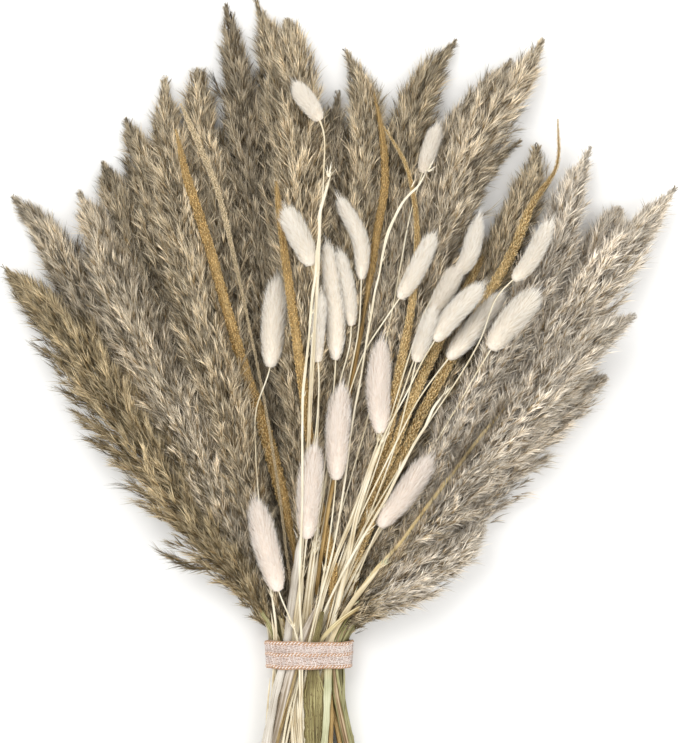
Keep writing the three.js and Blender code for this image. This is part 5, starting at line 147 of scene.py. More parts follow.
     [(0, 3.3), (0.15, 5.16), (0.3, 6.79), (0.45, 8.02), (0.6, 9.02), (1.14, 11.61), (1.68, 13.31), (2.22, 14.49), (2.76, 15.5), (3.3, 15.95), (3.84, 15.81), (4.38, 15.49), (4.92, 14.89), (5.45, 13.82), (5.99, 12.54), (6.53, 10.91), (7.07, 9.06), (7.61, 6.82), (8.15, 4.71), (8.69, 2.65), (9.23, 1.76), (9.77, 1.76), (10.31, 1.76), (10.84, 1.76), (11.38, 1.76), (11.92, 1.76), (12.46, 1.76), (13, 1.76)], None),
    ("reed_plume_24", "plume", [(78.5, -86.5, 31.4), (59, -103.7, 31.5), (34.1, -119.5, 32.5), (4.1, -134.4, 33.7), (-12.8, -153.2, 26), (-12.3, -174.5, 26.3), (-7.9, -197.5, 24), (-1.9, -221.4, 18.2), (4.5, -245.8, 12)],
     [(0, 3.3), (0.14, 5.2), (0.29, 6.88), (0.43, 8.14), (0.58, 9.05), (0.9, 10.69), (1.22, 11.55), (1.55, 11.87), (1.87, 12.06), (2.19, 11.99), (2.52, 10.52), (2.84, 8.57), (3.16, 6.97), (3.48, 5.19), (3.81, 3.51), (4.13, 2.26), (4.45, 1.76), (4.77, 1.76), (5.1, 1.76), (5.42, 1.76), (5.74, 1.76), (6.06, 1.76), (6.39, 1.76), (6.71, 1.76), (7.03, 1.76), (7.35, 1.76), (7.68, 1.76), (8, 1.76)], None),
    ("straw_blade_01", "straw", [(90.8, -20.1, 36.3), (75.8, -38.1, 31.7), (61.8, -57, 28.1), (47.4, -75.8, 25.6), (33.3, -94.9, 24.1), (17.4, -113, 23.8), (3.6, -132.8, 23.8), (-6.3, -154.3, 24), (-11.3, -177.7, 23.2), (-15.7, -201.3, 21.4), (-19.2, -225.2, 18.7), (-22.8, -249, 15.7)],
     [(0, 0.77), (0.15, 0.82), (0.3, 0.86), (0.45, 0.91), (0.6, 0.96), (1.05, 1.12), (1.5, 1.16), (1.95, 1.16), (2.41, 1.16), (2.86, 1.15), (3.31, 1.11), (3.76, 1.1), (4.21, 1.1), (4.67, 1.1), (5.12, 1.1), (5.57, 1.1), (6.02, 1.1), (6.48, 1.1), (6.93, 1.1), (7.38, 1.1), (7.83, 1.1), (8.29, 1.1), (8.74, 1.1), (9.19, 1.1), (9.64, 1.1), (10.1, 1.1), (10.55, 1.1), (11, 1.1)], None),
    ("straw_blade_02", "straw", [(23, -107.4, 30.9), (6.8, -127.8, 28.5), (-5.1, -150.2, 26.8), (-6.8, -174.4, 28.9), (-8, -198.9, 29.3), (-11.3, -223.4, 27.6), (-15.1, -247.8, 25.3)],
     [(0, 0.88), (0.14, 1.27), (0.29, 1.61), (0.43, 1.89), (0.58, 2.11), (0.81, 2.43), (1.05, 2.53), (1.28, 2.53), (1.52, 2.53), (1.76, 2.41), (1.99, 2.16), (2.23, 1.99), (2.46, 1.98), (2.7, 1.98), (2.93, 1.98), (3.17, 1.98), (3.41, 1.98), (3.64, 1.98), (3.88, 1.98), (4.11, 1.98), (4.35, 1.98), (4.59, 1.98), (4.82, 1.98), (5.06, 1.98), (5.29, 1.98), (5.53, 1.98), (5.76, 1.98), (6, 1.98)], None),
    ("white_straw_01", "straw", [(-6, 106.8, 65.4), (-10.1, 83.7, 62.2), (-12.7, 60.3, 59.1), (-15.5, 36.8, 56.3), (-17.4, 13.2, 53.7), (-20.1, -10.4, 51.3), (-20.7, -34.2, 49), (-20.6, -58.1, 46.2), (-21, -82.1, 42.2), (-22.1, -106.2, 37.2), (-22.1, -130.3, 32.3), (-20.9, -154.6, 29.8), (-20.9, -178.8, 28.2), (-19.6, -202.9, 25), (-17.7, -227.1, 21.6), (-15.3, -251.4, 18.9)],
     [(0, 1.43), (0.15, 1.5), (0.29, 1.53), (0.44, 1.54), (0.59, 1.47), (1.21, 1.32), (1.84, 1.32), (2.47, 1.32), (3.09, 1.32), (3.72, 1.32), (4.35, 1.32), (4.97, 1.32), (5.6, 1.32), (6.23, 1.23), (6.85, 1.21), (7.48, 1.21), (8.11, 1.21), (8.73, 1.21), (9.36, 1.21), (9.99, 1.21), (10.61, 1.21), (11.24, 1.21), (11.87, 1.21), (12.49, 1.21), (13.12, 1.21), (13.75, 1.21), (14.37, 1.21), (15, 1.21)], None),
    ("white_straw_02", "straw", [(48.4, 109.5, 66.3), (33.2, 91.3, 58.7), (24.6, 68.8, 51.4), (19.8, 45, 44.7), (15.2, 21, 38.8), (11.5, -3.3, 34.2), (7, -27.5, 31), (3.8, -52, 29.3), (0.2, -76.4, 29), (-4.3, -100.7, 29.6), (-10.8, -124.6, 30.2), (-17, -148.7, 28.8), (-23.1, -173.1, 26.8), (-28.1, -197.6, 23.3), (-33.2, -222.1, 17.5), (-38.9, -246.6, 11.8)],
     [(0, 0.77), (0.14, 0.8), (0.29, 0.88), (0.43, 1.15), (0.57, 1.42), (1.2, 1.35), (1.82, 1.49), (2.45, 1.1), (3.08, 1.1), (3.71, 1.1), (4.33, 1.1), (4.96, 1.06), (5.59, 1.04), (6.22, 1.04), (6.84, 1.04), (7.47, 1.04), (8.1, 1.04), (8.73, 1.04), (9.35, 1.04), (9.98, 1.04), (10.61, 1.04), (11.24, 1.04), (11.86, 1.04), (12.49, 1.04), (13.12, 1.04), (13.75, 1.04), (14.37, 1.04), (15, 1.04)], None),
    ("white_straw_03", "straw", [(58.3, -11.8, 32), (44.7, -33, 30.9), (32.8, -55.3, 30.4), (21.1, -77.7, 30), (8, -99.4, 29.7), (-3.6, -121.8, 28.1), (-13.5, -144.8, 25.2), (-22.5, -168.4, 25), (-29.3, -192.8, 24), (-32.9, -217.9, 21.9), (-34.7, -243.3, 19.2)],
     [(0, 0.88), (0.14, 1.07), (0.28, 1.24), (0.42, 1.37), (0.56, 1.44), (0.97, 1.52), (1.38, 1.54), (1.79, 1.54), (2.2, 1.49), (2.61, 1.41), (3.02, 1.38), (3.43, 1.38), (3.84, 1.38), (4.25, 1.35), (4.66, 1.28), (5.07, 1.24), (5.48, 1.21), (5.89, 1.21), (6.3, 1.21), (6.72, 1.21), (7.13, 1.21), (7.54, 1.21), (7.95, 1.21), (8.36, 1.21), (8.77, 1.21), (9.18, 1.21), (9.59, 1.21), (10, 1.21)], None),
]
NECK = dict(x=-17.05, z=17.5, y0=-165.28, y1=-148.78, a=24.2, b=15.6, stalk={"reed_plume_14": 2.75, "reed_plume_20": 2.53})
MM = 0.001


def rgb(r, g, b):
    return tuple((c / 255 / 12.92) if c / 255 <= 0.04045 else ((c / 255 + 0.055) / 1.055) ** 2.4 for c in (r, g, b)) + (1.0,)


def unit(v):
    return v / np.maximum(np.linalg.norm(v, axis=-1, keepdims=True), 1e-9)


# ---------------------------------------------------------------- curves
class Path:
    """A strand's centre line, by distance from the tip."""

    def __init__(self, pts, prof):
        p = np.array(pts, float) + SHIFT
        k = len(p)
        ext = np.vstack([2 * p[0] - p[1], p, 2 * p[-1] - p[-2]])
        t = np.linspace(0, k - 1, 40 * (k - 1) + 1)
        i = np.minimum(np.floor(t).astype(int), k - 2)
        u = (t - i)[:, None]
        a, b, c, d = ext[i], ext[i + 1], ext[i + 2], ext[i + 3]
        q = 0.5 * (2 * b + (c - a) * u + (2 * a - 5 * b + 4 * c - d) * u**2 + (3 * b - a - 3 * c + d) * u**3)
        self.s = np.concatenate([[0], np.cumsum(np.linalg.norm(np.diff(q, axis=0), axis=1))])
        self.L = self.s[-1]
        self.q = q
        prof = np.array(prof, float)
        self.w = np.interp(t, prof[:, 0], prof[:, 1])
        tan = unit(np.gradient(q, self.s, axis=0))
        self.tan = tan

    def at(self, s):
        return np.stack([np.interp(s, self.s, self.q[:, i]) for i in range(3)], -1)

    def tangent(self, s):
        return unit(np.stack([np.interp(s, self.s, self.tan[:, i]) for i in range(3)], -1))

    def half(self, s):
        return np.interp(s, self.s, self.w)

    def frame(self, s):
        t = self.tangent(s)
        side = unit(np.cross(t, np.array([0, 0, 1.0])))
        return t, side, unit(np.cross(side, t))

    def s_of_y(self, y):
        return float(np.interp(-y, -self.q[:, 1], self.s))


# ---------------------------------------------------------------- mesh gathering
class Bag:
    """Collects vertices (mm), faces, a UV pair for each vertex and a material number for each face."""

    def __init__(self):
        self.v, self.uv, self.tri, self.quad, self.mt, self.mq, self.n = [], [], [], [], [], [], 0

    def add(self, v, uv, tri=None, quad=None, mat=0):
        v = np.asarray(v, np.float64).reshape(-1, 3)
        self.v.append(v)
        self.uv.append(np.asarray(uv, np.float64).reshape(-1, 2))
        if tri is not None and len(tri):
            self.tri.append(np.asarray(tri) + self.n)
            self.mt.append(np.full(len(tri), mat))
        if quad is not None and len(quad):
            self.quad.append(np.asarray(quad) + self.n)
            self.mq.append(np.full(len(quad), mat))
        self.n += len(v)

    def blades(self, base, direction, normal, length, width, bend, u, v, mat=0, mid=0.5, taper=0.8):
        """Thin leaves or hairs: two panels and a point, five vertices each."""
        n = len(base)
        d = unit(direction)
        w = unit(np.cross(d, normal)) * (width / 2)[:, None]
        L = length[:, None]
        m = base + d * L * mid + bend * 0.3
        tip = base + d * L + bend
        vv = np.stack([base - w * 0.7, base + w * 0.7, m - w * taper, m + w * taper, tip], 1)
        u0, u1 = u
        uu = np.empty((n, 5, 2))
        uu[:, 0:2, 0], uu[:, 2:4, 0], uu[:, 4, 0] = u0, (u0 + u1) / 2, u1
        uu[:, :, 1] = v[:, None]
        # a hair of width in the map, so that no face is a line there
        uu[:, (1, 3), 1] += 0.004
        k = np.arange(n)[:, None] * 5
        self.add(vv, uu, tri=(k + [2, 3, 4]), quad=(k + [0, 1, 3, 2]), mat=mat)

    def strip(self, c, across, out, w, lane, mat=0, curl=0.22, thick=0.10):
        """A long narrow strip of dry leaf along the points c, a little rolled across."""
        m = 4
        n = len(c)
        off = np.linspace(-1, 1, m)
        lift = np.array([0.0, curl, curl, 0.0])
        vt = c[:, None] + across[:, None] * (off[None] * w[:, None])[..., None] + out[:, None] * (lift[None] * w[:, None])[..., None]
        vb = vt - out[:, None] * thick
        N = n * m
        ii, jj = np.meshgrid(np.arange(n - 1), np.arange(m - 1), indexing="ij")
        A = ii * m + jj
        q = np.stack([A, A + 1, A + m + 1, A + m], -1).reshape(-1, 4)
        e = []
        for k in range(n - 1):
            a, b = k * m, k * m + m - 1
            e += [[a, a + m, a + m + N, a + N], [b, b + N, b + m + N, b + m]]
        for k in range(m - 1):
            a, b = k, (n - 1) * m + k
            e += [[a, a + N, a + 1 + N, a + 1], [b, b + 1, b + 1 + N, b + N]]
        U = np.broadcast_to(np.linspace(0, 1, n)[:, None], (n, m))
        V = np.broadcast_to((lane + 0.012 * np.arange(m) / (m - 1))[None], (n, m))
        self.add(np.concatenate([vt.reshape(-1, 3), vb.reshape(-1, 3)]), np.concatenate([np.stack([U, V], -1).reshape(-1, 2), np.stack([U, V + 0.014], -1).reshape(-1, 2)]),
                 quad=np.concatenate([q, (q + N)[:, ::-1], np.array(e)]), mat=mat)

    def tube(self, path, s, ra, rb, sides=8, uvbox=(0, 1, 0, 1), mat=0, cap0=True, cap1=True, twist=0.0, wob=None, hollow1=0.0, ring=None, hollow0=0.0):
        """A closed tube along the path with half widths ra (sideways) and rb (up)."""
        s = np.asarray(s, float)
        ra, rb = np.broadcast_to(ra, s.shape), np.broadcast_to(rb, s.shape)
        c = path.at(s)
        t, side, up = path.frame(s)
        if wob is not None:
            c = c + side * wob[0][:, None] + up * wob[1][:, None]
        a = np.linspace(0, 2 * math.pi, sides, endpoint=False)[None, :] + np.linspace(0, twist, len(s))[:, None]
        rr = np.ones_like(a) if ring is None else ring
        v = c[:, None] + side[:, None] * (np.cos(a) * rr * ra[:, None])[..., None] + up[:, None] * (np.sin(a) * rr * rb[:, None])[..., None]
        n, m = len(s), sides
        u0, u1, v0, v1 = uvbox
        # the seam is doubled, so that the map doesn't run back across the image
        v = np.concatenate([v, v[:, :1]], 1)
        uu = np.empty((n, m + 1, 2))
        uu[..., 0] = (u0 + (u1 - u0) * (s / max(s[-1], 1e-6)))[:, None]
        uu[..., 1] = (v0 + (v1 - v0) * np.arange(m + 1) / m)[None]
        i, j = np.meshgrid(np.arange(n - 1), np.arange(m), indexing="ij")
        A = i * (m + 1) + j
        q = np.stack([A, A + 1, A + m + 2, A + m + 1], -1).reshape(-1, 4)
        self.add(v, uu, quad=q, mat=mat)
        for end, k, on, hol in ((0, 0, cap0, hollow0), (1, n - 1, cap1, hollow1)):
            if not on:
                continue
            ringv = v[k, :m]
            cen = c[k]
            uvc = uu[k, :m].copy()
            j = np.arange(m)
            if hol > 0:
                out = t[k] * (-1 if end == 0 else 1)
                r1 = cen + (ringv - cen) * hol
                r2 = r1 - out * 5.0
                cc = cen - out * 5.0
                vs = np.concatenate([ringv, r1, r2, cc[None]])
                us = np.concatenate([uvc, uvc, uvc, uvc[:1]])
                qs = np.concatenate([np.stack([j, j + m, (j + 1) % m + m, (j + 1) % m], -1), np.stack([j + m, j + 2 * m, (j + 1) % m + 2 * m, (j + 1) % m + m], -1)])
                ts = np.stack([j + 2 * m, np.full(m, 3 * m), (j + 1) % m + 2 * m], -1)
                if end == 0:
                    qs, ts = qs[:, ::-1], ts[:, ::-1]
                self.add(vs, us, tri=ts[:, ::-1], quad=qs[:, ::-1], mat=mat)
            else:
                vs = np.concatenate([ringv, cen[None]])
                us = np.concatenate([uvc, uvc[:1]])
                ts = np.stack([j, (j + 1) % m, np.full(m, m)], -1)
                self.add(vs, us, tri=ts if end == 1 else ts[:, ::-1], mat=mat)

    def mesh(self, name, mats, smooth=True):
        v = np.concatenate(self.v) * MM
        uv = np.concatenate(self.uv)
        tri = np.concatenate(self.tri) if self.tri else np.zeros((0, 3), int)
        quad = np.concatenate(self.quad) if self.quad else np.zeros((0, 4), int)
        loops = np.concatenate([tri.ravel(), quad.ravel()])
        start = np.concatenate([np.arange(len(tri)) * 3, len(tri) * 3 + np.arange(len(quad)) * 4])
        mi = np.concatenate(self.mt + self.mq) if (self.mt or self.mq) else np.zeros(0)
        me = bpy.data.meshes.new(name)
        me.vertices.add(len(v))
        me.vertices.foreach_set("co", v.astype(np.float32).ravel())
        me.loops.add(len(loops))
        me.loops.foreach_set("vertex_index", loops.astype(np.int32))
        me.polygons.add(len(start))
        me.polygons.foreach_set("loop_start", start.astype(np.int32))
        me.polygons.foreach_set("material_index", mi.astype(np.int32))
        layer = me.uv_layers.new(name="OFBake", do_init=False)
        layer.uv.foreach_set("vector", np.clip(uv[loops], 0.001, 0.999).astype(np.float32).ravel())
        for m in mats:
            me.materials.append(m)
        me.update(calc_edges=True)
        if smooth:
            me.polygons.foreach_set("use_smooth", np.ones(len(start), bool))
        me.validate()
        ob = bpy.data.objects.new(name, me)
        bpy.context.scene.collection.objects.link(ob)
        return ob


# ---------------------------------------------------------------- materials
def ramp_node(nt, stops, fac):
    r = nt.nodes.new("ShaderNodeValToRGB")
    e = r.color_ramp.elements
    while len(e) > 1:
        e.remove(e[-1])
    e[0].position, e[0].color = stops[0]
    for p, c in stops[1:]:
        x = e.new(p)
        x.color = c
    nt.links.new(fac, r.inputs[0])
    return r.outputs[0]


def math_node(nt, op, a, b=None, c=None):
    m = nt.nodes.new("ShaderNodeMath")
    m.operation = op
    for i, x in enumerate((a, b, c)):
        if x is None:
            continue
        if isinstance(x, (int, float)):
            m.inputs[i].default_value = x
        else:
            nt.links.new(x, m.inputs[i])
    return m.outputs[0]


def mix_colour(nt, kind, fac, a, b):
    m = nt.nodes.new("ShaderNodeMix")
    m.data_type, m.blend_type = "RGBA", kind
    for name, x in (("Factor", fac), ("A", a), ("B", b)):
        i = next(k for k in m.inputs if k.name == name and k.type in (("VALUE",) if name == "Factor" else ("RGBA",)))
        if isinstance(x, (int, float, tuple)):
            i.default_value = x
        else:
            nt.links.new(x, i)
    return next(o for o in m.outputs if o.type == "RGBA")


def new_mat(name, rough, spec=0.3, sheen=0.0):
    m = bpy.data.materials.new(name)
    m.use_nodes = True
    nt = m.node_tree
    p = next(n for n in nt.nodes if n.type == "BSDF_PRINCIPLED")
    p.inputs["Roughness"].default_value = rough
    p.inputs["Specular IOR Level"].default_value = spec
    if sheen:
        p.inputs["Sheen Weight"].default_value = sheen
        p.inputs["Sheen Roughness"].default_value = 0.5
    return m, nt, p


def uv_parts(nt):
    n = nt.nodes.new("ShaderNodeUVMap")
    n.uv_map = "OFBake"
    s = nt.nodes.new("ShaderNodeSeparateXYZ")
    nt.links.new(n.outputs[0], s.inputs[0])
    return s.outputs[0], s.outputs[1], n.outputs[0]


def fibre_mat(name, root, mid, tip, v0, v1, dark=0.72, light=1.22, rough=0.75, spec=0.25):
    """Hairs: the colour runs from root to tip along the map's first axis, and the second is the tone of the single hair."""
    m, nt, p = new_mat(name, rough, spec)
    u, v, _ = uv_parts(nt)
    col = ramp_node(nt, [(0.0, root), (0.45, mid), (1.0, tip)], u)
    k = math_node(nt, "MINIMUM", math_node(nt, "MAXIMUM", math_node(nt, "DIVIDE", math_node(nt, "SUBTRACT", v, v0), v1 - v0), 0.0), 1.0)
    tone = math_node(nt, "ADD", math_node(nt, "MULTIPLY", k, light - dark), dark)
    g = nt.nodes.new("ShaderNodeCombineColor")
    for i in range(3):
        nt.links.new(tone, g.inputs[i])
    nt.links.new(mix_colour(nt, "MULTIPLY", 1.0, col, g.outputs[0]), p.inputs["Base Color"])
    return m


def stalk_mat(name, a, b, c, streak=90.0, rough=0.5, spec=0.4, fleck=None, fleck_at=0.62, scale=60.0, low=None, low_at=0.5):
    """Stalks, straws and leaves: long streaks along the map's first axis, with slow changes of tone, and flecks where asked."""
    m, nt, p = new_mat(name, rough, spec)
    u, v, uv = uv_parts(nt)
    mp = nt.nodes.new("ShaderNodeMapping")
    mp.inputs["Scale"].default_value = (6.0, streak, 1.0)
    nt.links.new(uv, mp.inputs["Vector"])
    n1 = nt.nodes.new("ShaderNodeTexNoise")
    n1.inputs["Scale"].default_value = 1.0
    n1.inputs["Detail"].default_value = 4.0
    nt.links.new(mp.outputs[0], n1.inputs["Vector"])
    co = nt.nodes.new("ShaderNodeTexCoord")
    n2 = nt.nodes.new("ShaderNodeTexNoise")
    n2.inputs["Scale"].default_value = scale
    n2.inputs["Detail"].default_value = 3.0
    nt.links.new(co.outputs["Object"], n2.inputs["Vector"])
    f = math_node(nt, "ADD", math_node(nt, "MULTIPLY", n1.outputs[0], 0.72), math_node(nt, "MULTIPLY", n2.outputs[0], 0.28))
    col = ramp_node(nt, [(0.38, a), (0.5, b), (0.61, c)], f)
    if low:
        k = ramp_node(nt, [(low_at - 0.04, (0, 0, 0, 1)), (low_at + 0.04, (1, 1, 1, 1))], u)
        col = mix_colour(nt, "MIX", k, col, ramp_node(nt, [(0.38, low[0]), (0.5, low[1]), (0.61, low[2])], f))
    if fleck:
        n3 = nt.nodes.new("ShaderNodeTexNoise")
        n3.inputs["Scale"].default_value = 1.0
        n3.inputs["Detail"].default_value = 2.0
        mp3 = nt.nodes.new("ShaderNodeMapping")
        mp3.inputs["Scale"].default_value = (52.0, 46.0, 1.0)
        nt.links.new(uv, mp3.inputs["Vector"])
        nt.links.new(mp3.outputs[0], n3.inputs["Vector"])
        k = ramp_node(nt, [(fleck_at, (0, 0, 0, 1)), (fleck_at + 0.06, (1, 1, 1, 1))], n3.outputs[0])
        col = mix_colour(nt, "MIX", k, col, fleck)
    nt.links.new(col, p.inputs["Base Color"])
    # the streaks stand up a little
    bump = nt.nodes.new("ShaderNodeBump")
    bump.inputs["Strength"].default_value = 0.45
    bump.inputs["Distance"].default_value = 0.0003
    nt.links.new(f, bump.inputs["Height"])
    nt.links.new(bump.outputs[0], p.inputs["Normal"])
    return m


# ---------------------------------------------------------------- strands
PATHS, KIND, HEAD = {}, {}, {}
for name, kind, pts, prof, head in STRANDS:
    PATHS[name], KIND[name], HEAD[name] = Path(pts, prof), kind, head
Y_TIE_TOP, Y_TIE_LOW = NECK["y1"] + SHIFT[1], NECK["y0"] + SHIFT[1]
NX, NZ = NECK["x"] + SHIFT[0], NECK["z"] + SHIFT[2]

# the plumes' hairs are pressed down where something lies on them: a grid of one-millimetre cells holds the height over which no hair rises
GX0, GY0, CELL = -230.0, -270.0, 1.0
NXG, NYG = 470, 560


def press(path, shrink=0.9, rank=0.0):
    """Cells under and beside a strand, each with the greatest height left free there, and the strand's own place."""
    s = np.arange(0, path.L, 0.9)
    c, r = path.at(s), np.maximum(path.half(s) * shrink, 0.55)
    gi, gj = (c[:, 0] - GX0) / CELL, (c[:, 1] - GY0) / CELL
    reach = int(r.max() + 4)
    out = []
    for di in range(-reach, reach + 1):
        for dj in range(-reach, reach + 1):
            i, j = np.round(gi).astype(int) + di, np.round(gj).astype(int) + dj
            d = np.hypot(i - gi, j - gj) * CELL
            m = (d < r + 2.6) & (i >= 0) & (i < NXG) & (j >= 0) & (j < NYG)
            if not m.any():
                continue
            inside = np.minimum(d[m] / r[m], 1.0)
            h = c[m, 2] - r[m] * np.sqrt(1 - inside**2) * 0.9 + np.maximum(d[m] - r[m], 0) * 1.6
            out.append(np.stack([i[m], j[m], h, c[m, 1], c[m, 2] + rank], 1))
    return np.concatenate(out)


PRESS = np.concatenate([press(p, rank=4.0 if name.startswith("straw_blade") else 0.0) for name, p in PATHS.items() if KIND[name] in ("gold", "bunny", "straw", "leaf")])


def ceiling(path):
    """What lies over this plume."""
    grid = np.full((NXG, NYG), 1e6)
    s = np.interp(-PRESS[:, 3], -path.q[:, 1], path.s)
    over = PRESS[:, 4] > path.at(s)[:, 2] - 0.75 * path.half(s)
    k = PRESS[over]
    np.minimum.at(grid, (k[:, 0].astype(int), k[:, 1].astype(int)), k[:, 2])
    return grid


def settle(v, grid):
    """Hairs give way to the floor under the bundle, and to what lies on them."""
    v = v.copy()
    i = np.clip(np.round((v[:, 0] - GX0) / CELL).astype(int), 0, NXG - 1)
    j = np.clip(np.round((v[:, 1] - GY0) / CELL).astype(int), 0, NYG - 1)
    over = v[:, 2] - grid[i, j]
    v[:, 2] -= np.where(over > 0, over + 0.25 * (1 - np.exp(-np.maximum(over, 0) / 2)), 0)
    k = 5.0
    low = v[:, 2] < k
    v[low, 2] = 0.25 + (k - 0.25) * np.exp((v[low, 2] - k) / (k - 0.25))
    return v


# locks that stand off a head's outline: height on the sheet, side, how far out, how long
STRAY = {'reed_plume_01': [(-80.5, 1, 1.28, 22), (-82.1, 1, 1.24, 20), (-83.8, 1, 1.2, 20)], 'reed_plume_17': [(109.3, -1, 1.7, 34)], 'reed_plume_08': [(167.0, 1, 1.5, 22)]}
# how much fuller a golden spike is than drawn: [height on the sheet, factor], from the tip down
FULLER = {'gold_spike_01': [(13.0, 1.0), (-9.0, 1.28), (-47.5, 1.28), (-66.7, 1.05), (-80.5, 1.0)], 'gold_spike_02': [(-31.0, 1.0), (-53.0, 1.35), (-88.7, 1.8), (-98.1, 1.5), (-108.0, 1.0)], 'gold_spike_05': [(-47.5, 1.0), (-80.5, 1.25), (-102.5, 1.42), (-119.0, 1.3), (-127.2, 1.0)], 'gold_spike_04': [(62.5, 1.0), (-3.5, 1.0)]}
# leaf sheaths that are slimmer above the ribbon
SLIM = {"bunny_tail_17": 0.72, "bunny_tail_10": 0.62, "straw_blade_02": 0.62}
# where a head's hairs end, for heads that stop well above the ribbon
FOOT = {"reed_plume_24": -114.6}


def rand_perp(rng, d, n):
    r = rng.normal(size=(n, 3))
    r -= d * (r * d).sum(1, keepdims=True)
    return unit(r)


# how much lighter or darker than the rest each plume is
OWN = {"01": 0.0, "02": -0.05, "03": 0.09, "04": -0.12, "05": -0.08, "06": 0.03, "07": 0.04, "08": -0.01, "09": 0.0, "10": 0.09, "11": -0.06, "12": 0.0,
       "13": -0.04, "14": 0.11, "15": 0.02, "16": -0.04, "17": 0.05, "18": 0.02, "19": 0.06, "20": 0.0, "21": 0.06, "22": 0.0, "23": 0.0, "24": 0.02}


def plume(name, mats, rng, dense=1.0, flat=0.74, full=1.28):
    p = PATHS[name]
    bag = Bag()
    s_end = p.s_of_y(max(Y_TIE_TOP + 5, FOOT.get(name, -999)))          # hairs stop a little above the ribbon
    head = s_end

    def wide(s):
        """The head's half width with all its hairs: fuller than its core in the middle, as drawn at both ends."""
        k = np.clip((s - 6) / 75, 0, 1) * np.clip((s_end - s) / (14 if name in FOOT else 45), 0, 1)
        tip = 0.25 + 0.75 * np.sqrt(np.clip(s / 17, 0, 1))
        return np.maximum(p.half(s) * tip, 0.7) * (1.0 + (full - 1.0) * k * k * (3 - 2 * k))

    # locks: a bigger share of them where the plume is wide
    n_lock = int(head / 1.4 * (0.5 + 0.5 * dense))
    f = np.linspace(0, 1, 300)
    wgt = np.maximum(wide(f * head), 2.5) ** 0.7
    cum = np.cumsum(wgt)
    cum /= cum[-1]
    sj = np.interp((np.arange(n_lock) + rng.uniform(0, 1, n_lock)) / n_lock, cum, f * head)
    phi = np.arange(n_lock) * 2.39996 + rng.uniform(-0.5, 0.5, n_lock)
    hw = wide(sj)
    length = np.clip(hw * rng.uniform(1.4, 2.6, n_lock), 8, 30)
    length = np.minimum(length, np.maximum(sj, 5) * 0.95)
    inner = rng.uniform(0, 1, n_lock) < 0.36
    rho1 = np.where(inner, rng.uniform(0.35, 0.7, n_lock), rng.uniform(0.68, 0.94, n_lock) + np.where(rng.uniform(0, 1, n_lock) < 0.20, rng.uniform(0.04, 0.20, n_lock), 0))
    hook = rng.uniform(-0.06, 0.13, n_lock)
    curl = rng.normal(0, 0.16, n_lock)
    bow = rng.normal(0, 0.07, n_lock)
    own = OWN[name[-2:]]
    soft = 1.0 if len(mats) > 4 else 0.4                # the pale plumes are woollier
    # the inner locks are painted darker: painted shade inside the head
    lock_tone = rng.normal(0, 0.11, n_lock) - np.where(inner, 0.10, 0.0)
    for k, (y, side, far, long) in enumerate(STRAY.get(name, [])):
        sj[k] = p.s_of_y(y)
        phi[k], rho1[k], length[k], inner[k], curl[k], bow[k] = (0.15 if side > 0 else math.pi - 0.15), far, long, False, 0.0, 0.25
    # each lock springs from nearer the middle, at a steady slant
    rho0 = np.clip(rho1 - 0.44 * length / hw, 0.08, 0.55)

    def lock_at(k, tau):
        s = np.maximum(sj[k] - length[k] * tau, 0.0)
        c = p.at(s)
        t, side, up = p.frame(s)
        h = wide(s)
        ang = phi[k] + curl[k] * tau * 2
        rho = rho0[k] + (rho1[k] - rho0[k]) * np.power(tau, 0.9) + bow[k] * np.sin(tau * 3.1) + hook[k] * tau**4
        rad_dir = side * np.cos(ang)[:, None] + up * np.sin(ang)[:, None]
        off = side * (np.cos(ang) * rho * h)[:, None] + up * (np.sin(ang) * rho * h * flat)[:, None]
        return c + off, -t, rad_dir, h, s

    def painted_edge_shade(c, s, h):
        """A head is painted darker towards its two sides: painted shade where it sinks between its neighbours."""
        lat = np.abs(((c - p.at(s)) * p.frame(s)[1]).sum(1)) / h
        return (0.24 if soft == 1 else 0.44) * np.clip((lat - 0.52) / 0.42, 0, 1) * np.clip((s - 4) / 30, 0.25, 1)

    def tufts(c, d, rad, h, s, tone, n_h, lo, hi, w0, w1, fan):
        """Hairs that fan out from the spikelets."""
        n = len(c)
        kk = np.repeat(np.arange(n), n_h)
        m = len(kk)
        dd = unit(d[kk] + rand_perp(rng, d[kk], m) * (rng.uniform(0, 1, m) ** 0.7 * fan * (1 + 0.6 * soft))[:, None])
        base = c[kk] + d[kk] * rng.uniform(-1.5, 2.2, m)[:, None]
        ln = rng.uniform(lo, hi, n)[kk] * rng.uniform(0.6, 1.1, m) * np.clip(0.42 + h[kk] / 15, 0.42, 1.0) * (1 - 0.16 * soft)
        ln = np.minimum(ln, s[kk] + 0.4 + rng.uniform(0, 1.2, m))
        swirl = rand_perp(rng, d, n)
        bend = rad[kk] * (rng.normal(0.2, 1.0, m) * ln / 9)[:, None] + swirl[kk] * ((rng.uniform(0, 0.20, n) + soft * rng.uniform(0, 0.24, n))[kk] * ln)[:, None] + rand_perp(rng, dd, m) * (rng.uniform(0, 1, m) * ln * 0.10)[:, None]
        nrm = unit(rad[kk] + rng.normal(0, 0.55, (m, 3)))
        k = 0.5 + tone[kk] + rng.normal(0, 0.13, n)[kk] + rng.normal(0, 0.13, m)
        k = np.where(rng.uniform(0, 1, m) < 0.05, k + 0.28, k)
        k = np.where(rng.uniform(0, 1, m) < 0.12, rng.uniform(0.0, 0.14, m), k)
        wd, tv = rng.uniform(w0, w1, m), 0.02 + 0.58 * np.clip(k, 0, 1)
        low = (s[kk] > head * 0.74 + rng.normal(0, 0.09 * head, m)) & (len(mats) > 4)
        for pick, mat in ((~low, 0), (low, 4)):
            if pick.any():
                bag.blades(base[pick], dd[pick], nrm[pick], ln[pick], wd[pick], bend[pick], (0.04, 0.96), tv[pick], mat=mat)

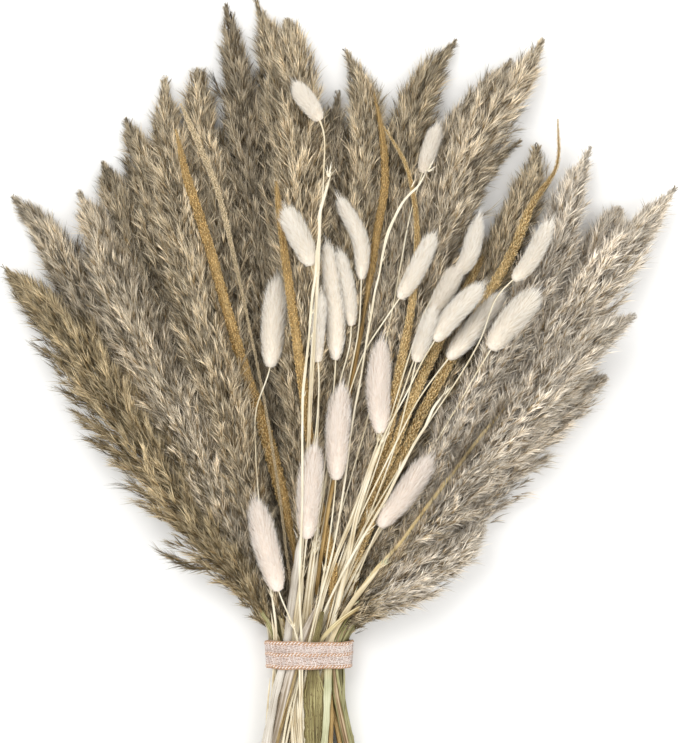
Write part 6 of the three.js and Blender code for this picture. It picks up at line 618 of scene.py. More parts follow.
    # spikelets along the locks
    n_spk = int(15 * (0.4 + 0.6 * dense))
    k = np.repeat(np.arange(n_lock), n_spk)
    tau = (np.tile(np.arange(n_spk), n_lock) + rng.uniform(0, 1, len(k))) / n_spk
    tau = 0.06 + 0.94 * tau
    c, ahead, rad, h, sc = lock_at(k, tau)
    c2 = lock_at(k, np.maximum(tau - 0.06, 0))[0]
    along = unit(c - c2 + ahead * 0.25)
    spread = (1 - tau) ** 0.6
    c = c + rand_perp(rng, along, len(k)) * (rng.uniform(0.1, 1.0, len(k)) * (0.5 + 2.3 * spread) * np.clip(h / 9, 0.25, 1.15))[:, None]
    lean = rng.uniform(-0.10, 0.40, len(k)) * np.where(inner[k], 0.5, 1.0) * (1 - 0.55 * np.clip((sc - 0.45 * head) / (0.35 * head), 0, 1))
    d = unit(along + rad * lean[:, None] + rand_perp(rng, along, len(k)) * rng.uniform(0, 0.26, len(k))[:, None])
    tone = lock_tone[k] + 0.10 * (tau - 0.55) - 0.24 * np.clip(1 - sc / 24, 0, 1)
    # the last of the head is thin: some spikelets are missing there
    keep = rng.uniform(0, 1, len(k)) < 0.36 + 0.64 * np.clip(sc / 32, 0, 1)
    k, tau, c, rad, h, sc, d, tone = k[keep], tau[keep], c[keep], rad[keep], h[keep], sc[keep], d[keep], tone[keep]
    # painted shade: the tone is lowered towards the head's two sides
    tone = tone + own - painted_edge_shade(c, sc, h) + 0.06 * (len(mats) > 4) * np.clip(1 - sc / (0.5 * head), 0, 1)
    tufts(c, d, rad, h, sc, tone, 6, 7.5, 13.0, 0.24, 0.46, 0.24)
    tufts(c, d, rad, h, sc, tone + 0.06, 4, 7.0, 12.5, 0.14, 0.26, 0.36)
    # husks at the hairs' feet
    n = len(c)
    dh = unit(d + rand_perp(rng, d, n) * rng.uniform(0.05, 0.28, n)[:, None])
    ln = np.minimum(rng.uniform(4.0, 6.5, n) * np.clip(0.5 + h / 16, 0.5, 1), sc + 1.5)
    bag.blades(c - d * rng.uniform(0.0, 2.0, n)[:, None], dh, unit(rad + rng.normal(0, 0.4, (n, 3))), ln, rng.uniform(0.45, 0.8, n), rad * rng.uniform(-0.3, 0.3, n)[:, None],
               (0.05, 0.95), 0.63 + rng.uniform(0, 0.09, n), mat=1, mid=0.45, taper=1.0)
    # fluff between the locks, nearer to the middle and painted darker, the more so the deeper it lies and towards the
    # head's sides: painted shade
    n = int(head * 4.2 * dense)
    sf = np.interp(rng.uniform(0, 1, n), cum, f * head)
    ang = rng.uniform(0, 2 * math.pi, n)
    rho = rng.uniform(0.25, 0.80, n)
    t, side, up = p.frame(sf)
    h = wide(sf)
    rad2 = side * np.cos(ang)[:, None] + up * np.sin(ang)[:, None]
    c = p.at(sf) + side * (np.cos(ang) * rho * h)[:, None] + up * (np.sin(ang) * rho * h * flat)[:, None]
    d = unit(-t + rad2 * rng.uniform(0.05, 0.50, n)[:, None] + rng.normal(0, 0.12, (n, 3)))
    tufts(c, d, rad2, h, sf, -0.38 + 0.38 * (rho - 0.25) + own - 0.6 * painted_edge_shade(c, sf, h) + rng.normal(0, 0.06, n), 6, 7.0, 12.0, 0.36, 0.66, 0.36)
    # side branches, one in each lock
    taus = np.linspace(0, 0.95, 6)
    kb = np.arange(n_lock)
    pts = np.stack([p.at(np.minimum(sj + length * rho0 * 0.9, s_end - 1))] + [lock_at(kb, np.full(n_lock, t))[0] for t in taus], 1)
    tg = unit(np.gradient(pts, axis=1))
    side = unit(np.cross(tg, np.array([0.0, 0.0, 1.0])))
    upv = unit(np.cross(side, tg))
    r = np.linspace(0.30, 0.10, 7)[None, :, None]
    ring = np.stack([side * r, -side * r * 0.5 + upv * r * 0.87, -side * r * 0.5 - upv * r * 0.87], 2)
    vv = pts[:, :, None] + ring
    q = []
    for a in range(6):
        for b in range(3):
            q.append([a * 3 + b, a * 3 + (b + 1) % 3, (a + 1) * 3 + (b + 1) % 3, (a + 1) * 3 + b])
    q = (np.array(q)[None] + (np.arange(n_lock) * 21)[:, None, None]).reshape(-1, 4)
    uu = np.empty((n_lock, 7, 3, 2))
    uu[..., 0] = np.linspace(0.1, 0.9, 7)[None, :, None]
    uu[..., 1] = 0.655 + np.array([0, 0.008, 0.016])[None, None, :]
    bag.add(vv, uu, quad=q, mat=1)
    # the head's own middle stalk
    s = np.linspace(1.0, s_end - 12, 50)
    r = np.interp(s, [0, s_end], [0.22, 1.15])
    bag.tube(p, s, r, r, sides=6, uvbox=(0.1, 0.5, 0.64, 0.73), mat=1)
    over = ceiling(p)
    bag.v = [settle(x, over) for x in bag.v]
    # the bare stalk, from the foot of the head down to the cut
    low = NECK["stalk"].get(name, 1.85)
    s = np.linspace(s_end - 14, p.L, 60)
    r = np.interp(s, [s_end - 14, s_end + 2, p.L], [1.05, low, low * 1.03])
    if name in FOOT:
        r = np.interp(s, [s_end - 14, p.s_of_y(Y_TIE_TOP), p.s_of_y(Y_TIE_LOW), p.L], [1.0, 1.2, low, low])
    node = p.L - rng.uniform(28, 75)
    s2 = np.unique(np.concatenate([s, [node - 3, node - 1.5, node, node + 1.5, node + 3]]))
    r2 = np.interp(s2, s, r) * (1 + 0.16 * np.exp(-(((s2 - node) / 1.6) ** 2))) * (1 + 0.03 * np.sin(s2 * 0.35 + rng.uniform(0, 6)))
    n = 18
    a = np.linspace(0, 2 * math.pi, n, endpoint=False)[None]
    flute = 1 + 0.055 * np.cos(a * 6 + rng.uniform(0, 6)) + 0.035 * np.cos(a * 4 + s2[:, None] * 0.02)
    bag.tube(p, s2, r2 * 1.10, r2 * 0.84, sides=n, uvbox=(0.0, 1.0, 0.76, 0.87), mat=2, hollow1=0.55, ring=flute)
    # dry leaf sheaths that cling to it: long narrow strips, a little rolled, narrower at their ends
    for j in range(3):
        a0 = (s_end if name not in FOOT else p.s_of_y(Y_TIE_TOP - 8)) + rng.uniform(-26, 6) * (name not in FOOT)
        a1 = p.L - rng.uniform(0, 22)
        ss = np.linspace(a0, a1, 46)
        x = (ss - a0) / (a1 - a0)
        around = rng.uniform(0.1, 3.0) + 0.5 * np.sin(x * 3 + rng.uniform(0, 6))
        t, side, up = p.frame(ss)
        out = side * np.cos(around)[:, None] + up * np.sin(around)[:, None]
        tang = -side * np.sin(around)[:, None] + up * np.cos(around)[:, None]
        rr = np.interp(ss, s2, r2)
        c = p.at(ss) + out * (rr * np.where(np.abs(np.cos(around)) > 0.5, 1.10, 0.92) + 0.12)[:, None]
        w = rng.uniform(0.45, 1.0) * (1 + 0.10 * np.sin(ss * 0.12 + j)) * np.clip(x / 0.08, 0.15, 1) * np.clip((1 - x) / 0.05, 0.3, 1)
        bag.strip(within(c, rng.uniform(0.3, 0.7)), tang, out, w, 0.88 + 0.04 * j, mat=3)
    return bag.mesh("vis_" + name, mats)


def within(c, gap):
    """Keeps what lies on a stem under the ribbon where the ribbon holds it."""
    c = c.copy()
    y0, y1 = Y_TIE_LOW, Y_TIE_TOP
    k = np.clip((c[:, 1] - y0 + 8) / 8, 0, 1) * np.clip((y1 + 8 - c[:, 1]) / 8, 0, 1)
    ex, ez = c[:, 0] - NX, c[:, 2] - NZ
    q = np.hypot(ex / (NECK["a"] - 0.9 - gap), ez / (NECK["b"] - 0.9 - gap))
    f = 1 + k * (1 / np.maximum(q, 1) - 1)
    c[:, 0], c[:, 2] = NX + ex * f, np.maximum(NZ + ez * f, 0.3)
    return c


def bunny(name, mats, rng, n_hair=5200):
    p = PATHS[name]
    bag = Bag()
    sh = HEAD[name] * p.L
    # the head's body
    f = np.array([0.0, 0.02, 0.06, 0.12, 0.2, 0.32, 0.45, 0.6, 0.74, 0.85, 0.93, 0.98, 1.0])
    s = f * sh
    w = p.half(s)
    wmax = p.half(np.linspace(0, sh, 60)).max()
    # the foot is round and blunt
    foot = wmax * np.clip(1 - (np.clip(f - 0.60, 0, 1) / 0.405) ** 3.4, 0.004, 1) ** 0.42
    w = np.where(f > 0.6, np.minimum(np.maximum(w, foot * 0.95), wmax), w)
    body = np.minimum(w, wmax) * 0.70
    body[0] = 0.15
    body[-1] = 0.6
    bag.tube(p, s + 0.6, body, body, sides=16, uvbox=(0.05, 0.35, 0.90, 0.99), mat=0)
    fs = (np.arange(n_hair) + rng.uniform(0, 1, n_hair)) / n_hair
    grid = np.linspace(0, 1, 200)
    dens = np.maximum(np.interp(grid * sh, s, body), 0.8)
    cum = np.cumsum(dens)
    cum /= cum[-1]
    sf = np.interp(fs, cum, grid) * sh
    phi = rng.uniform(0, 2 * math.pi, n_hair)
    c = p.at(sf + 0.6)
    t, side, up = p.frame(sf)
    rad = side * np.cos(phi)[:, None] + up * np.sin(phi)[:, None]
    rb = np.interp(sf, s, body)
    base = c + rad * (rb * 0.9)[:, None]
    gap = np.interp(sf, s, np.minimum(w, wmax)) - rb
    q = sf / sh
    lean = np.interp(q, [0, 0.12, 0.8, 0.94, 1.0], [0.16, 0.42, 0.60, 0.95, 1.75])
    d = unit(-t * np.cos(lean)[:, None] + rad * np.sin(lean)[:, None] + rand_perp(rng, t, n_hair) * 0.13)
    ln = (gap / np.maximum(np.sin(lean), 0.3) + 1.0) * rng.uniform(0.75, 1.25, n_hair)
    ln = np.clip(ln * 1.12, 1.8, 7.2) * np.interp(q, [0, 0.1, 0.3, 0.9, 1.0], [1.3, 1.2, 1.05, 0.90, 0.62])
    bend = -rad * (rng.uniform(-0.1, 0.35, n_hair) * ln * 0.25)[:, None] - t * (ln * 0.12)[:, None]
    # the hairs at the head's foot are painted darker: painted shade under the head
    tv = 0.02 + 0.58 * np.clip(0.5 + rng.normal(0, 0.17, n_hair) - 0.35 * np.clip((q - 0.86) / 0.14, 0, 1), 0, 1)
    bag.blades(base, d, rad + rng.normal(0, 0.5, (n_hair, 3)), ln, rng.uniform(0.10, 0.19, n_hair), bend, (0.04, 0.96), tv, mat=0, mid=0.5, taper=0.9)
    # awns, a few longer hairs
    m = n_hair // 14
    j = rng.choice(n_hair, m, replace=False)
    bag.blades(base[j], unit(-t[j] * 0.9 + rad[j] * 0.42 + rng.normal(0, 0.08, (m, 3))), rad[j], ln[j] * 1.35, np.full(m, 0.09), bend[j], (0.3, 0.98), tv[j], mat=0)
    bag.v = [np.where((np.arange(3) == 2)[None, :], np.maximum(x, 0.15), x) for x in bag.v]
    # the thin stem, and round its lower part a flat leaf sheath with a split top
    s = np.linspace(sh - 1.5, p.L, int((p.L - sh) / 3) + 3)
    ra = p.half(np.maximum(s, sh + 1.6))
    g = np.where(ra > 0.6)[0]
    if len(g):
        s0 = s[g[0]]
        st = np.linspace(sh - 1.5, s0 + 14, 40)
        bag.tube(p, st, 0.42, 0.42, sides=7, uvbox=(0.0, 0.9, 0.1, 0.9), mat=2)
        sf = np.linspace(s0, p.L, int((p.L - s0) / 2.5))
        x = sf - s0
        wob = 1 + 0.09 * np.sin(x * 0.09 + rng.uniform(0, 6)) + 0.05 * np.sin(x * 0.31 + rng.uniform(0, 6)) + rng.normal(0, 0.02, len(sf))
        rf = p.half(sf) * wob * np.clip(0.45 + x / 9, 0.45, 1) * np.where(p.at(sf)[:, 1] > Y_TIE_TOP, SLIM.get(name, 1.0), 1.0)
        n = 12
        a = np.linspace(0, 2 * math.pi, n, endpoint=False)[None]
        fold = 1 + 0.12 * np.cos(a * 3 + rng.uniform(0, 6)) + 0.09 * np.sin(a * 7 + x[:, None] * 0.03)
        bag.tube(p, sf, rf * 0.88, np.clip(rf * 0.36, 0.40, 0.60), sides=n, uvbox=(0.0, 1.0, 0.70, 0.86), mat=1, ring=fold)
        # slivers of the sheath that lie beside it and cross over it
        for j in range(3):
            a0, a1 = s0 + rng.uniform(2, 60) * (p.L - s0) / 150, p.L - rng.uniform(0, 30)
            if a1 - a0 < 30:
                continue
            ss = np.linspace(a0, a1, 34)
            xx = (ss - a0) / (a1 - a0)
            t, side, up = p.frame(ss)
            o0, o1 = rng.uniform(-2.6, 2.6, 2)
            c = p.at(ss) + side * (o0 + (o1 - o0) * xx)[:, None] + up * (0.45 + 0.25 * j)
            w = rng.uniform(0.30, 0.62) * np.clip(xx / 0.10, 0.12, 1) * (1 + 0.08 * np.sin(ss * 0.2 + j))
            bag.strip(within(c, rng.uniform(0.2, 0.5)), side, up, w, 0.88 + 0.035 * j, mat=1)
        m = 4
        c = p.at(np.full(m, s0 + 1.0))
        t, side, up = p.frame(np.full(m, s0 + 1.0))
        o = np.linspace(-1, 1, m)
        bag.blades(c + side * (o * rf[0])[:, None], unit(-t + side * (o * 0.22)[:, None] + up * rng.uniform(0.05, 0.25, m)[:, None]), up, rng.uniform(4, 11, m), rng.uniform(0.4, 0.8, m), side * (o * 0.6)[:, None],
                   (0.1, 0.9), rng.uniform(0.72, 0.86, m), mat=1)
    else:
        bag.tube(p, s, 0.44, 0.44, sides=8, uvbox=(0.0, 0.9, 0.1, 0.9), mat=2)
    return bag.mesh("vis_" + name, mats)


def gold(name, mats, rng, bare=None, grain=1.0):
    p = PATHS[name]
    bag = Bag()
    yy = [p.s_of_y(a) for a, b in FULLER.get(name, [(0, 1)])]
    fuller = lambda s: np.interp(s, yy, [b for a, b in FULLER.get(name, [(0, 1)])])
    # where the head ends and the bare stalk starts
    w = p.w * fuller(p.s)
    thick = p.s[np.where(w > 0.62 * w.max())[0].max()]
    s_head = min(thick + 14, p.s_of_y(Y_TIE_TOP + 3)) if bare is None else bare
    s = np.linspace(0, p.L, 150)
    half = p.half(s) * fuller(s)
    body = np.where(s < s_head, np.maximum(half - 0.8, 0.25), np.minimum(half, 1.35))
    body[0] = 0.12
    rngw = 1 + 0.06 * np.sin(s * 0.5 + rng.uniform(0, 6)) + rng.normal(0, 0.03, len(s))
    bag.tube(p, s, body * rngw, body * rngw, sides=12, uvbox=(0.0, 1.0, 0.72, 0.98), mat=1)
    grid = np.linspace(0, s_head, 500)
    dens = np.maximum(p.half(grid) * fuller(grid), 0.5)
    area = np.trapz(dens * 2 * math.pi, grid)
    n = int(area / (0.95 * grain))
    cum = np.cumsum(dens)
    cum /= cum[-1]
    sf = np.interp((np.arange(n) + rng.uniform(0, 1, n)) / n, cum, grid)
    phi = np.arange(n) * 2.39996 + rng.uniform(-0.35, 0.35, n)
    c = p.at(sf)
    t, side, up = p.frame(sf)
    rad = side * np.cos(phi)[:, None] + up * np.sin(phi)[:, None]
    h = p.half(sf) * fuller(sf)
    pale = name.startswith("pale")
    size = np.clip(h / 2.3, 0.62, 1.0) if pale else np.clip(h / 3.6, 0.45, 1.0)
    lump = 1 + 0.09 * np.sin(sf * 0.9 + 3 * np.sin(phi * 2)) + rng.normal(0, 0.05, n)
    base = c + rad * (np.maximum(h * lump - 1.25 * size, 0.12))[:, None]
    d = unit(-t * 0.80 + rad * (rng.uniform(0.35, 0.75, n) * (1.5 if pale else 1))[:, None] + rng.normal(0, 0.12, (n, 3)))
    L = rng.uniform(1.25, 1.9, n) * size
    W = rng.uniform(0.36, 0.52, n) * size
    e1 = unit(np.cross(d, rad))
    e2 = unit(np.cross(e1, d))
    fr = np.array([0.0, 0.28, 0.68, 1.0])
    wd = np.array([0.25, 1.0, 0.78, 0.0])
    rings = []
    for a, b in zip(fr[1:3], wd[1:3]):
        for g in range(5):
            an = g * 2 * math.pi / 5
            rings.append(base + d * (L * a)[:, None] + (e1 * math.cos(an) + e2 * math.sin(an)) * (W * b)[:, None])
    vv = np.stack([base] + rings + [base + d * L[:, None]], 1)
    tri, quad = [], []
    for g in range(5):
        tri.append([0, 1 + (g + 1) % 5, 1 + g])
        quad.append([1 + g, 1 + (g + 1) % 5, 6 + (g + 1) % 5, 6 + g])
        tri.append([11, 6 + g, 6 + (g + 1) % 5])
    k = np.arange(n)[:, None, None] * 12
    uu = np.empty((n, 12, 2))
    uu[:, 0, 0], uu[:, 1:6, 0], uu[:, 6:11, 0], uu[:, 11, 0] = 0.05, 0.35, 0.7, 0.95
    tv = 0.02 + 0.58 * np.clip(0.5 + rng.normal(0, 0.27, n), 0, 1)
    uu[:, :, 1] = tv[:, None] + np.linspace(0, 0.006, 12)[None]
    bag.add(vv, uu, tri=(np.array(tri)[None] + k).reshape(-1, 3), quad=(np.array(quad)[None] + k).reshape(-1, 4), mat=0)
    # short bristles between the grains
    m = int(n * 0.8)
    j = rng.choice(n, m, replace=False)
    bag.blades(base[j], unit(-t[j] * 0.9 + rad[j] * 0.55 + rng.normal(0, 0.20, (m, 3))), rad[j], rng.uniform(1.8, 3.1, m) * size[j], np.full(m, 0.12), np.zeros((m, 3)), (0.5, 0.98), tv[j], mat=0)
    bag.v = [np.where((np.arange(3) == 2)[None, :], np.maximum(x, 0.15), x) for x in bag.v]
    return bag.mesh("vis_" + name, mats)


def straw(name, mats, rng, kinks=0.0, fray=6, thick=0.34, wide=1.0, uvv=(0.0, 0.6)):
    """A flat straw with rolled edges, uneven along its length, its top split into slivers."""
    p = PATHS[name]
    bag = Bag()
    n = int(p.L / 3)
    s = np.linspace(0, p.L, n)
    half = p.half(s) * wide * np.where(p.at(s)[:, 1] > Y_TIE_TOP, SLIM.get(name, 1.0), 1.0)
    rough = 1 + 0.10 * np.sin(s * 0.13 + rng.uniform(0, 6)) + 0.07 * np.sin(s * 0.41 + rng.uniform(0, 6)) + rng.normal(0, 0.035, n)
    ra = half * rough
    rb = np.maximum(ra * thick, 0.28)
    wob = (kinks * np.exp(-s / 45) * np.interp(s, np.arange(0, p.L + 20, 11), rng.normal(0, 1, len(np.arange(0, p.L + 20, 11)))), ra * 0)
    taper = np.clip(s / 5, 0.35, 1)
    bag.tube(p, s, ra * taper, rb, sides=10, uvbox=(0.0, 1.0, *uvv), mat=0, wob=wob)
    m = fray
    if m:
        c = p.at(np.zeros(m) + 1.0)
        t, side, up = p.frame(np.full(m, 1.0))
        o = rng.uniform(-1, 1, m)
        bag.blades(c + side * (o * half[0])[:, None], unit(-t + side * (o * 0.35)[:, None] + up * rng.normal(0, 0.2, m)[:, None]), up, rng.uniform(3, 9, m), rng.uniform(0.3, 0.8, m), side * (o * 1.2)[:, None],
                   (0.1, 0.9), rng.uniform(0.65, 0.95, m), mat=0)
        # chips lifted along the edge
        q = 5
        sc = rng.uniform(8, min(160, p.L * 0.5), q)
        c = p.at(sc)
        t, side, up = p.frame(sc)
        sg = rng.choice([-1, 1], q)
        bag.blades(c + side * (sg * p.half(sc) * 0.6)[:, None], unit(-t + side * (sg * 0.28)[:, None] + up * 0.15), up, rng.uniform(3, 7, q), rng.uniform(0.4, 0.9, q), up * 0.4, (0.1, 0.9), rng.uniform(0.65, 0.95, q), mat=0)
    return bag.mesh("vis_" + name, mats)


def leaf(name, mats, rng):
    """A broad dry leaf: curved across, with a midrib and wavy edges."""
    p = PATHS[name]
    bag = Bag()
    n, m = 90, 25
    s = np.linspace(0, p.L, n)
    half = p.half(s) * (1 + 0.06 * np.sin(s * 0.31) + 0.05 * np.sin(s * 0.83 + 1) + 0.03 * np.sin(s * 1.9))
    half = half + 2.2 * np.exp(-(((s - p.s_of_y(Y_TIE_LOW - 13)) / 11) ** 2))
    c = p.at(s)
    t, side, up = p.frame(s)
    x = np.linspace(-1, 1, m)
    wave = 0.35 * np.sin(s[:, None] * 0.22 + x[None] * 2.2) * np.abs(x)[None] ** 2 * np.clip(half / 4, 0, 1)[:, None]
    cup = -0.10 * half[:, None] * np.abs(x)[None] ** 1.5
    rib = 0.32 * np.exp(-((x[None] / 0.10) ** 2)) * np.ones((n, 1))
    veins = 0.05 * np.sin((s[:, None] * 2.4 + np.abs(x)[None] * 9)) + 0.16 * np.sin(x[None] * 11 + 0.02 * s[:, None]) + 0.10 * np.sin(x[None] * 23 + 1.3)
    top = c[:, None] + side[:, None] * (x[None] * half[:, None])[..., None] + up[:, None] * (wave + cup + rib + veins + 0.16)[..., None]
    bot = c[:, None] + side[:, None] * (x[None] * half[:, None] * 0.995)[..., None] + up[:, None] * (wave + cup + rib * 0.6 - 0.16)[..., None]
    i, j = np.meshgrid(np.arange(n - 1), np.arange(m - 1), indexing="ij")
    A = i * m + j
    q = np.stack([A, A + m, A + m + 1, A + 1], -1).reshape(-1, 4)
    u = np.broadcast_to((s / p.L)[:, None], (n, m))
    v = np.broadcast_to((x * 0.5 + 0.5)[None] * 0.5, (n, m))
    bag.add(np.concatenate([top.reshape(-1, 3), bot.reshape(-1, 3)]), np.concatenate([np.stack([u, v], -1).reshape(-1, 2), np.stack([u, v + 0.5], -1).reshape(-1, 2)]),
            quad=np.concatenate([q, (q + n * m)[:, ::-1]]), mat=0)
    # edges closed
    e = []
    for k in range(n - 1):
        a, b = k * m, k * m + m - 1
        e += [[a, a + n * m, a + m + n * m, a + m], [b, b + m, b + m + n * m, b + n * m]]
    for k in range(m - 1):
        a, b = k, (n - 1) * m + k
        e += [[a, a + 1, a + 1 + n * m, a + n * m], [b, b + n * m, b + 1 + n * m, b + 1]]
    bag.quad.append(np.array(e))
    bag.mq.append(np.zeros(len(e), int))
    return bag.mesh("vis_" + name, mats)


# ---------------------------------------------------------------- ribbon
def oval(a, b, n):
    """Points at even distances along an oval, their outward directions, and its whole length."""
    f = np.linspace(0, 2 * math.pi, 4001)
    x, z = a * np.cos(f), b * np.sin(f)
    L = np.concatenate([[0], np.cumsum(np.hypot(np.diff(x), np.diff(z)))])
    d = np.linspace(0, L[-1], n, endpoint=False)
    g = np.interp(d, L, f)
    nx, nz = np.cos(g) / a, np.sin(g) / b
    k = np.hypot(nx, nz)
    return a * np.cos(g), b * np.sin(g), nx / k, nz / k, L[-1]


def ring_tube(bag, xs, ys, zs, r, sides, uvbox, mat=0):
    """A closed loop of round thread through the points given."""
    c = np.stack([xs, ys, zs], -1)
    t = unit(np.roll(c, -1, 0) - np.roll(c, 1, 0))
    w = unit(np.cross(t, np.array([0.0, 1.0, 0.0])))
    h = unit(np.cross(w, t))
    a = np.linspace(0, 2 * math.pi, sides, endpoint=False)
    v = c[:, None] + w[:, None] * (np.cos(a)[None] * r)[..., None] + h[:, None] * (np.sin(a)[None] * r)[..., None]
    n = len(c)
    v = np.concatenate([v, v[:1]], 0)
    u0, u1, v0, v1 = uvbox
    uu = np.empty((n + 1, sides, 2))
    uu[..., 0] = (u0 + (u1 - u0) * np.arange(n + 1) / n)[:, None]
    uu[..., 1] = (v0 + (v1 - v0) * (0.5 - 0.5 * np.cos(a)))[None]
    i, j = np.meshgrid(np.arange(n), np.arange(sides), indexing="ij")
    A, B = i * sides + j, i * sides + (j + 1) % sides
    bag.add(v, uu, quad=np.stack([A, B, B + sides, A + sides], -1).reshape(-1, 4), mat=mat)


BAND_Y0, BAND_Y1 = Y_TIE_LOW + 0.75, Y_TIE_TOP - 0.45
BAND_W = BAND_Y1 - BAND_Y0
OV_N = 1200
OVX, OVZ, ONX, ONZ, OVL = oval(NECK["a"] - 0.5, NECK["b"] - 0.5, OV_N)
LAP = 15.0                 # the end is glued over the beginning
LAP_AT = 0.86              # where on the oval the lap lies, on the right side a little under the middle


def band_point(d, y, h):
    """A point on the ribbon: d along it, y across it, h out of its middle surface."""
    g = (d / OVL + LAP_AT) * OV_N
    x = np.interp(g % OV_N, np.arange(OV_N + 1), np.append(OVX, OVX[0]))
    z = np.interp(g % OV_N, np.arange(OV_N + 1), np.append(OVZ, OVZ[0]))
    nx = np.interp(g % OV_N, np.arange(OV_N + 1), np.append(ONX, ONX[0]))
    nz = np.interp(g % OV_N, np.arange(OV_N + 1), np.append(ONZ, ONZ[0]))
    k = np.clip((d - LAP) / 16.0, 0, 1)
    lift = -0.30 + 0.55 * k * k * (3 - 2 * k)
    # small waves in it, as stalks under it would make
    lumps = 0.16 * np.sin(d * 0.55 + 0.8) + 0.10 * np.sin(d * 1.07 + y * 0.05) + 0.05 * np.sin(d * 2.3 + y * 0.3)
    r = h + lift + lumps
    across = (y - BAND_Y0) / BAND_W
    edge = 0.5 * np.sin(d * 0.11 + 1) * (across - 0.5) + 0.22 * np.sin(d * 0.37)
    # held tighter at its lower edge
    r = r + 0.35 - 1.0 * (1 - across) + 0.12 * np.sin(d * 0.8 + 2) * np.abs(2 * across - 1)
    return np.stack([NX + x + nx * r, y + edge, NZ + z + nz * r], -1)


def make_ribbon(name, mats):
    bag = Bag()
    n, m = 760, 58
    d = np.linspace(0, OVL + LAP, n)
    y = np.linspace(BAND_Y0, BAND_Y1, m)
    D, Y = np.meshgrid(d, y, indexing="ij")
    weave = 0.045 * np.sin(D * 2 * math.pi / 0.62) * np.sin(Y * 2 * math.pi / 0.56)
    sag = -0.06 * np.cos((Y - BAND_Y0) / BAND_W * 4 * math.pi)
    out = band_point(D, Y, 0.16 + weave + sag)
    inn = band_point(D, Y, -0.16 + sag)
    i, j = np.meshgrid(np.arange(n - 1), np.arange(m - 1), indexing="ij")
    A = i * m + j
    q = np.stack([A, A + 1, A + m + 1, A + m], -1).reshape(-1, 4)
    U, V = np.meshgrid(np.linspace(0, 1, n), np.linspace(0, 0.45, m), indexing="ij")
    N = n * m
    e = []
    for k in range(n - 1):
        a, b = k * m, k * m + m - 1
        e += [[a, a + m, a + m + N, a + N], [b, b + N, b + m + N, b + m]]
    for k in range(m - 1):
        a, b = k, (n - 1) * m + k
        e += [[a, a + N, a + 1 + N, a + 1], [b, b + 1, b + 1 + N, b + N]]
    bag.add(np.concatenate([out.reshape(-1, 3), inn.reshape(-1, 3)]), np.concatenate([np.stack([U, V], -1).reshape(-1, 2), np.stack([U, V + 0.5], -1).reshape(-1, 2)]),
            quad=np.concatenate([q, (q + N)[:, ::-1], np.array(e)]), mat=0)
    return bag.mesh(name, mats)


def run_thread(bag, d, y, h, r, sides, uvbox, mat, squash=1.0):
    """A round thread lying on the ribbon along the points (d, y, h)."""
    c = band_point(d, y, h)
    t = unit(np.gradient(c, axis=0))
    w = unit(np.cross(t, np.array([0.13, 0.97, 0.2])))
    k = unit(np.cross(w, t))
    a = np.linspace(0, 2 * math.pi, sides, endpoint=False)
    r = np.broadcast_to(r, d.shape)
    v = c[:, None] + w[:, None] * (np.cos(a)[None] * r[:, None])[..., None] + k[:, None] * (np.sin(a)[None] * r[:, None])[..., None] * squash
    n = len(c)
    u0, u1, v0, v1 = uvbox
    uu = np.empty((n, sides, 2))
    uu[..., 0] = np.linspace(u0, u1, n)[:, None]
    uu[..., 1] = (v0 + (v1 - v0) * (0.5 - 0.5 * np.cos(a)))[None]
    i, j = np.meshgrid(np.arange(n - 1), np.arange(sides), indexing="ij")
    A, B = i * sides + j, i * sides + (j + 1) % sides
    end = np.array([[g for g in range(sides)][::-1]])
    bag.add(v, uu, quad=np.stack([A, B, B + sides, A + sides], -1).reshape(-1, 4), mat=mat)
    fan0 = np.stack([np.zeros(sides - 2, int), np.arange(2, sides), np.arange(1, sides - 1)], -1)
    bag.tri.append(fan0 + bag.n - n * sides)
    bag.mt.append(np.full(sides - 2, mat))
    bag.tri.append(fan0[:, ::-1] + bag.n - sides)
    bag.mt.append(np.full(sides - 2, mat))


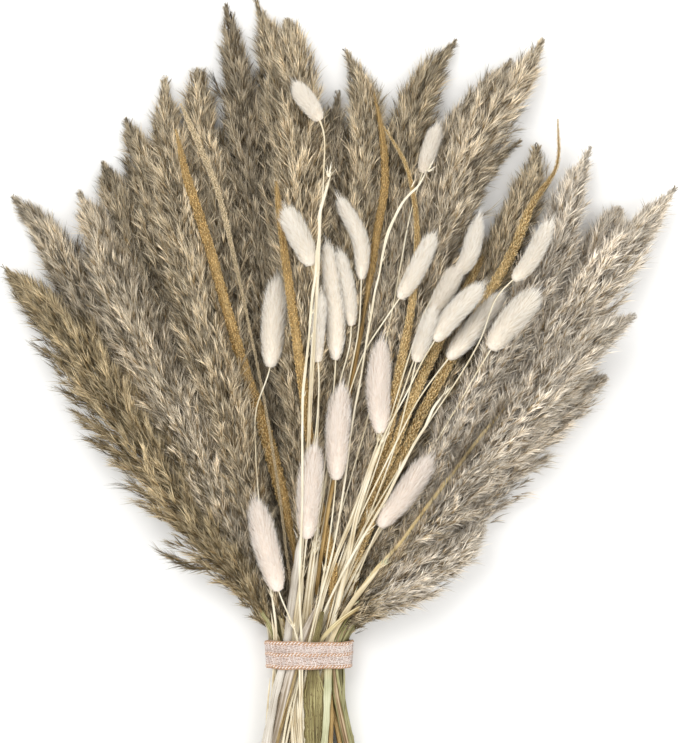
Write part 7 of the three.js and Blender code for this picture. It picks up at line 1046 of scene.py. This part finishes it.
def make_threads(name, mats, rng):
    bag = Bag()
    total = OVL + LAP
    rows = [BAND_Y1 - 1.25, (BAND_Y0 + BAND_Y1) / 2 + 0.30, BAND_Y0 + 1.25]
    # three rows, each of a peach and a white ply wound on each other between two thin peach threads
    d = np.linspace(0.1, total + 0.5, 1500)
    for k, y0 in enumerate(rows):
        ph = rng.uniform(0, 6)
        slow = 0.10 * np.sin(d * 0.23 + k * 2) + 0.06 * np.sin(d * 0.7 + k)
        for ply in range(2):
            a = d * 2 * math.pi / 2.0 + ply * math.pi + ph
            run_thread(bag, d, y0 + slow + 0.40 * np.cos(a), 0.34 + 0.22 * np.sin(a), 0.27, 7, (0.0, 1.0, 0.62 + 0.06 * ply, 0.67 + 0.06 * ply), 1 + ply)
        for side in (-1, 1):
            a = d * 2 * math.pi / 1.3 + side
            run_thread(bag, d, y0 + slow + side * 0.92 + 0.12 * np.sin(a), 0.26 + 0.08 * np.cos(a), 0.13, 5, (0.0, 1.0, 0.76, 0.79), 3)
    # the open weave between: slack yarns along it, and crossing pairs
    for y0, y1 in ((rows[1] + 1.0, rows[0] - 1.0), (rows[2] + 1.0, rows[1] - 1.0)):
        w = y1 - y0
        for f in (0.06, 0.26, 0.42, 0.60, 0.78, 0.95):
            yy = y0 + w * f + 0.16 * np.sin(d * 2 * math.pi / rng.uniform(4, 7) + rng.uniform(0, 6)) + 0.09 * np.sin(d * 2 * math.pi / rng.uniform(1.4, 2.2) + rng.uniform(0, 6))
            run_thread(bag, d, yy, 0.30 + 0.12 * np.sin(d * 2 * math.pi / 1.7 + f * 20), rng.uniform(0.13, 0.20), 5, (0.0, 1.0, 0.80, 0.83), 0)
        pitch = 1.12
        n = int(total / pitch)
        for k in range(n):
            dd = k * pitch + rng.uniform(-0.14, 0.14) + 0.3
            s = np.linspace(0, 1, 11)
            lean = (0.46 if k % 2 else -0.46) + rng.uniform(-0.14, 0.14)
            run_thread(bag, dd + lean * np.sin(s * math.pi * 2), y0 - 0.4 + (w + 0.8) * s, 0.36 + 0.11 * np.cos(s * math.pi * 6 + k), rng.uniform(0.10, 0.17), 5,
                       (0.0, 0.999, 0.84 + 0.02 * (k % 3), 0.858 + 0.02 * (k % 3)), 4 if k % 3 == 0 else 0)
    # loose ends where it was cut
    for k in range(34):
        y = rng.uniform(BAND_Y0 + 0.3, BAND_Y1 - 0.3)
        s = np.linspace(0, rng.uniform(1.0, 3.4), 6)
        run_thread(bag, total + s, y + rng.normal(0, 0.3) * s * 0.5, 0.2 + 0.14 * s, 0.09, 4, (0.0, 0.999, 0.92, 0.95), 0)
    return bag.mesh(name, mats)


# ---------------------------------------------------------------- colours
HAIR = {
    "brown": fibre_mat("hair_brown", rgb(109, 88, 52), rgb(221, 202, 168), rgb(234, 222, 198), 0.02, 0.60, 0.16, 1.66, 0.75, 0.05),
    "taupe": fibre_mat("hair_taupe", rgb(120, 101, 70), rgb(222, 206, 178), rgb(235, 224, 205), 0.02, 0.60, 0.18, 1.62, 0.75, 0.05),
    "ochre": fibre_mat("hair_ochre", rgb(95, 75, 38), rgb(200, 179, 139), rgb(228, 212, 180), 0.02, 0.60, 0.18, 1.54, 0.75, 0.05),
    # the darkest plume hair: partly the plumes' own darker colour and partly painted shade for the plumes lying lowest
    # under the others
    "dark": fibre_mat("hair_dark_and_shaded", rgb(85, 68, 42), rgb(182, 166, 138), rgb(222, 209, 186), 0.02, 0.60, 0.18, 1.62, 0.75, 0.05),
    "grey": fibre_mat("hair_sand", rgb(154, 134, 102), rgb(246, 234, 214), rgb(246, 238, 226), 0.02, 0.60, 0.34, 1.46, 0.75, 0.05),
}
HUSK = fibre_mat("husk", rgb(98, 74, 40), rgb(152, 126, 84), rgb(194, 170, 126), 0.62, 0.74, 0.6, 1.25, 0.55, 0.35)
# darker husks for those plumes: partly own colour and partly painted shade
HUSK_DARK_AND_SHADED = fibre_mat("husk_dark_and_shaded", rgb(76, 58, 34), rgb(124, 100, 64), rgb(166, 142, 104), 0.62, 0.74, 0.6, 1.25, 0.55, 0.35)
STALK = {
    "olive": stalk_mat("stalk_olive", rgb(96, 88, 48), rgb(148, 142, 94), rgb(196, 190, 146), 150, 0.5, 0.35, rgb(92, 74, 42), 0.63),
    "grey": stalk_mat("stalk_greige", rgb(142, 126, 104), rgb(186, 173, 156), rgb(218, 208, 194), 150, 0.5, 0.35, rgb(130, 106, 76), 0.68),
    "straw": stalk_mat("stalk_straw", rgb(152, 126, 76), rgb(202, 184, 136), rgb(230, 218, 180), 150, 0.48, 0.38),
    "brown": stalk_mat("stalk_brown", rgb(104, 80, 52), rgb(156, 130, 96), rgb(198, 178, 144), 150, 0.5, 0.35),
}
FUZZ = {
    "cream": fibre_mat("fuzz_cream", rgb(232, 218, 198), rgb(252, 245, 232), rgb(255, 253, 248), 0.02, 0.60, 0.92, 1.04, 0.8, 0.12),
    "pink": fibre_mat("fuzz_pink", rgb(230, 215, 200), rgb(251, 241, 230), rgb(255, 251, 246), 0.02, 0.60, 0.92, 1.04, 0.8, 0.12),
    "grey": fibre_mat("fuzz_grey", rgb(224, 210, 190), rgb(246, 237, 222), rgb(253, 249, 241), 0.02, 0.60, 0.90, 1.05, 0.8, 0.12),
}
STEM = stalk_mat("stem_cream", rgb(174, 152, 110), rgb(226, 212, 180), rgb(248, 241, 221), 120, 0.42, 0.35)
THIN = stalk_mat("stem_thin", rgb(206, 190, 152), rgb(234, 223, 194), rgb(249, 243, 224), 8, 0.42, 0.35)
SHEATHS = [stalk_mat("sheath_pale", rgb(150, 128, 84), rgb(210, 195, 156), rgb(236, 227, 201), 150, 0.45, 0.35),
           stalk_mat("sheath_tan", rgb(116, 92, 54), rgb(174, 150, 102), rgb(212, 193, 150), 150, 0.5, 0.35),
           stalk_mat("sheath_white", rgb(162, 148, 120), rgb(210, 200, 178), rgb(232, 225, 208), 150, 0.45, 0.35)]
SHEATH_OLIVE = stalk_mat("sheath_olive", rgb(102, 96, 52), rgb(150, 145, 96), rgb(192, 187, 142), 150, 0.45, 0.35)
GRAIN = fibre_mat("grain_gold", rgb(112, 82, 38), rgb(184, 148, 86), rgb(228, 202, 150), 0.02, 0.60, 0.50, 1.32, 0.6, 0.3)
# a lighter copy of the golden grain for the spikes that lie in shade on the right: painted light
GRAIN_PAINTED_LIT = fibre_mat("grain_gold_painted_lit", rgb(140, 108, 58), rgb(216, 184, 124), rgb(246, 228, 184), 0.02, 0.60, 0.46, 1.36, 0.6, 0.3)
GRAIN_PALE = fibre_mat("grain_pale", rgb(146, 127, 93), rgb(207, 187, 151), rgb(234, 218, 186), 0.02, 0.60, 0.70, 1.26, 0.6, 0.3)
CORE = stalk_mat("spike_core", rgb(104, 78, 40), rgb(156, 126, 76), rgb(198, 170, 118), 80, 0.7, 0.2)
# the pale spike's stalk, painted darker where it lies buried among the plumes: painted shade
CORE_PALE_PAINTED_SHADE = stalk_mat("spike_core_pale_painted_shade", rgb(112, 96, 66), rgb(160, 142, 108), rgb(194, 178, 144), 110, 0.5, 0.35)
STRAW = stalk_mat("straw_bleached", rgb(196, 180, 142), rgb(232, 221, 194), rgb(248, 241, 222), 60, 0.42, 0.4, rgb(188, 160, 110), 0.70)
BLADE = stalk_mat("straw_yellow", rgb(196, 168, 108), rgb(228, 206, 152), rgb(244, 230, 188), 160, 0.42, 0.4, rgb(160, 126, 76), 0.70)
P2 = PATHS["straw_blade_02"]
BLADE_GREEN = stalk_mat("straw_green", rgb(170, 146, 100), rgb(218, 200, 160), rgb(238, 226, 194), 60, 0.42, 0.4, low=(rgb(146, 144, 102), rgb(188, 187, 149), rgb(216, 214, 182)), low_at=P2.s_of_y(Y_TIE_LOW) / P2.L)
PALE = stalk_mat("stalk_pale", rgb(158, 146, 128), rgb(204, 196, 182), rgb(230, 224, 213), 110, 0.45, 0.4, rgb(146, 124, 98), 0.70)
LEAF = stalk_mat("leaf_olive", rgb(68, 58, 30), rgb(120, 108, 62), rgb(178, 168, 118), 60, 0.5, 0.35, rgb(84, 56, 30), 0.59, 45)
WEAVE = stalk_mat("ribbon_base", rgb(144, 120, 104), rgb(172, 148, 132), rgb(196, 174, 160), 200, 0.85, 0.12, None, 0.6, 300)
YARN = stalk_mat("ribbon_yarn", rgb(220, 206, 198), rgb(242, 232, 226), rgb(252, 247, 243), 200, 0.8, 0.12, None, 0.6, 300)
YARN_PINK = stalk_mat("ribbon_yarn_pink", rgb(206, 178, 164), rgb(222, 198, 184), rgb(236, 216, 204), 200, 0.8, 0.12, None, 0.6, 300)
PEACH = stalk_mat("ribbon_peach", rgb(180, 134, 96), rgb(204, 160, 120), rgb(222, 184, 148), 100, 0.75, 0.15, None, 0.6, 300)
PLUME_TONE = {"reed_plume_01": "ochre", "reed_plume_14": "taupe", "reed_plume_15": "taupe", "reed_plume_03": "taupe", "reed_plume_02": "taupe", "reed_plume_08": "dark", "reed_plume_11": "dark", "reed_plume_18": "grey", "reed_plume_19": "grey", "reed_plume_20": "grey", "reed_plume_21": "grey", "reed_plume_22": "grey", "reed_plume_23": "grey", "reed_plume_24": "grey"}
STALK_TONE = {"reed_plume_14": "grey", "reed_plume_01": "olive", "reed_plume_06": "straw", "reed_plume_22": "brown", "reed_plume_24": "straw", "reed_plume_19": "olive", "reed_plume_20": "olive", "reed_plume_21": "olive", "reed_plume_10": "grey", "reed_plume_03": "straw"}
OTHER_TONES = ["olive", "grey", "olive", "straw", "olive", "brown"]
BUNNY_TONE = {"bunny_tail_15": "grey", "bunny_tail_16": "grey", "bunny_tail_09": "grey", "bunny_tail_17": "pink", "bunny_tail_18": "pink", "bunny_tail_19": "pink", "bunny_tail_20": "pink", "bunny_tail_21": "pink"}

DENSE = 1.0


def put(ob, node):
    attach(ob, "root")
    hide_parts(node)
    return ob


for number, name in enumerate(sorted(PATHS)):
    rng = np.random.default_rng(1000 + number)
    kind = KIND[name]
    if kind == "plume":
        tone = PLUME_TONE.get(name, "brown")
        st = STALK[STALK_TONE.get(name, OTHER_TONES[number % 6])]
        put(plume(name, [HAIR[tone], HUSK_DARK_AND_SHADED if tone == "dark" else HUSK, st, SHEATH_OLIVE if name in ("reed_plume_19", "reed_plume_20", "reed_plume_21", "reed_plume_22", "reed_plume_23") else SHEATHS[number % 3]] + ([HAIR["brown"]] if tone == "grey" else []), rng, dense=DENSE), name)
    elif kind == "gold":
        pale = name.startswith("pale")
        grain = GRAIN_PALE if pale else GRAIN_PAINTED_LIT if name in ("gold_spike_04", "gold_spike_05", "gold_spike_06") else GRAIN
        put(gold(name, [grain, CORE_PALE_PAINTED_SHADE if pale else CORE], rng), name)
    elif kind == "bunny":
        put(bunny(name, [FUZZ[BUNNY_TONE.get(name, "cream")], STEM, THIN], rng, n_hair=int(5200 * DENSE)), name)
    elif name.startswith("white_straw"):
        put(straw(name, [STRAW], rng, kinks=1.1, fray=8, wide=0.52), name)
    elif name == "pale_stalk_01":
        put(straw(name, [PALE], rng, kinks=0.1, fray=3, thick=0.85), name)
    elif name.startswith("straw_blade"):
        put(straw(name, [BLADE_GREEN if name.endswith("02") else BLADE], rng, kinks=0.25, fray=7, thick=0.4), name)
    else:
        put(leaf(name, [LEAF], rng), name)

rng = np.random.default_rng(77)
band = put(make_ribbon("vis_ribbon", [WEAVE]), "ribbon")
threads = make_threads("vis_ribbon_threads", [YARN, PEACH, YARN, PEACH, YARN_PINK], rng)
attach(threads, "root")

# ---------------------------------------------------------------- floor, light and camera
fm, fnt, fp = new_mat("floor", 0.9, 0.1)
fp.inputs["Base Color"].default_value = (0.94, 0.935, 0.92, 1)
me = bpy.data.meshes.new("floor")
me.from_pydata([(-6, -6, 0), (6, -6, 0), (6, 6, 0), (-6, 6, 0)], [], [(0, 1, 2, 3)])
me.materials.append(fm)
floor = bpy.data.objects.new("floor", me)
bpy.context.scene.collection.objects.link(floor)

world = bpy.data.worlds.new("studio")
bpy.context.scene.world = world
world.use_nodes = True
world.node_tree.nodes["Background"].inputs[0].default_value = (1, 1, 1, 1)
world.node_tree.nodes["Background"].inputs[1].default_value = 0.98


def lamp(name, at, size, power, aim=(0, 0, 0)):
    L = bpy.data.lights.new(name, "AREA")
    L.shape, L.size, L.energy = "SQUARE", size, power
    o = bpy.data.objects.new(name, L)
    bpy.context.scene.collection.objects.link(o)
    d = np.array(aim, float) - np.array(at, float)
    import mathutils
    o.location = at
    o.rotation_euler = mathutils.Vector(d).to_track_quat("-Z", "Y").to_euler()
    return o


lamp("key", (-0.55, 0.8, 2.1), 1.1, 19.0)
lamp("fill", (0.9, -0.4, 1.9), 1.2, 9.0)

cam = bpy.data.cameras.new("camera")
cam.sensor_width = 36.0
cam.lens = 36.0 * 2160.0 / (743 * 0.55)
cam.clip_start, cam.clip_end = 0.05, 50
co = bpy.data.objects.new("camera", cam)
bpy.context.scene.collection.objects.link(co)
co.location = (SHIFT[0] / 1000, SHIFT[1] / 1000, 2.2)
co.rotation_euler = (0, 0, 0)
bpy.context.scene.camera = co
bpy.context.scene.view_settings.view_transform = "Standard"
